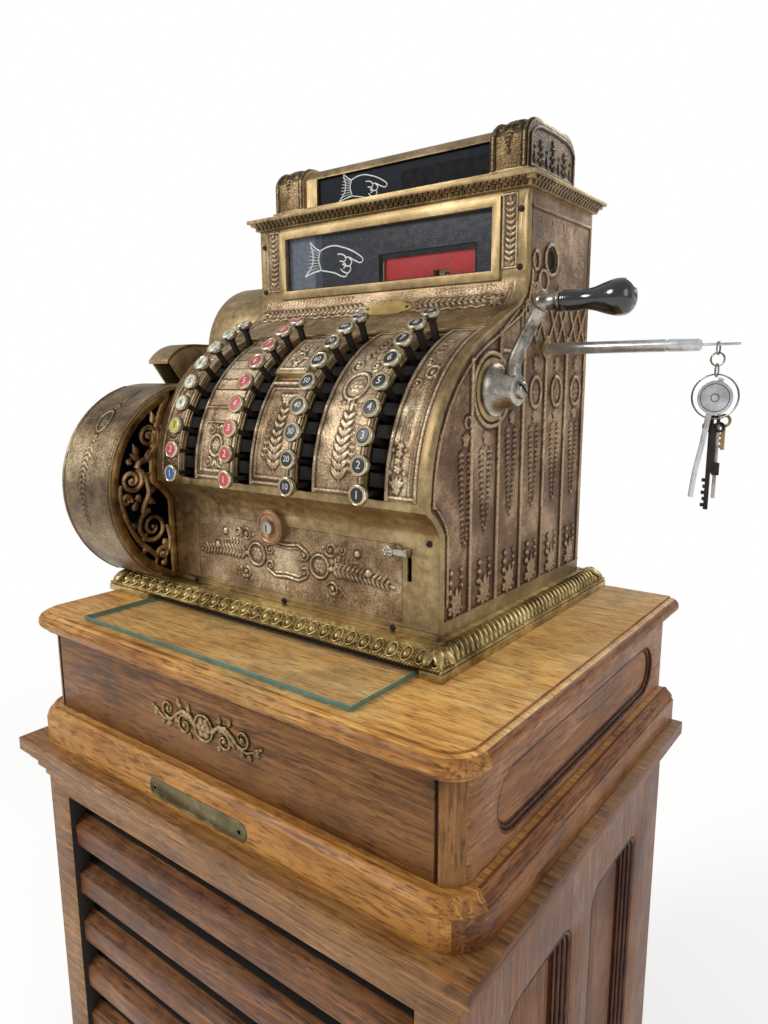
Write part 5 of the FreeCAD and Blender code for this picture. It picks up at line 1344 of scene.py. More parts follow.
def lower_front_sheet():
    """The ornamented sunk panel below the keys."""
    c = Canvas(-424, -79, 34, 125, 0.6)
    for u in (-309, -202):
        c.ring(u, 81, 14, 3, 2.3, 1, 0.4)
        c.flower(u, 81, 9, 6, 1.8)
    for hand, u in ((1, -202), (-1, -309)):
        def at(du, v, hand=hand, u=u):
            return u + hand * du, v
        root = at(18, 80)
        c.bead(*root, 3.4, 2.4)
        c.spray([root, at(40, 80), at(72, 79), at(104, 74)], 15, 5.2, 2.2, 6.4, 40, 0.35)
        c.spray([at(22, 84), at(34, 92), at(54, 93)], 9, 3.8, 1.8, 6, 42, 0.3)
        c.spiral(*at(18, 104), 8.5, 1.5, 200, hand, 2.4, 2)
        c.spiral(*at(20, 56), 8.5, 1.5, 160, -hand, 2.4, 2)
        c.spiral(*at(34, 105), 5.5, 1.3, 20, -hand, 2, 1.7)
        c.stroke([at(30, 60), at(38, 52), at(42, 48)], 2.6, 1.8, 1.4)
        c.leaf(*at(26, 100), 60 if hand > 0 else 120, 15, 5, 1.8)
        c.bead(*at(58, 104), 4.6, 2.6)
        c.bead(*at(74, 84), 5.2, 2.8)
        c.leaf(*at(12, 50), -90, 10, 4, 1.7)
        c.leaf(*at(-4, 108), 90, 10, 4, 1.7)
        c.bead(*at(6, 105), 2.4, 1.8)
        c.leaf(*at(92, 78), 40 if hand > 0 else 140, 12, 4, 1.7)
    for v, hand in ((100, 1), (60, -1)):
        points = [(-288, v - hand * 4), (-276, v + hand * 2), (-256, v), (-236, v + hand * 2),
                  (-224, v - hand * 4)]
        c.stroke(points, 3, 2.2)
        c.stroke([(p, q - hand * 4.5) for p, q in points[1:-1]], 2, 1.4)
        for u, side in ((-285, 1), (-227, -1)):
            c.spiral(u, v - hand * 10, 6.5, 1.4, 90 * hand, side * hand, 2.4, 2.1)
            c.leaf(u + side * 8, v - hand * 12, -hand * 60, 8, 4, 1.6)
    for u in (-256, -330, -180):
        c.leaf(u, 46, -90, 8, 4, 1.6)
        c.flower(u, 50, 4, 4, 1.6)
    for u in (-346, -172, -150, -360):
        c.leaf(u, 47, 60, 8, 3.4, 1.4)
    U, V = grid(-421, -82, 36.6, 122.4, 0.95)
    relief_sheet("lower_front_relief", c, on_front(CASING_FRONT + 1.5), U, V, "brass_stipple", 0.5, 0.4,
                        2.6, lambda u, v: (u - LOCK_X) ** 2 + (v - LOCK_Z) ** 2 < 21.4 ** 2)


def strip_canvas(index, length):
    """Ornament of one strip between the key slots; u is x, v runs up the strip."""
    u0, u1 = STRIPS[index]
    c = Canvas(u0 - 2, u1 + 2, -2, length + 2, 0.6)
    middle = (u0 + u1) / 2
    wide = u1 - u0
    for u in (u0 + 2.6, u1 - 2.6):
        c.stroke([(u, 2), (u, length - 2)], 4.6, 1.5)
    c.stroke([(u0 + 2, 4), (u1 - 2, 4)], 3.4, 1.3)
    c.stroke([(u0 + 2, length - 4), (u1 - 2, length - 4)], 3.4, 1.3)
    if index == 0:
        c.spray([(middle, 12), (middle, 60), (middle, 96)], 13, 5.2, 1.9, 7)
        c.ring(middle, 112, 9, 2.8, 1.8, 1.2, 0.3)
        c.flower(middle, 112, 5.5, 5, 1.5)
        c.spray([(middle, 128), (middle, 210)], 12, 5, 1.8, 7)
    elif index == 1:
        c.border(u0 + 12, u1 - 9, 12, 74, 2.6, 1.3)
        c.ring(middle + 1.5, 44, 11, 3, 2, 1.2, 0.3)
        c.flower(middle + 1.5, 44, 7, 6, 1.8)
        for v, hand in ((24, -1), (64, 1)):
            for side in (-1, 1):
                c.spiral(middle + 1.5 + side * 12, v, 6, 1.4, 90 * hand, side * hand, 2.2, 1.7)
                c.leaf(middle + 1.5, v, 90 * hand + side * 40, 10, 4, 1.7)
        c.ring(middle - 14, 84, 4.4, 2.2, 1.1)
        c.stroke([(u0 + 6, 94), (u1 - 6, 94)], 3, 1.2)
        for i in range(7):
            v = 104 + i * 17
            c.leaf(u0 + 7, v, 0, 1, 1, 0.1)
            where, _, V = c.window(u0 + 8, u1 - 8, v, v + 13.6)
            c.rise(where, 0.35 + 1.5 * np.clip((V - v) / 13.6, 0, 1))
    elif index == 2:
        c.border(u0 + 9, u1 - 9, 11, 122, 2.8, 1.4)
        stem = [(middle + 4, 18), (middle + 3, 60), (middle + 5, 98)]
        c.spray(stem, 19, 7, 2.2, 9.4, 36, 0.3)
        c.spray([(middle - 12, 30), (middle - 13, 84)], 9, 4.4, 1.5, 8, 40, 0.3)
        c.flower(middle + 2, 108, 8, 6, 2.1)
        for side in (-1, 1):
            c.leaf(middle + 2, 108, 90 + side * 66, 17, 6, 2)
        c.stroke([(u0 + 5, 130), (u1 - 5, 130)], 5, 1.8)
        c.spray([(middle, 204), (middle, 228)], 12, 5, 1.7, 7)
    elif index == 3:
        stem = [(middle + 3, 14), (middle + 2, 56), (middle + 3, 94)]
        c.spray(stem, 20, 7.4, 2.3, 9.4, 36, 0.25)
        c.spray([(middle + 18, 24), (middle + 18, 84)], 8, 4, 1.5, 8, 44, 0.3)
        for i in range(7):
            c.bead(middle - 16 + i * 6, 103 + 2 * math.sin(i), 2.4, 1.7)
        c.ring(middle - 2, 126, 15.5, 3.4, 2.2, 1.15, 0.3)
        c.flower(middle - 2, 126, 9, 6, 1.9)
        for side in (-1, 1):
            c.spiral(middle - 2 + side * 13, 156, 8, 1.5, -90, side, 2.6, 2)
            c.leaf(middle - 2 + side * 6, 166, 90 - side * 28, 16, 6, 1.9)
        c.spray([(middle, 168), (middle + 1, 222)], 13, 5.6, 1.8, 8, 40, 0.3)
    else:
        left = u0 + wide * 0.36
        for turn in (40, 65, 90, 115, 140):
            c.leaf(left, 14, turn, 13, 5, 2.2)
        c.flower(left, 13, 5.5, 5, 2.3)
        for v in (34, 42, 50, 58):
            c.flower(left, v, 5, 5, 2)
        for side in (-1, 1):
            c.bead(left + side * 9, 30, 2.4, 1.9)
            c.bead(left + side * 8, 54, 2.2, 1.8)
        c.stroke([(left, 64), (left + 1, 118)], 2.4, 1.5, 1.4)
        c.stroke([(left + 7, 64), (left + 6, 118)], 1.8, 1.2)
        c.spiral(left - 4, 130, 6, 1.4, -60, 1, 2.2, 1.8)
        c.ring(left + 9, 146, 7, 2.4, 1.8, 1.2, 0.3)
        c.bead(left + 9, 146, 3, 1.6)
        c.spiral(left - 1, 160, 5.5, 1.4, 120, -1, 2.2, 1.7)
        c.spray([(left + 2, 172), (left + 3, 224)], 9, 4, 1.5, 8)
        c.stroke([(u0 + wide * 0.74, 8), (u0 + wide * 0.74, length - 8)], 2.2, 1.1)
    return c


def strip_sheets():
    """Relief on the five strips between the key slots and on the lock box."""
    place, length = along(arc((BANK_Y, BANK_Z), STRIP_RADIUS, 0.2, 71.8, 80))
    for index, (u0, u1) in enumerate(STRIPS):
        canvas = strip_canvas(index, length)
        U, V = grid(u0 + 0.4, u1 - 0.4, 1, length - 1, 1)
        relief_sheet("key_strip_relief_%d" % (index + 1), canvas, place, U, V, "brass_stipple", 0.25, 0.5,
                             2.2)
    place, length = along(arc((BANK_Y, BANK_Z), 198, 42.4, 61.6, 24))
    c = Canvas(-284, -231, -1, length + 1, 0.6)
    c.border(-277, -238, 6, length - 6, 2.4, 1.1)
    c.ring(-257.5, 24, 7, 2.6, 1.8, 1.25, 0.5)
    for side in (-1, 1):
        c.leaf(-257.5 + side * 7, 24, 90 - side * 90, 9, 4, 1.4)
        c.spiral(-257.5 + side * 9, 42, 5, 1.3, -90, side, 2, 1.4)
    c.spray([(-257.5, 34), (-257.5, 56)], 9, 4.2, 1.5, 6)
    c.flower(-257.5, 12, 4, 5, 1.3)
    U, V = grid(-281.6, -233.4, 1, length - 1, 0.9)
    relief_sheet("lock_box_relief", c, place, U, V, "brass_stipple", 0.25, 0.5, 1.8)


def frieze_sheet():
    """The band between the keys and the window, with laurel branches."""
    bend = through((201, 381), (220, 402), (HOUSING_FRONT, HOUSING_BOTTOM), 24)
    place, length = along(np.concatenate([[(150.5, 356.5)], bend]))
    c = Canvas(-472, -31, -1, length + 1, 0.7)
    level = 75
    for start, hand in ((-266, -1), (-182, 1)):
        end = -446 if hand < 0 else -76
        path = [(start, level), ((start + end) / 2, level - 1.5), (end, level)]
        c.spray(path, 12.5, 5, 1.9, 8.4, 32, 0.15)
        twist = []
        count = int(abs(end - start) / 5)
        for i in range(count + 1):
            twist.append((start + (end - start) * i / count, level - 15 + 2.6 * math.sin(i * 1.9)))
        c.stroke(twist, 3.4, 1.7)
        for i in range(count // 2):
            c.leaf(start + (end - start) * i / (count // 2), level - 15, 90 - hand * 60, 8.5, 3.2, 1.8)
        c.flower(end + hand * 10, level - 6, 8, 6, 2)
        for turn in (-70, -30, 30, 70, 120, -120):
            c.leaf(end + hand * 10, level - 6, turn if hand > 0 else 180 - turn, 15, 5, 1.8)
        c.spray([(start + hand * 20, level + 15), (end, level + 15)], 6, 3, 1, 6, 40, 0.1)
    c.stroke([(-460, 4), (-43, 4)], 2, 0.6)
    for hand, u in ((1, -452), (-1, -51)):
        c.stroke([(u, 8), (u, length - 14)], 2.6, 1.2)
    U, V = grid(-458, -45, 1.5, length - 13, 1.1)
    relief_sheet("frieze_relief", c, place, U, V, "brass_stipple", 0.3, 0.5, 2.2)


def pilaster_sheets():
    """Sunk-looking laurel panels either side of the window."""
    for name, u0, u1 in (("left_pilaster", -456, -429.5), ("right_pilaster", -66, -45.5)):
        c = Canvas(u0 - 1, u1 + 1, 424, 512, 0.5)
        middle = (u0 + u1) / 2
        c.border(u0 + 1.4, u1 - 1.4, 427, 509, 2.4, 1.5)
        c.spray([(middle, 432), (middle + 1.5, 470), (middle, 501)], 9.5, 4.2, 2, 6.8, 44, 0.2)
        U, V = grid(u0 + 0.2, u1 - 0.2, 425.5, 511, 0.8)
        relief_sheet(name, c, on_front(HOUSING_FRONT), U, V, "brass_stipple", 0.25, 0.5, 2.2)
    c = Canvas(-472, -31, 24, 424, 1.2)
    c.border(-458, -45, 40, 410, 5, 2.4)
    c.border(-448, -55, 50, 400, 2.6, 1.4)
    c.ring(-251.5, 225, 46, 6, 2.6, 1.2, 0.4)
    c.flower(-251.5, 225, 30, 8, 2.6)
    for hand in (-1, 1):
        c.spray([(-251.5 + hand * 56, 225), (-251.5 + hand * 110, 250), (-251.5 + hand * 160, 225)],
                26, 10, 2.6, 15)
        for v, way in ((310, 1), (140, -1)):
            c.spiral(-251.5 + hand * 70, v, 26, 1.6, -90 * way, hand * way, 5, 2.6)
            c.spiral(-251.5 + hand * 140, v, 22, 1.6, 90 * way, -hand * way, 4.6, 2.4)
            c.leaf(-251.5 + hand * 30, v, 90 * way, 40, 14, 2.6)
    U, V = grid(-464, -39, 34, 414, 2.6)
    relief_sheet("back_relief", c, on_back(CASING_BACK), U, V, "side", 0.4, 0.5, 2.6)


HOOD_CROWN = 597.75


def hood_path(inset=0):
    """The hood's section from its front foot over the crown to the back foot, as (y, z)."""
    front = np.concatenate([[(238 + inset, 540)],
                            through((238 + inset, 577), (248 + inset, 591 - inset), (278, 596 - inset), 14),
                            [(305, 597 - inset)]])
    back = front[::-1].copy()
    back[:, 0] = 610 - back[:, 0]
    return np.concatenate([front, back[1:]])


def hood_sheets():
    """Leaf clusters over both end blocks of the hood, and its end panels."""
    bend, length = along(hood_path())

    def place(u, v, h):
        x, y, z = bend(u, v, h)
        return x, y, np.minimum(z, HOOD_CROWN)

    for name, u0, u1 in (("hood_left_block", -450, -395), ("hood_right_block", -93, -43)):
        c = Canvas(u0, u1, -1, length + 1, 0.6)
        middle = (u0 + u1) / 2
        for u in (u0 + 4.5, u1 - 4.5):
            c.stroke([(u, 1), (u, length - 1)], 6, 1.6)
        for way, foot in ((1, 0), (-1, length)):
            top = foot + way * 62
            for turn in (30, 60, 90, 120, 150, -50, -90, -130):
                c.leaf(middle, top, turn * way, 15, 6.5, 2.2)
            c.flower(middle, top, 7, 6, 2.4)
            c.spray([(middle, top - way * 14), (middle, top - way * 34)], 9, 4.4, 1.8, 6)
            for side in (-1, 1):
                c.spiral(middle + side * 11, top - way * 12, 5, 1.3, 90 * way, -side * way, 2.2, 1.8)
            c.bead(middle, top - way * 42, 2.2, 1.4)
        U, V = grid(u0 + 0.5, u1 - 0.5, 1, length - 1, 1.1)
        relief_sheet(name, c, place, U, V, "brass_deep", 0.2, 0.5, 2.4)
    c = Canvas(236, 374, 538, 598, 0.6)
    edge = hood_path(7)
    c.stroke(edge, 3.4, 1.8)
    c.stroke([(245, 543), (365, 543)], 2.6, 1.4)
    for y, tall in ((272, 1), (305, 1.25), (338, 1)):
        c.stroke([(y, 547), (y, 547 + 22 * tall)], 2.2, 1.5)
        for i in range(3):
            for side in (-1, 1):
                c.bead(y + side * (5 - i), 552 + i * 8 * tall, 2.5 - 0.3 * i, 2.2)
        c.flower(y, 572 + 6 * (tall - 1) * 4, 4.6, 5, 2.2)
    for y in (255, 288, 322, 355):
        c.leaf(y, 546, 90, 16, 6, 1.8)
        c.bead(y, 565, 2, 1.6)
    rows = np.linspace(540.5, 594, 46)
    line = hood_path(1.4)
    share, V = np.meshgrid(np.linspace(-1, 1, 110), rows)
    half = 305 - np.interp(V, line[:len(line) // 2, 1], line[:len(line) // 2, 0])
    U = 305 + share * half
    for name, place in (("hood_right_end", on_right(-43)), ("hood_left_end", on_left(-450))):
        relief_sheet(name, c, place, U, V, "brass_deep", 0.2, 0.5, 2.2)


def drum_sheet():
    """The round cover's band: laurel spray, medallion and rim lines."""
    place, length = along(arc((DRUM_Y, DRUM_Z), DRUM_RADIUS, -62, 76, 120))
    per_degree = math.radians(1) * DRUM_RADIUS

    def way(angle):
        return (angle + 62) * per_degree

    c = Canvas(-582, -469, -1, length + 1, 0.7)
    for u in (-577, -474):
        c.stroke([(u, 1), (u, length - 1)], 3.4, 1.2)
    c.ring(-522, way(41), 11.5, 3, 1.9, 1.5, 0.5)
    c.flower(-522, way(41), 7, 6, 1.7, 1.5)
    c.flower(-524, way(30), 7, 5, 1.9)
    c.spray([(-524, way(27)), (-531, way(10)), (-531, way(-16))], 15, 5.4, 1.9, 7.4, 36, 0.45)
    c.flower(-521, way(52), 6, 5, 1.8)
    c.spray([(-521, way(54)), (-521, way(68))], 11, 4.4, 1.7, 6.4, 38, 0.4)
    U, V = grid(-580.4, -470.6, 1, length - 1, 1.35)
    relief_sheet("drum_relief", c, place, U, V, "brass_drum", 0.2, 0.5, 2.2)


# keys, windows and fittings


def curved(points, count=40, closed=False):
    """A smooth curve (Catmull-Rom) through points."""
    points = np.asarray(points, float)
    if closed:
        points = np.concatenate([points[-1:], points, points[:2]])
    else:
        points = np.concatenate([2 * points[:1] - points[1:2], points, 2 * points[-1:] - points[-2:-1]])
    spans = len(points) - 3
    out = []
    for t in np.linspace(0, spans, count, endpoint=not closed):
        i = min(int(t), spans - 1)
        u = t - i
        a, b, c, d = points[i:i + 4]
        out.append(0.5 * (2 * b + (c - a) * u + (2 * a - 5 * b + 4 * c - d) * u ** 2
                          + (3 * b - a - 3 * c + d) * u ** 3))
    return np.array(out)


def screw_head(shape, centre, axis, radius, height, mark=0, dark=0, turn=30):
    """A domed screw head with a real slot, whose floor is a dark disc painted as the shade in the slot."""
    centre = np.asarray(centre, float)
    axis, side, other = frame_of(axis)
    shape.lathe([(-0.4, radius), (height * 0.3, radius), (height * 0.42, radius * 0.97)], centre, axis, 24,
                mark)
    a = math.radians(turn)
    across = side * math.cos(a) + other * math.sin(a)
    along_slot = np.cross(axis, across)
    gap = radius * 0.13
    for hand in (-1, 1):
        rings = []
        for level, inset in ((height * 0.3, 0), (height * 0.62, 0.02), (height * 0.86, 0.14),
                             (height, 0.34)):
            r = radius * (1 - inset) * 0.99
            start = math.acos(min(gap / r, 0.99))
            ring = []
            for i in range(9):
                t = -start + 2 * start * i / 8
                ring.append(centre + axis * level + hand * across * r * math.cos(t)
                            + along_slot * r * math.sin(t))
            rings.append(ring)
        shape.rings(rings, mark)
    # Painted shade: a dark disc at the slot's floor.
    if dark != mark:
        shape.lathe([(height * 0.3, radius * 0.96), (height * 0.46, radius * 0.96)], centre, axis, 20, dark)


def key_place(bank, key):
    """Centre line of a key: x and its two directions, out and up."""
    turn = math.radians(2.3 + 8.12 * (key - 1))
    out = np.array([0, -math.cos(turn), math.sin(turn)])
    up = np.array([0, math.sin(turn), math.cos(turn)])
    return np.array([BANK_X[bank - 1], BANK_Y, BANK_Z]), out, up


def key_style(bank, key):
    """Finishes and legend of a key; the legends are plain numbers."""
    if bank == 1:
        disc = {1: "blue_disc", 2: "red_disc", 3: "yellow_disc"}.get(key, "white_disc")
        return disc, "white_paint" if key < 3 else "black_disc", str(key)
    if bank == 2:
        return "red_disc", "white_paint", str(key)
    if bank == 3:
        return "black_disc", "white_paint", str(10 * key)
    return "black_disc", "white_paint", str(key)


def build_keys():
    """Each key on its stem: metal ring, pale ring, coloured disc and numeral."""
    for bank in range(1, 5):
        for key in range(1, 10):
            centre, out, up = key_place(bank, key)
            disc, ink, legend = key_style(bank, key)
            side = np.array([1, 0, 0])

            def stem_shape(points, centre=centre, out=out, up=up, side=side):
                return centre + points[:, :1] * side + points[:, 1:2] * up + points[:, 2:3] * out

            shape = Shape()
            shape.block((-4, -2.5, 151), (4, 2.5, 209), 0, 0.5, stem_shape)
            shape.block((-6, -4.5, 159.9), (6, 4.5, 163.9), 0, 0.5, stem_shape)
            shape.block((-5.4, -4, 205.6), (5.4, 4, 210.4), 0, 0.8, stem_shape)
            seat = centre + out * 210
            shape.lathe([(0, 9.2), (0.5, 10.6), (1.6, 11.4), (3, 11.5), (5.4, 11.5), (6.6, 11.2),
                         (7.3, 10.6), (7.5, 10.1), (7.3, 9.7), (6.2, 9.5)], seat, out, 32, 1)
            shape.lathe([(6, 9.45), (6.7, 9.45), (6.95, 9.2), (6.95, 8.4)], seat, out, 32, 3)
            shape.lathe([(6.5, 8.3), (7.05, 8.3), (7.3, 7.7), (7.36, 6)], seat, out, 32, 2)
            size = 12 if len(legend) == 1 else 9.6

            def on_disc(u, v, h, seat=seat, out=out, up=up, side=side):
                point = seat + np.outer(u, side) + np.outer(v, up) + np.outer(h + 7.28, out)
                return point[:, 0], point[:, 1], point[:, 2]

            shape.label(legend, size, on_disc, 4, 0.24)
            piece = shape.object("key_cap_%d%d" % (bank, key), ["steel", "ring", disc, "cream", ink], 38)
            finish_piece(piece, "key_%d%d" % (bank, key), ("key_%d%d" % (bank, key),))


HAND = (
    ((0, 13), (-8, 17), (-18, 26)),
    ((-18, 26), (-13, 8), (-16, -6), (-28, -18)),
    ((-28, -18), (-14, -14), (1, -12)),
    ((0, 13), (-3, 2), (1, -12)),
    ((0, 13), (12, 16.5), (26, 17), (38, 14), (50, 10), (62, 4), (71, -2), (72, -6), (68, -8), (60, -5),
     (50, 0),
     (42, 1)),
    ((30, 6), (38, 5), (44, 1), (42, -4), (34, -3)),
    ((50, -1), (54, -5), (51, -10), (44, -10), (38, -7)),
    ((51, -10), (52, -15), (47, -19), (40, -17), (35, -13)),
    ((46, -19), (44, -23), (36, -22), (24, -17), (1, -12)),
    ((40, -5), (44, -9), (40, -13)),
)


def pointing_hand(shape, x, z, scale, y, mark=0):
    """A plain outlined pointing hand with a flared, hatched cuff, painted on a pane."""
    across = (0, 1, 0)
    for line in HAND:
        path = curved(np.array(line) * scale, 6 * len(line))
        shape.tube([(x + u, y, z + v) for u, v in path], 0.85 * scale, 6, mark, flat=across, squash=0.35)
    for i in range(9):
        share = i / 8
        low, high = np.array([-2, -11 + 23 * share]), np.array([-25 + 8 * share, -17 + 41 * share])
        points = [low, low * 0.5 + high * 0.5 + (2, -2 * (share - 0.5)), high]
        shape.tube([(x + u * scale, y, z + v * scale) for u, v in points], 0.4, 5, mark, flat=across,
                   squash=0.5)


def framed_plate(shape, outer, hole, y0, y1, mark=0):
    """A plate in the x-z plane with one rectangular opening."""
    x0, x1, z0, z1 = outer
    a0, a1, b0, b1 = hole
    for low, high in (((x0, z0), (a0, z1)), ((a1, z0), (x1, z1)), ((a0, b1), (a1, z1)),
                      ((a0, z0), (a1, b0))):
        if high[0] - low[0] > 0.2 and high[1] - low[1] > 0.2:
            shape.block((low[0], y0, low[1]), (high[0], y1, high[1]), mark, 0.1)


def build_windows():
    """Painted panes with clear openings, their hands, and the plate glass on the slab."""
    front = Shape()
    framed_plate(front, (-416, -78, 424, 501), (-253, -103, 427, 462), 229.4, 231, 0)
    # The pane's left end is a lighter slate, with a narrow step between it and the plain slate.
    front.block((-416, 229, 424.2), (-366, 229.45, 500.8), 3, 0.1)
    front.block((-366, 229, 424.2), (-352, 229.45, 500.8), 5, 0.1)
    pointing_hand(front, -356, 463, 1.06, 228.85, 1)
    # Dark strips behind the pane round the opening's top and sides, painted as the shade there.
    front.block((-253, 231, 427), (-246.6, 232, 462), 4, 0.1)
    front.block((-106, 231, 427), (-103, 232, 462), 4, 0.1)
    front.block((-246.6, 231, 455.6), (-106, 232, 462), 4, 0.1)
    corner = [(-246.6, 455.6)] + [(-239.6 - 7 * math.cos(t), 448.6 + 7 * math.sin(t))
                                  for t in np.linspace(0, math.pi / 2, 8)]
    front.plate(corner, on_front(232), 0, 1, 4)
    front.block((-252.5, 228, 427.3), (-103.5, 228.5, 461.5), 2, 0.1)
    piece = front.object("window_front", ["slate", "white_paint", "glass", "slate_light", "dark",
                                          "slate_mid"], 40)
    finish_piece(piece, "stand", ("glass_panes",))

    back = Shape()
    framed_plate(back, (-416, -78, 424, 501), (-253, -88, 427, 471), 405, 406.6, 0)
    back.block((-252, 407, 427.5), (-89, 407.6, 470.5), 2, 0.1)
    piece = back.object("window_back", ["slate", "white_paint", "glass"], 40)
    finish_piece(piece, "stand", ("glass_panes",))

    hood = Shape()
    hood.block((-377, 247.8, 539), (-89, 250, 576), 0, 0.3)
    # A near-black patch on the pane, painted as the shade inside the empty hood behind its opening.
    hood.block((-229, 247.3, 539.4), (-97, 247.9, 566), 2, 0.1)
    pointing_hand(hood, -313, 557, 0.84, 247.5, 1)
    hood.block((-377, 360, 539), (-89, 362.2, 576), 0, 0.3)
    piece = hood.object("hood_panes", ["slate_deep", "white_paint", "slate_black"], 40)
    finish_piece(piece, "stand", ("glass_panes",))

    plate = Shape()
    plate.block((-471, -101, 0.2), (-33, 20, 6), 0, 0.9)
    piece = plate.object("counter_glass", ["plate_glass", "glass_edge"], 30)
    for face in piece.data.polygons:
        face.material_index = 1 if abs(face.normal.z) < 0.8 else 0
    finish_piece(piece, "stand", ("glass_panes",))


def rounded_outline(width, height, radius, count=7):
    """A rectangle with round corners about the origin."""
    points = []
    for cx, cy, start in ((width / 2 - radius, height / 2 - radius, 0),
                          (radius - width / 2, height / 2 - radius, 90),
                          (radius - width / 2, radius - height / 2, 180),
                          (width / 2 - radius, radius - height / 2, 270)):
        for i in range(count):
            a = math.radians(start + 90 * i / (count - 1))
            points.append((cx + radius * math.cos(a), cy + radius * math.sin(a)))
    return np.array(points)


def build_plates():
    """Slotted screws, the lobed plate on the frieze and the bare tag on the drawer case."""
    screws = Shape()
    places = [(x, LOW_SCREW_Z, 41) for x in (-91, -258, -425)] + [(-46, 129, 45)]
    for z in (427, 491):
        places += [(-42, z, 224), (-462, z, 224)]
    for index, (x, z, y) in enumerate(places):
        screw_head(screws, (x, y, z), (0, -1, 0), 3.6, 2, 0, 1, 20 + 37 * index)
        screws.lathe([(-3, 1.5), (0.2, 1.5)], (x, y, z), (0, -1, 0), 10, 0)
    piece = screws.object("front_screws", ["steel", "dark"], 40)
    finish_piece(piece, replaced=("brass_plates",))

    bend = through((201, 381), (220, 402), (HOUSING_FRONT, HOUSING_BOTTOM), 24)
    place, _ = along(np.concatenate([[(150.5, 356.5)], bend]))
    rows = 30
    sheet = Shape()
    outline = []
    for u, v in ((-39, 0), (-34.5, 5.2), (-27, 8), (-20, 11.5), (-9, 13), (0, 13.6), (9, 13),
                 (20, 11.5), (27, 8), (34.5, 5.2), (39, 0)):
        outline.append((u, v))
    upper = curved(outline, rows)
    points, faces = [], []
    levels = np.linspace(-1, 1, 9)
    for u, half in upper:
        for t in levels:
            points.append((u - 224, 68 + t * max(half, 0.6), 2.2 - 0.7 * abs(t) ** 6))
    points = np.array(points)
    top = np.stack(place(points[:, 0], points[:, 1], points[:, 2]), -1)
    low_points = np.stack(place(points[:, 0], points[:, 1], points[:, 2] * 0 - 0.3), -1)
    n, m = rows, len(levels)
    for i in range(n - 1):
        for j in range(m - 1):
            a = i * m + j
            faces.append([a, a + 1, a + m + 1, a + m])
            faces.append([n * m + a, n * m + a + m, n * m + a + m + 1, n * m + a + 1])
        for j in (0, m - 1):
            a = i * m + j
            faces.append([a, a + m, n * m + a + m, n * m + a])
    for i in (0, n - 1):
        for j in range(m - 1):
            a = i * m + j
            faces.append([a, a + 1, n * m + a + 1, n * m + a])
    sheet.add(np.concatenate([top, low_points]), faces)
    for u in (-256, -192):
        x, y, z = place(np.array([u]), np.array([68]), np.array([2]))
        foot = np.array([x[0], y[0], z[0]])
        x, y, z = place(np.array([u]), np.array([68]), np.array([3]))
        screw_head(sheet, foot, np.array([x[0], y[0], z[0]]) - foot, 2.6, 1.3, 1, 2, 60)
    piece = sheet.object("frieze_plate", ["gold", "grille", "dark"], 40)
    finish_piece(piece, replaced=("brass_plates",))

    tag = Shape(FLOOR)

    def on_case(u, v, h):
        return u + 0 * h, -286 - h + 0 * u, v + 880

    outline = rounded_outline(163, 23, 10.5)
    tag.plate(outline, on_case, 0, 1.1, 0, 0.006)
    rim = rounded_outline(160, 20, 9.2)
    tag.tube([(u, -287, v + 880) for u, v in rim], 0.55, 6, 0, closed=True, flat=(0, 1, 0), squash=0.8)
    for u in (-70.5, 70.5):
        tag.lathe([(0, 3.6), (1.3, 3.6), (1.5, 3)], (u, -286, 880), (0, -1, 0), 20, 0)
        # A dark disc in each boss, painted as the shade of its hole.
        tag.lathe([(1.3, 2.2), (1.5, 2.2)], (u, -286, 880), (0, -1, 0), 16, 1)
    piece = tag.object("case_tag", ["aged_brass", "dark"], 40)
    finish_piece(piece, replaced=("brass_plates",))


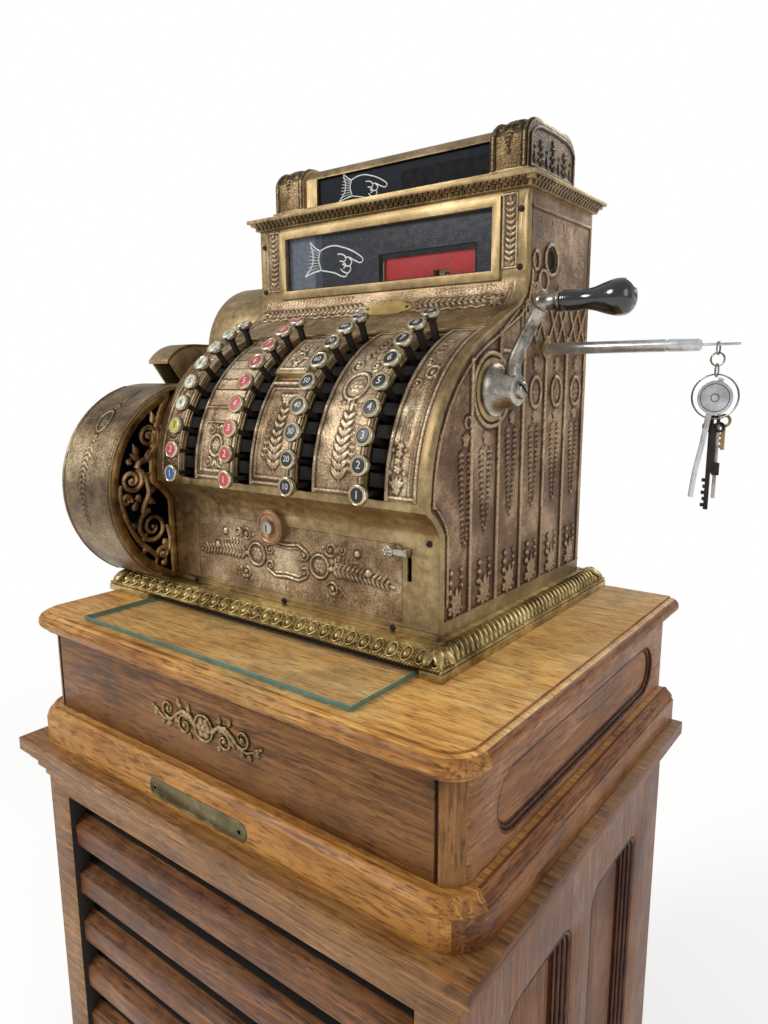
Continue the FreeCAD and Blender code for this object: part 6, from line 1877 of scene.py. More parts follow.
def build_crank():
    """Bell hub, leaning arm and collar; the pear grip turns on the spindle."""
    shape = Shape()
    face = -29.5
    axis = (1, 0, 0)
    shape.lathe([(0, 27.6), (0.7, 28.8), (2.2, 29.2), (3.4, 28.8), (4.2, 27.2), (6.5, 24.9), (9.5, 22.8),
                 (14, 20.6), (19, 19.2), (24, 18.2), (28, 17.6), (30.2, 16.8), (31, 15.4)],
                (face, CRANK_Y, CRANK_Z), axis, 48)
    screw_head(shape, (1.5, CRANK_Y, CRANK_Z), axis, 10, 7, 0, 1, 52)
    path = curved([(-5, CRANK_Y, 288), (-6.5, CRANK_Y, 303), (-5.5, CRANK_Y, 316), (2, CRANK_Y, 334),
                   (13, CRANK_Y, 354), (20.5, CRANK_Y, 367), (25, CRANK_Y, 378)], 26)
    radius = np.interp(np.linspace(0, 1, 26), [0, 0.25, 0.5, 0.8, 1], [8.6, 8.4, 7, 6.6, 8.4])
    shape.tube(path, radius, 20, 0, flat=(0, 1, 0), squash=1.16)
    shape.lathe([(0, 7.6), (1.2, 9.4), (3.2, 10.6), (7, 11), (10, 10.6), (12, 9), (14, 8.6),
                 (20, 8.8), (23, 9.6), (25, 10.8), (26.5, 11), (28, 10.6)],
                (18.5, CRANK_Y, GRIP_Z), axis, 36)
    shape.lathe([(0, 4), (70, 4)], (45.5, CRANK_Y, GRIP_Z), axis, 16)
    piece = shape.object("crank_arm_casting", ["nickel", "dark"], 42)
    finish_piece(piece, "crank", ("crank_arm",))
    inner_part("crank_arm", "crank_shaft_pinion", "steel", "crank", 206.3)

    grip = Shape()
    outer = curved([(0, 9.6), (1.2, 10.6), (7, 10.9), (14, 10.7), (24, 10), (34, 11.4), (44, 14.6),
                    (53, 17.2), (60, 18), (66.5, 16.8), (71, 13.4), (73.6, 9), (74.2, 6.4)], 44)
    profile = [(69.6, 4.4), (0, 4.4)] + [tuple(p) for p in outer]
    grip.lathe(profile, (46.9, CRANK_Y, GRIP_Z), axis, 40)
    screw_head(grip, (46.9 + 73.7, CRANK_Y, GRIP_Z), axis, 5.4, 1.5, 1, 2, 74)
    for at in (3.4, 5.6):
        ring = [(46.9 + at, CRANK_Y + 10.75 * math.cos(t), GRIP_Z + 10.75 * math.sin(t))
                for t in full_turn(36)]
        grip.tube(ring, 0.5, 6, 0, closed=True, flat=axis)
    piece = grip.object("crank_grip_turned", ["grip", "nickel", "dark"], 40)
    finish_piece(piece, "crank_grip", ("crank_grip",))


def build_rod_and_keys():
    """Release rod with its pin, and the bunch that hangs from it."""
    rod = Shape()
    rod.lathe([(0, 6.6), (0.6, 7), (216, 7), (216.6, 6.4), (218.4, 6.4), (219, 7), (251.6, 7),
               (252.6, 6.2), (253, 4.6), (253.2, 1.5), (292.2, 1.5), (293, 0.9)],
              (-103, ROD_Y, ROD_Z), (1, 0, 0), 32)
    piece = rod.object("release_rod_turned", ["silver"], 40)
    finish_piece(piece, "release_rod", ("release_rod",))

    bunch = Shape()
    turns = full_turn(24)
    for index in range(3):
        z = 330.8 - index * 11.7
        side = np.array([0, 1, 0]) if index % 2 == 0 else np.array([1, 0, 0])
        ring = [(HANG_X + side[0] * 7 * math.cos(t), ROD_Y + side[1] * 7 * math.cos(t), z + 7 * math.sin(t))
                for t in turns]
        bunch.tube(ring, 1, 8, 0, closed=True, flat=tuple(1 - side[:2]) + (0,))
    ring_z = 279
    for offset in (-0.8, 0.8):
        ring = [(HANG_X + 24 * math.cos(t), ROD_Y + offset, ring_z + 24 * math.sin(t))
                for t in full_turn(48)]
        bunch.tube(ring, 0.85, 8, 0, closed=True, flat=(0, 1, 0))
    bunch.lathe([(0, 17.8), (0.2, 18.4), (1, 18.4), (1.2, 17.8), (1, 16.6), (0.95, 5)],
                (HANG_X + 1, 277.9, ring_z - 1), (0, -1, 0), 40, 2)
    for r in (15, 4.2):
        ring = [(HANG_X + 1 + r * math.cos(t), 276.85, ring_z - 1 + r * math.sin(t)) for t in turns]
        bunch.tube(ring, 0.4, 6, 3, closed=True, flat=(0, 1, 0))
    strap = curved([(HANG_X + 6, 279.6, ring_z + 20), (HANG_X - 3, 279.4, ring_z - 10),
                    (HANG_X - 9, 279.4, ring_z - 50), (HANG_X - 15, 279.8, ring_z - 84),
                    (HANG_X - 18, 280.4, ring_z - 112)], 24)
    bunch.tube(strap, 3, 10, 2, flat=(0, 1, 0), squash=0.18)
    for cx, cz in ((0, -26), (-6, -33), (6, -33)):
        ring = [(HANG_X + cx + 4.6 * math.cos(t), ROD_Y + 4.2, ring_z + cz + 4.6 * math.sin(t))
                for t in turns]
        bunch.tube(ring, 1.5, 8, 3, closed=True, flat=(0, 1, 0))
    bunch.tube([(HANG_X, ROD_Y + 4.2, ring_z - 34), (HANG_X + 1, ROD_Y + 4.2, ring_z - 84)],
               [2.6, 2], 12, 3)
    bunch.block((HANG_X + 1, ROD_Y + 3.4, ring_z - 86), (HANG_X + 9, ROD_Y + 5, ring_z - 72), 3, 0.4)
    bunch.block((HANG_X - 4.5, ROD_Y + 1.6, ring_z - 125), (HANG_X + 0.5, ROD_Y + 3, ring_z - 20), 3, 0.5)
    bunch.block((HANG_X + 2, ROD_Y + 6, ring_z - 112), (HANG_X + 6, ROD_Y + 7.2, ring_z - 18), 0, 0.4)
    for i in range(5):
        z = ring_z - 122 + i * 7
        bunch.block((HANG_X - 8 + (i % 2) * 1.4, ROD_Y + 1.7, z), (HANG_X - 3.5, ROD_Y + 2.9, z + 4), 3,
                    0.3)
    ring = [(HANG_X + 9.5 + 6 * math.cos(t), ROD_Y + 8, ring_z - 26 + 6 * math.sin(t)) for t in turns]
    bunch.tube(ring, 1.6, 8, 4, closed=True, flat=(0, 1, 0))
    bunch.block((HANG_X + 7.4, ROD_Y + 7.2, ring_z - 58), (HANG_X + 11.6, ROD_Y + 8.8, ring_z - 31), 4, 0.5)
    for i in range(3):
        z = ring_z - 56 + i * 6
        bunch.block((HANG_X + 4.4, ROD_Y + 7.3, z), (HANG_X + 7.6, ROD_Y + 8.7, z + 3.6), 4, 0.3)
    piece = bunch.object("key_bunch", ["nickel", "steel", "silver", "steel", "brass"], 40)
    finish_piece(piece, "hanging_keys", ("hanging_keys",))


def build_small_fittings():
    """Lever, lock, number wheels and red shutter."""
    dressed("front_lever", "finger_lever", ["nickel"], "front_lever", 0.5)
    rosette = Shape()
    for i in range(6):
        a = 2 * math.pi * i / 6
        centre = (-93.5 + 4.2 * math.cos(a), 34.1, 116.5 + 4.2 * math.sin(a))
        rosette.lathe([(-0.4, 2.2), (0.3, 2.1), (0.9, 1.5), (1.2, 0.5)], centre, (0, -1, 0), 12)
    rosette.lathe([(-0.4, 2.4), (0.8, 2.2), (1.6, 1.4), (1.9, 0.4)], (-93.5, 34.1, 116.5), (0, -1, 0), 14)
    piece = rosette.object("lever_rosette", ["nickel"], 50)
    finish_piece(piece, "front_lever")

    dressed("lock_barrel", "lock_cylinder", ["nickel"], "lock_barrel", 0.3)
    ring = Shape()
    for r, wire in ((18.6, 1.9), (12.4, 1.3)):
        path = [(LOCK_X + r * math.cos(t), 36.1, LOCK_Z + r * math.sin(t))
                for t in full_turn(48)]
        ring.tube(path, wire, 10, 0, closed=True, flat=(0, 1, 0), squash=0.8)
    piece = ring.object("lock_rose", ["rose"], 50)
    finish_piece(piece)

    wheels = Shape()
    axis = (1, 0, 0)
    wheels.lathe([(0, 14.3), (9.5, 14.3), (9.6, 6), (426.4, 6), (426.5, 14.3), (435, 14.3), (436, 13.6),
                  (436, 10.6), (434, 9.8), (433.6, 3)], (-469.5, WHEEL_Y, WHEEL_Z), axis, 32, 1)
    for index in range(4):
        x1 = -104 - index * 35
        wheels.lathe([(0, 44), (0, 46.2), (1, 47), (25, 47), (26, 46.2), (26, 44), (23, 42),
                      (22, 8)], (x1 - 26, WHEEL_Y, WHEEL_Z), axis, 40, 0)
        for digit in range(10):
            t = math.radians(36 * digit + 18)
            out = np.array([0, -math.cos(t), math.sin(t)])
            up = np.array([0, math.sin(t), math.cos(t)])
            seat = np.array([x1 - 13, 287.5, 440.5]) + out * 46.8

            def on_wheel(u, v, h, seat=seat, out=out, up=up):
                point = seat + np.outer(u, (1, 0, 0)) + np.outer(v, up) + np.outer(h, out)
                return point[:, 0], point[:, 1], point[:, 2]

            wheels.label(str(digit), 19, on_wheel, 2, 1)
    piece = wheels.object("number_wheels", ["cream", "steel", "black_disc"], 40)
    finish_piece(piece, "indicator_wheels", ("indicator_wheels",))

    dressed("indicator_flash", "red_shutter", ["red_paint"], "indicator_flash", 0.3)


def winding(centre, radius, start, turns, hand, steps=20, core=0.16):
    """A spiral from its outside in to its eye, as (y, z) points."""
    t = np.linspace(0, 1, int(steps * turns) + 4)
    angle = math.radians(start) + hand * t * turns * 2 * math.pi
    reach = radius * ((1 - t) ** 0.95 * (1 - core) + core)
    return np.stack([centre[0] + reach * np.cos(angle), centre[1] + reach * np.sin(angle)], -1)


def bar(shape, path, x, width=2.5, end=1.6, mark=0, closed=False, squash=0.75):
    """A half-round cast bar through (y, z) points in a plane of constant x."""
    path = np.asarray(path, float)
    radius = np.full(len(path), width) if closed else np.linspace(width, end, len(path))
    shape.tube([(x, y, z) for y, z in path], radius, 8, mark, closed=closed, flat=(1, 0, 0), squash=squash)


def blade(shape, y, z, turn, length, width, x, mark=0):
    """A cast leaf in a plane of constant x."""
    a = math.radians(turn)
    t = np.linspace(0, 1, 9)
    path = np.stack([y + length * t * math.cos(a), z + length * t * math.sin(a)], -1)
    radius = np.maximum(np.sin(math.pi * t ** 0.7) * width / 2, 0.35)
    shape.tube([(x, p, q) for p, q in path], radius, 8, mark, flat=(1, 0, 0), squash=0.5)


def build_grilles():
    """Pierced scrollwork in both ends of the round cover."""
    shape = Shape()
    x = -472.2
    rim = []
    line = casing_front_line()
    circle = arc((DRUM_Y, DRUM_Z), 132.5, -75, 75, 90)
    inside = circle[circle[:, 0] < np.interp(circle[:, 1], line[:, 1], line[:, 0]) - 3]
    low, high = inside[:, 1].min(), inside[:, 1].max()
    edge = line[(line[:, 1] > low) & (line[:, 1] < high)] + np.array([-4, 0])
    rim = np.concatenate([inside, edge[::-1]])
    bar(shape, rim, x + 0.4, 6, 6, 1, closed=True, squash=0.32)
    top = winding((10.3, 224.3), 16, -60, 1.7, 1)
    middle = winding((-19.3, 169.3), 17, 60, 1.7, -1)
    lower = winding((9.2, 103.3), 23, 100, 1.8, 1)
    foot = winding((23, 63.7), 10, 200, 1.4, -1)
    small = winding((9.5, 200.5), 8, 90, 1.3, -1)
    little = winding((-28.6, 143.1), 8, -20, 1.3, 1)
    for path in (top, middle, lower):
        bar(shape, path, x, 3.9, 2.2)
    for path in (foot, small, little):
        bar(shape, path, x, 3.5, 2)
    bar(shape, curved([(34.2, 259.2), (26, 243), (20, 214), (18.5, 211)], 14), x, 2.2, 3.8)
    bar(shape, curved([(18.3, 210.4), (6, 196), (-6, 192), (-11, 184.2)], 14), x, 4.2, 4.2)
    bar(shape, curved([(-11, 184.2), (2, 172), (6, 150), (-2, 134), (-4, 124), (5.2, 126)], 22), x,
        4, 4.2)
    bar(shape, curved([(-36, 164), (-38, 150), (-34, 128), (-24, 104), (-12, 84), (2, 72),
                       (13.6, 60.3)], 24), x, 3.8, 4)
    bar(shape, curved([(13.6, 60.3), (10, 48), (13.9, 34.4)], 10), x, 3.2, 2.4)
    bar(shape, curved([(32, 103.3), (36, 84), (33, 66)], 10), x, 4, 2.8)
    bar(shape, curved([(9, 208), (16, 190), (10, 176), (-2, 176)], 12), x, 3.4, 2.2)
    for y, z, turn, length in ((20, 240, 100, 18), (27, 232, 60, 15), (-6, 196, 150, 15),
                               (-8, 200, 110, 17), (12, 188, 20, 12), (4, 152, 10, 15),
                               (2, 142, -30, 15), (-36, 132, -150, 9), (-20, 128, 60, 15),
                               (-26, 106, 20, 14), (-8, 84, 60, 13), (24, 84, -60, 14),
                               (8, 50, 150, 11), (20, 46, 50, 12), (16, 40, -90, 12),
                               (34, 92, 60, 13), (-14, 150, -60, 12), (28, 250, 60, 12),
                               (-24, 190, 60, 10), (-2, 78, -120, 12)):
        blade(shape, y, z, turn, length * 1.1, 10, x)
    for y, z in ((10.3, 224.3), (-19.3, 169.3), (9.2, 103.3), (23, 63.7)):
        shape.lathe([(-1.8, 3.4), (1.8, 3.4), (2.6, 2.4), (3, 0.8)], (x, y, z), (1, 0, 0), 16)
    piece = shape.object("right_scrollwork", ["grille", "rust_rim"], 50)
    finish_piece(piece, "stand", ("scroll_grille",))

    disc = Shape()
    x = -578.8
    for r, width in ((133.4, 4.2), (125.5, 1.6), (34, 2.6)):
        ring = [(DRUM_Y + r * math.cos(t), DRUM_Z + r * math.sin(t))
                for t in full_turn(96)]
        bar(disc, ring, x, width, width, 1 if r > 130 else 0, closed=True)
    for i in range(8):
        a = 2 * math.pi * i / 8
        away = np.array([math.cos(a), math.sin(a)])
        side = np.array([-away[1], away[0]])
        centre = np.array([DRUM_Y, DRUM_Z])

        def at(r, s, away=away, side=side, centre=centre):
            return centre + away * r + side * s

        degrees = math.degrees(a)
        bar(disc, [at(34, 0), at(124, 0)], x, 2, 2)
        for hand in (-1, 1):
            bar(disc, winding(at(98, hand * 20), 16, degrees - hand * 90, 1.6, hand), x, 2.8, 1.6)
            bar(disc, winding(at(62, hand * 11.5), 9.5, degrees - hand * 90, 1.4, -hand), x, 2.2, 1.4)
            blade(disc, *at(76, hand * 4), degrees + hand * 55, 18, 7, x)
            blade(disc, *at(118, hand * 6), degrees + hand * 60, 16, 6, x)
        blade(disc, *at(12, 0), degrees, 22, 10, x)
    disc.lathe([(-1, 12), (-2.4, 11), (-3.6, 7), (-4, 2)], (x + 1.5, DRUM_Y, DRUM_Z), (1, 0, 0), 24)
    piece = disc.object("left_scrollwork", ["grille", "rust_rim"], 50)
    finish_piece(piece, "stand", ("scroll_grille",))


# repeated ornament


def repeat_group():
    """Geometry nodes that set a motif along curves at an even pitch and turn it with them."""
    group = bpy.data.node_groups.new("repeat_along", "GeometryNodeTree")
    face = group.interface
    face.new_socket("Geometry", in_out="INPUT", socket_type="NodeSocketGeometry")
    face.new_socket("Motif", in_out="INPUT", socket_type="NodeSocketObject")
    pitch = face.new_socket("Pitch", in_out="INPUT", socket_type="NodeSocketFloat")
    pitch.subtype = "DISTANCE"
    face.new_socket("Finish", in_out="INPUT", socket_type="NodeSocketMaterial")
    face.new_socket("Geometry", in_out="OUTPUT", socket_type="NodeSocketGeometry")
    nodes, links = group.nodes, group.links
    start = nodes.new("NodeGroupInput")
    end = nodes.new("NodeGroupOutput")
    sample = nodes.new("GeometryNodeResampleCurve")
    sample.mode = "LENGTH"
    tangent = nodes.new("GeometryNodeInputTangent")
    align = nodes.new("FunctionNodeAlignRotationToVector")
    align.axis = "X"
    align.pivot_axis = "Z"
    info = nodes.new("GeometryNodeObjectInfo")
    spread = nodes.new("GeometryNodeInstanceOnPoints")
    real = nodes.new("GeometryNodeRealizeInstances")
    paint = nodes.new("GeometryNodeSetMaterial")
    links.new(start.outputs["Geometry"], sample.inputs["Curve"])
    links.new(start.outputs["Pitch"], sample.inputs["Length"])
    links.new(start.outputs["Motif"], info.inputs["Object"])
    links.new(tangent.outputs["Tangent"], align.inputs["Vector"])
    links.new(sample.outputs["Curve"], spread.inputs["Points"])
    links.new(info.outputs["Geometry"], spread.inputs["Instance"])
    links.new(align.outputs["Rotation"], spread.inputs["Rotation"])
    links.new(spread.outputs["Instances"], real.inputs["Geometry"])
    links.new(real.outputs["Geometry"], paint.inputs["Geometry"])
    links.new(start.outputs["Finish"], paint.inputs["Material"])
    links.new(paint.outputs["Geometry"], end.inputs["Geometry"])
    return group


def repeat_along(name, runs, motif, pitch, finish, body, lift=0.6):
    """A motif repeated along straight runs, baked to one plain mesh."""
    curve = bpy.data.curves.new(name + "_path", "CURVE")
    curve.dimensions = "3D"
    for run in runs:
        spline = curve.splines.new("POLY")
        spline.points.add(len(run) - 1)
        for point, place in zip(spline.points, run):
            point.co = (*(np.asarray(place, float) * MM + HEAD), 1)
    holder = bpy.data.objects.new(name + "_path", curve)
    bpy.context.scene.collection.objects.link(holder)
    group = bpy.data.node_groups.get("repeat_along") or repeat_group()
    made = holder.modifiers.new("repeat", "NODES")
    made.node_group = group
    keys = {item.name: item.identifier for item in group.interface.items_tree if item.in_out == "INPUT"}
    made[keys["Motif"]] = motif
    made[keys["Pitch"]] = pitch * MM
    made[keys["Finish"]] = FINISH[finish]
    bpy.context.view_layer.update()
    done = holder.evaluated_get(bpy.context.evaluated_depsgraph_get())
    mesh = bpy.data.meshes.new_from_object(done)
    mesh.name = name
    bpy.data.objects.remove(holder)
    bpy.data.curves.remove(curve)
    bpy.data.objects.remove(motif)
    smooth(mesh, 50)
    point_values(mesh, "lift", np.full(len(mesh.vertices), lift))
    piece = bpy.data.objects.new(name, mesh)
    bpy.context.scene.collection.objects.link(piece)
    return finish_piece(piece, body)


def motif_object(shape, name):
    """A motif for repeat_along, kept out of the scene."""
    piece = shape.object(name, ["brass"], 50)
    bpy.context.scene.collection.objects.unlink(piece)
    return piece


def straight_runs(x0, x1, y0, y1, end):
    """Four sides of a rectangle, each run shortened at its ends; z is 0."""
    return (((x0 + end, y0, 0), (x1 - end, y0, 0)), ((x1, y0 + end, 0), (x1, y1 - end, 0)),
            ((x1 - end, y1, 0), (x0 + end, y1, 0)), ((x0, y1 - end, 0), (x0, y0 + end, 0)))


def build_repeats():
    """Cornice bars, base lobes, egg row and rope band."""
    bar_shape = Shape(FLOOR)
    outline = ((-4.2, 514.6), (-6.9, 515.4), (-8.4, 518), (-9.4, 519.8), (-12, 520.8), (-13.5, 522.6),
               (-13.6, 523.9), (-4.2, 523.9))
    bar_shape.rings([[(x, y, z) for y, z in outline] for x in (-2.7, 2.7)])
    repeat_along("cornice_bars", straight_runs(CASING_LEFT, CASING_RIGHT, HOUSING_FRONT, CASING_BACK, 2),
                 motif_object(bar_shape, "cornice_bar"), 8.1, "brass_deep", "stand")

    lobe = Shape(FLOOR)
    path = curved([(-4.5, 5, 13), (-2.5, 8, 18.2), (1.5, 12.8, 21.6), (5.5, 18.6, 24), (7.5, 23, 25.2)], 12)
    radius = np.interp(np.linspace(0, 1, 12), [0, 0.2, 0.6, 1], [2.2, 3.9, 4.2, 2.4])
    lobe.tube(path, radius, 10)
    rib = path + np.array([5.1, 0, 0.4])
    lobe.tube(rib, radius * 0.24, 6)
    base = straight_runs(-572, 0, 0, 440, 12)
    repeat_along("base_lobes", base[1:], motif_object(lobe, "base_lobe"), 10, "base", "stand",
                 0.45)

    egg = Shape(FLOOR)
    slope = np.array([0, -0.62, 0.785])
    across = np.array([0, 0.785, 0.62])
    turns = full_turn(18)
    centre = np.array([0, 10, 19.2])
    shell = [centre + np.array([6.2 * math.cos(t), 0, 0]) + across * 9 * math.sin(t) for t in turns]
    egg.tube(shell, 1.5, 8, closed=True, flat=tuple(slope))
    egg.rings([[centre + slope * level + np.array([r * math.cos(t), 0, 0]) + across * r * 1.45 * math.sin(t)
                for t in turns] for level, r in ((-0.8, 4), (0.8, 3.9), (2, 3.2), (2.8, 1.9), (3, 0.3))])
    for s in (-8, -2.7, 2.7, 8):
        egg.lathe([(-0.8, 1.3), (0.6, 1.1), (1.3, 0.3)], centre + np.array([9.4, 0, 0]) + across * s, slope,
                  8)
    repeat_along("base_eggs", base[:1], motif_object(egg, "base_egg"), 18.8, "base", "stand",
                 0.5)

    # A dark strip painted as the shade in the slot above the plate glass.
    slot = Shape()
    slot.block((-471, 1, 6.2), (-33, 3, 8.9), 0, 0.05)
    finish_piece(slot.object("glass_slot_shade", ["dark"], 40), "stand")

    twist = Shape(FLOOR)
    twist.tube([(-2.4, 3.2, 9.4), (-1.4, 2.2, 10.4), (1.4, 2.2, 12.4), (2.4, 3.2, 13.4)],
               [0.5, 1.4, 1.4, 0.5], 8)
    repeat_along("base_rope", straight_runs(-572, 0, 0, 440, 3), motif_object(twist, "rope_twist"), 3.9,
                 "base", "stand", 0.4)

    corner = Shape()
    for cx, cy, a in ((0, 0, -45), (0, 440, 45), (-572, 440, 135), (-572, 0, -135)):
        for lean in (-34, 0, 34):
            t = math.radians(a + lean)
            out = np.array([math.cos(t), math.sin(t), 0])
            middle = np.array([cx, cy, 0]) - np.array([math.cos(math.radians(a)), math.sin(math.radians(a)),
                                                         0]) * 34
            path = curved([middle + out * 2 + (0, 0, 26), middle + out * 12 + (0, 0, 25.6),
                           middle + out * 20 + (0, 0, 22.6), middle + out * 26 + (0, 0, 17.4),
                           middle + out * (29 if lean == 0 else 25) + (0, 0, 11.5)], 14)
            radius = np.maximum(np.sin(math.pi * np.linspace(0.02, 1, 14) ** 0.7) * 6.4, 0.5)
            corner.tube(path, radius, 10, squash=0.42, flat=(0, 0, 1))
    piece = corner.object("base_corner_leaves", ["base"], 50)
    point_values(piece.data, "lift", np.full(len(piece.data.vertices), 0.5))
    finish_piece(piece)


# stage


# the photo's camera: its focal length in pixels, its place in metres and its three directions
PHOTO_HEIGHT = 1024
FOCAL_PIXELS = 736.12
SENSOR_HEIGHT = 36
CAMERA_PLACE = (0.6067, -0.7444, 1.340)
CAMERA_RIGHT = Vector((0.79694, 0.60405, -0.00361))
CAMERA_UP = Vector((-0.10507, 0.14450, 0.98391))
CAMERA_BACK = Vector((0.59485, -0.78374, 0.17863))
FLOOR_REACH = 14


def build_stage(settings):
    """Pale floor, white surroundings, soft lights and the photo's camera."""
    scene = bpy.context.scene
    scene.view_settings.view_transform = "Standard"
    f = Finish("studio_floor")
    p = f.place()
    tone = f.mix(f.noise(p, 1.4, 3), srgb(236, 236, 235), srgb(244, 244, 243))
    away = f.node("ShaderNodeVectorMath", {"operation": "LENGTH"}, {0: p}, out="Value")
    far = f.fade(away, 1, 3.2)
    floor_finish = f.close({"Base Color": f.mix(far, tone, (0, 0, 0, 1)), "Roughness": 0.9,
                            "Specular IOR Level": 0, "Emission Strength": 1,
                            "Emission Color": f.mix(far, (0.3, 0.3, 0.3, 1), (1, 1, 1, 1))})
    mesh = bpy.data.meshes.new("studio_floor")
    corners = ((-1, -1), (1, -1), (1, 1), (-1, 1))
    mesh.from_pydata([(x * FLOOR_REACH, y * FLOOR_REACH, -0.0005) for x, y in corners], [], [(0, 1, 2, 3)])
    mesh.materials.append(floor_finish)
    floor = bpy.data.objects.new("studio_floor", mesh)
    scene.collection.objects.link(floor)

    world = bpy.data.worlds.new("studio")
    world.use_nodes = True
    tree = world.node_tree
    tree.nodes.clear()
    rays = tree.nodes.new("ShaderNodeLightPath")
    seen = tree.nodes.new("ShaderNodeMath")
    seen.operation = "MAXIMUM"
    tree.links.new(rays.outputs["Is Camera Ray"], seen.inputs[0])
    tree.links.new(rays.outputs["Is Transmission Ray"], seen.inputs[1])
    white = tree.nodes.new("ShaderNodeBackground")
    white.inputs["Color"].default_value = (1, 1, 1, 1)
    white.inputs["Strength"].default_value = 1
    soft = tree.nodes.new("ShaderNodeBackground")
    soft.inputs["Color"].default_value = (1, 1, 1, 1)
    soft.inputs["Strength"].default_value = settings.surround
    mixed = tree.nodes.new("ShaderNodeMixShader")
    tree.links.new(seen.outputs[0], mixed.inputs["Fac"])
    tree.links.new(soft.outputs[0], mixed.inputs[1])
    tree.links.new(white.outputs[0], mixed.inputs[2])
    out = tree.nodes.new("ShaderNodeOutputWorld")
    tree.links.new(mixed.outputs[0], out.inputs["Surface"])
    scene.world = world

    for name, place, aim, wide, power in (
            ("key_light", (-1.7, -2.4, 3), (0, 0, 1.1), 1.2, settings.key_power),
            ("fill_light", (2.8, -0.9, 2.2), (0.1, 0, 1.1), 1.8, settings.key_power * 0.3),
            ("back_light", (0.6, 2.6, 2.8), (0, 0, 1.2), 1.6, settings.key_power * 0.45)):
        lamp = bpy.data.lights.new(name, "AREA")
        lamp.shape = "DISK"
        lamp.size = wide
        lamp.energy = power
        holder = bpy.data.objects.new(name, lamp)
        holder.location = place
        holder.rotation_euler = (Vector(aim) - Vector(place)).to_track_quat("-Z", "Y").to_euler()
        scene.collection.objects.link(holder)

    view = bpy.data.cameras.new("photo_camera")
    view.sensor_fit = "VERTICAL"
    view.sensor_height = SENSOR_HEIGHT
    view.lens = FOCAL_PIXELS / PHOTO_HEIGHT * SENSOR_HEIGHT
    view.clip_end = 60
    camera = bpy.data.objects.new("photo_camera", view)
    turn = Matrix((CAMERA_RIGHT, CAMERA_UP, CAMERA_BACK)).transposed()
    camera.matrix_world = Matrix.Translation(CAMERA_PLACE) @ turn.to_4x4()
    scene.collection.objects.link(camera)
    scene.camera = camera


# add-on


class RegisterSettings(bpy.types.PropertyGroup):
    """What a user may want to change."""

    surround: bpy.props.FloatProperty(name="Surround light",
                                      description="Strength of the even light from all round", default=0.5,
                                      min=0, subtype="FACTOR")
    key_power: bpy.props.FloatProperty(name="Main light", description="Power of the largest lamp",
                                       default=51, min=0, subtype="POWER", unit="POWER")


class REGISTER_OT_finishes(bpy.types.Operator):
    """Make the finishes that all pieces share"""

    bl_idname = "register.finishes"
    bl_label = "Finishes"

    def execute(self, context):
        FINISH.update(build_finishes())
        return {"FINISHED"}


class REGISTER_OT_cabinet(bpy.types.Operator):
    """Dress the oak cabinet, drawer case, drawer and slab"""

    bl_idname = "register.cabinet"
    bl_label = "Cabinet"

    def execute(self, context):
        build_cabinet()
        return {"FINISHED"}


class REGISTER_OT_head(bpy.types.Operator):
    """Dress the castings of the head"""

    bl_idname = "register.head"
    bl_label = "Head castings"

    def execute(self, context):
        build_head()
        build_repeats()
        return {"FINISHED"}


class REGISTER_OT_relief(bpy.types.Operator):
    """Lay the cast ornament over the head"""

    bl_idname = "register.relief"
    bl_label = "Relief"

    def execute(self, context):
        side_sheets()
        lower_front_sheet()
        strip_sheets()
        frieze_sheet()
        pilaster_sheets()
        hood_sheets()
        drum_sheet()
        return {"FINISHED"}


class REGISTER_OT_scrollwork(bpy.types.Operator):
    """Set the pierced scrollwork in the round cover"""

    bl_idname = "register.scrollwork"
    bl_label = "Scrollwork"

    def execute(self, context):
        build_grilles()
        return {"FINISHED"}


class REGISTER_OT_keys(bpy.types.Operator):
    """Make the thirty-six keys"""

    bl_idname = "register.keys"
    bl_label = "Keys"

    def execute(self, context):
        build_keys()
        return {"FINISHED"}


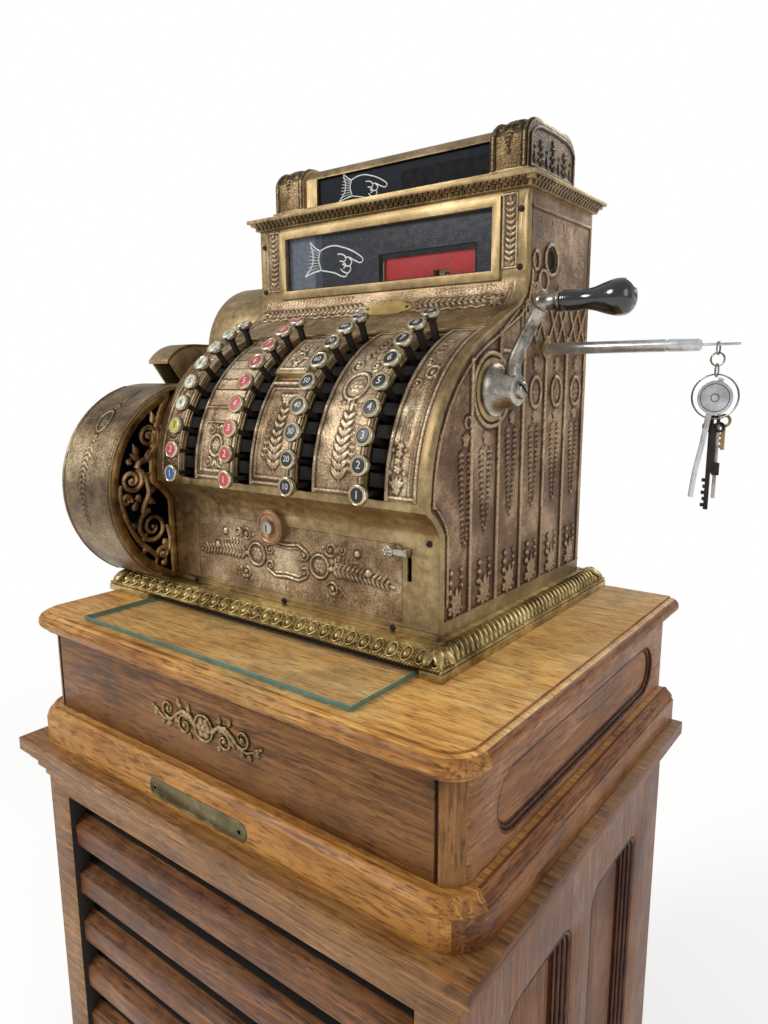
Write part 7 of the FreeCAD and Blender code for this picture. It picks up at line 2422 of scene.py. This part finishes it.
class REGISTER_OT_windows(bpy.types.Operator):
    """Make the painted panes and the plate glass"""

    bl_idname = "register.windows"
    bl_label = "Windows"

    def execute(self, context):
        build_windows()
        return {"FINISHED"}


class REGISTER_OT_fittings(bpy.types.Operator):
    """Make the plates, crank, rod, hanging keys, lever, lock, wheels and shutter"""

    bl_idname = "register.fittings"
    bl_label = "Fittings"

    def execute(self, context):
        build_plates()
        build_crank()
        build_rod_and_keys()
        build_small_fittings()
        return {"FINISHED"}


class REGISTER_OT_stage(bpy.types.Operator):
    """Set up the floor, lights and camera"""

    bl_idname = "register.stage"
    bl_label = "Stage"

    def execute(self, context):
        build_stage(context.scene.register_settings)
        return {"FINISHED"}


OPERATORS = (REGISTER_OT_finishes, REGISTER_OT_cabinet, REGISTER_OT_head, REGISTER_OT_relief,
             REGISTER_OT_scrollwork, REGISTER_OT_keys, REGISTER_OT_windows, REGISTER_OT_fittings,
             REGISTER_OT_stage)


class REGISTER_PT_panel(bpy.types.Panel):
    """Steps that dress the register"""

    bl_idname = "REGISTER_PT_panel"
    bl_label = "Ticket register"
    bl_space_type = "VIEW_3D"
    bl_region_type = "UI"
    bl_category = "Register"

    def draw(self, context):
        settings = context.scene.register_settings
        self.layout.prop(settings, "surround")
        self.layout.prop(settings, "key_power")
        for operator in OPERATORS:
            self.layout.operator(operator.bl_idname)


CLASSES = (RegisterSettings, *OPERATORS, REGISTER_PT_panel)


def register():
    for made in CLASSES:
        bpy.utils.register_class(made)
    bpy.types.Scene.register_settings = bpy.props.PointerProperty(type=RegisterSettings)


def unregister():
    del bpy.types.Scene.register_settings
    for made in reversed(CLASSES):
        bpy.utils.unregister_class(made)


def main():
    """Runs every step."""
    register()
    bpy.ops.register.finishes()
    bpy.ops.register.cabinet()
    bpy.ops.register.head()
    bpy.ops.register.relief()
    bpy.ops.register.scrollwork()
    bpy.ops.register.keys()
    bpy.ops.register.windows()
    bpy.ops.register.fittings()
    bpy.ops.register.stage()


if __name__ == "__main__":
    main()
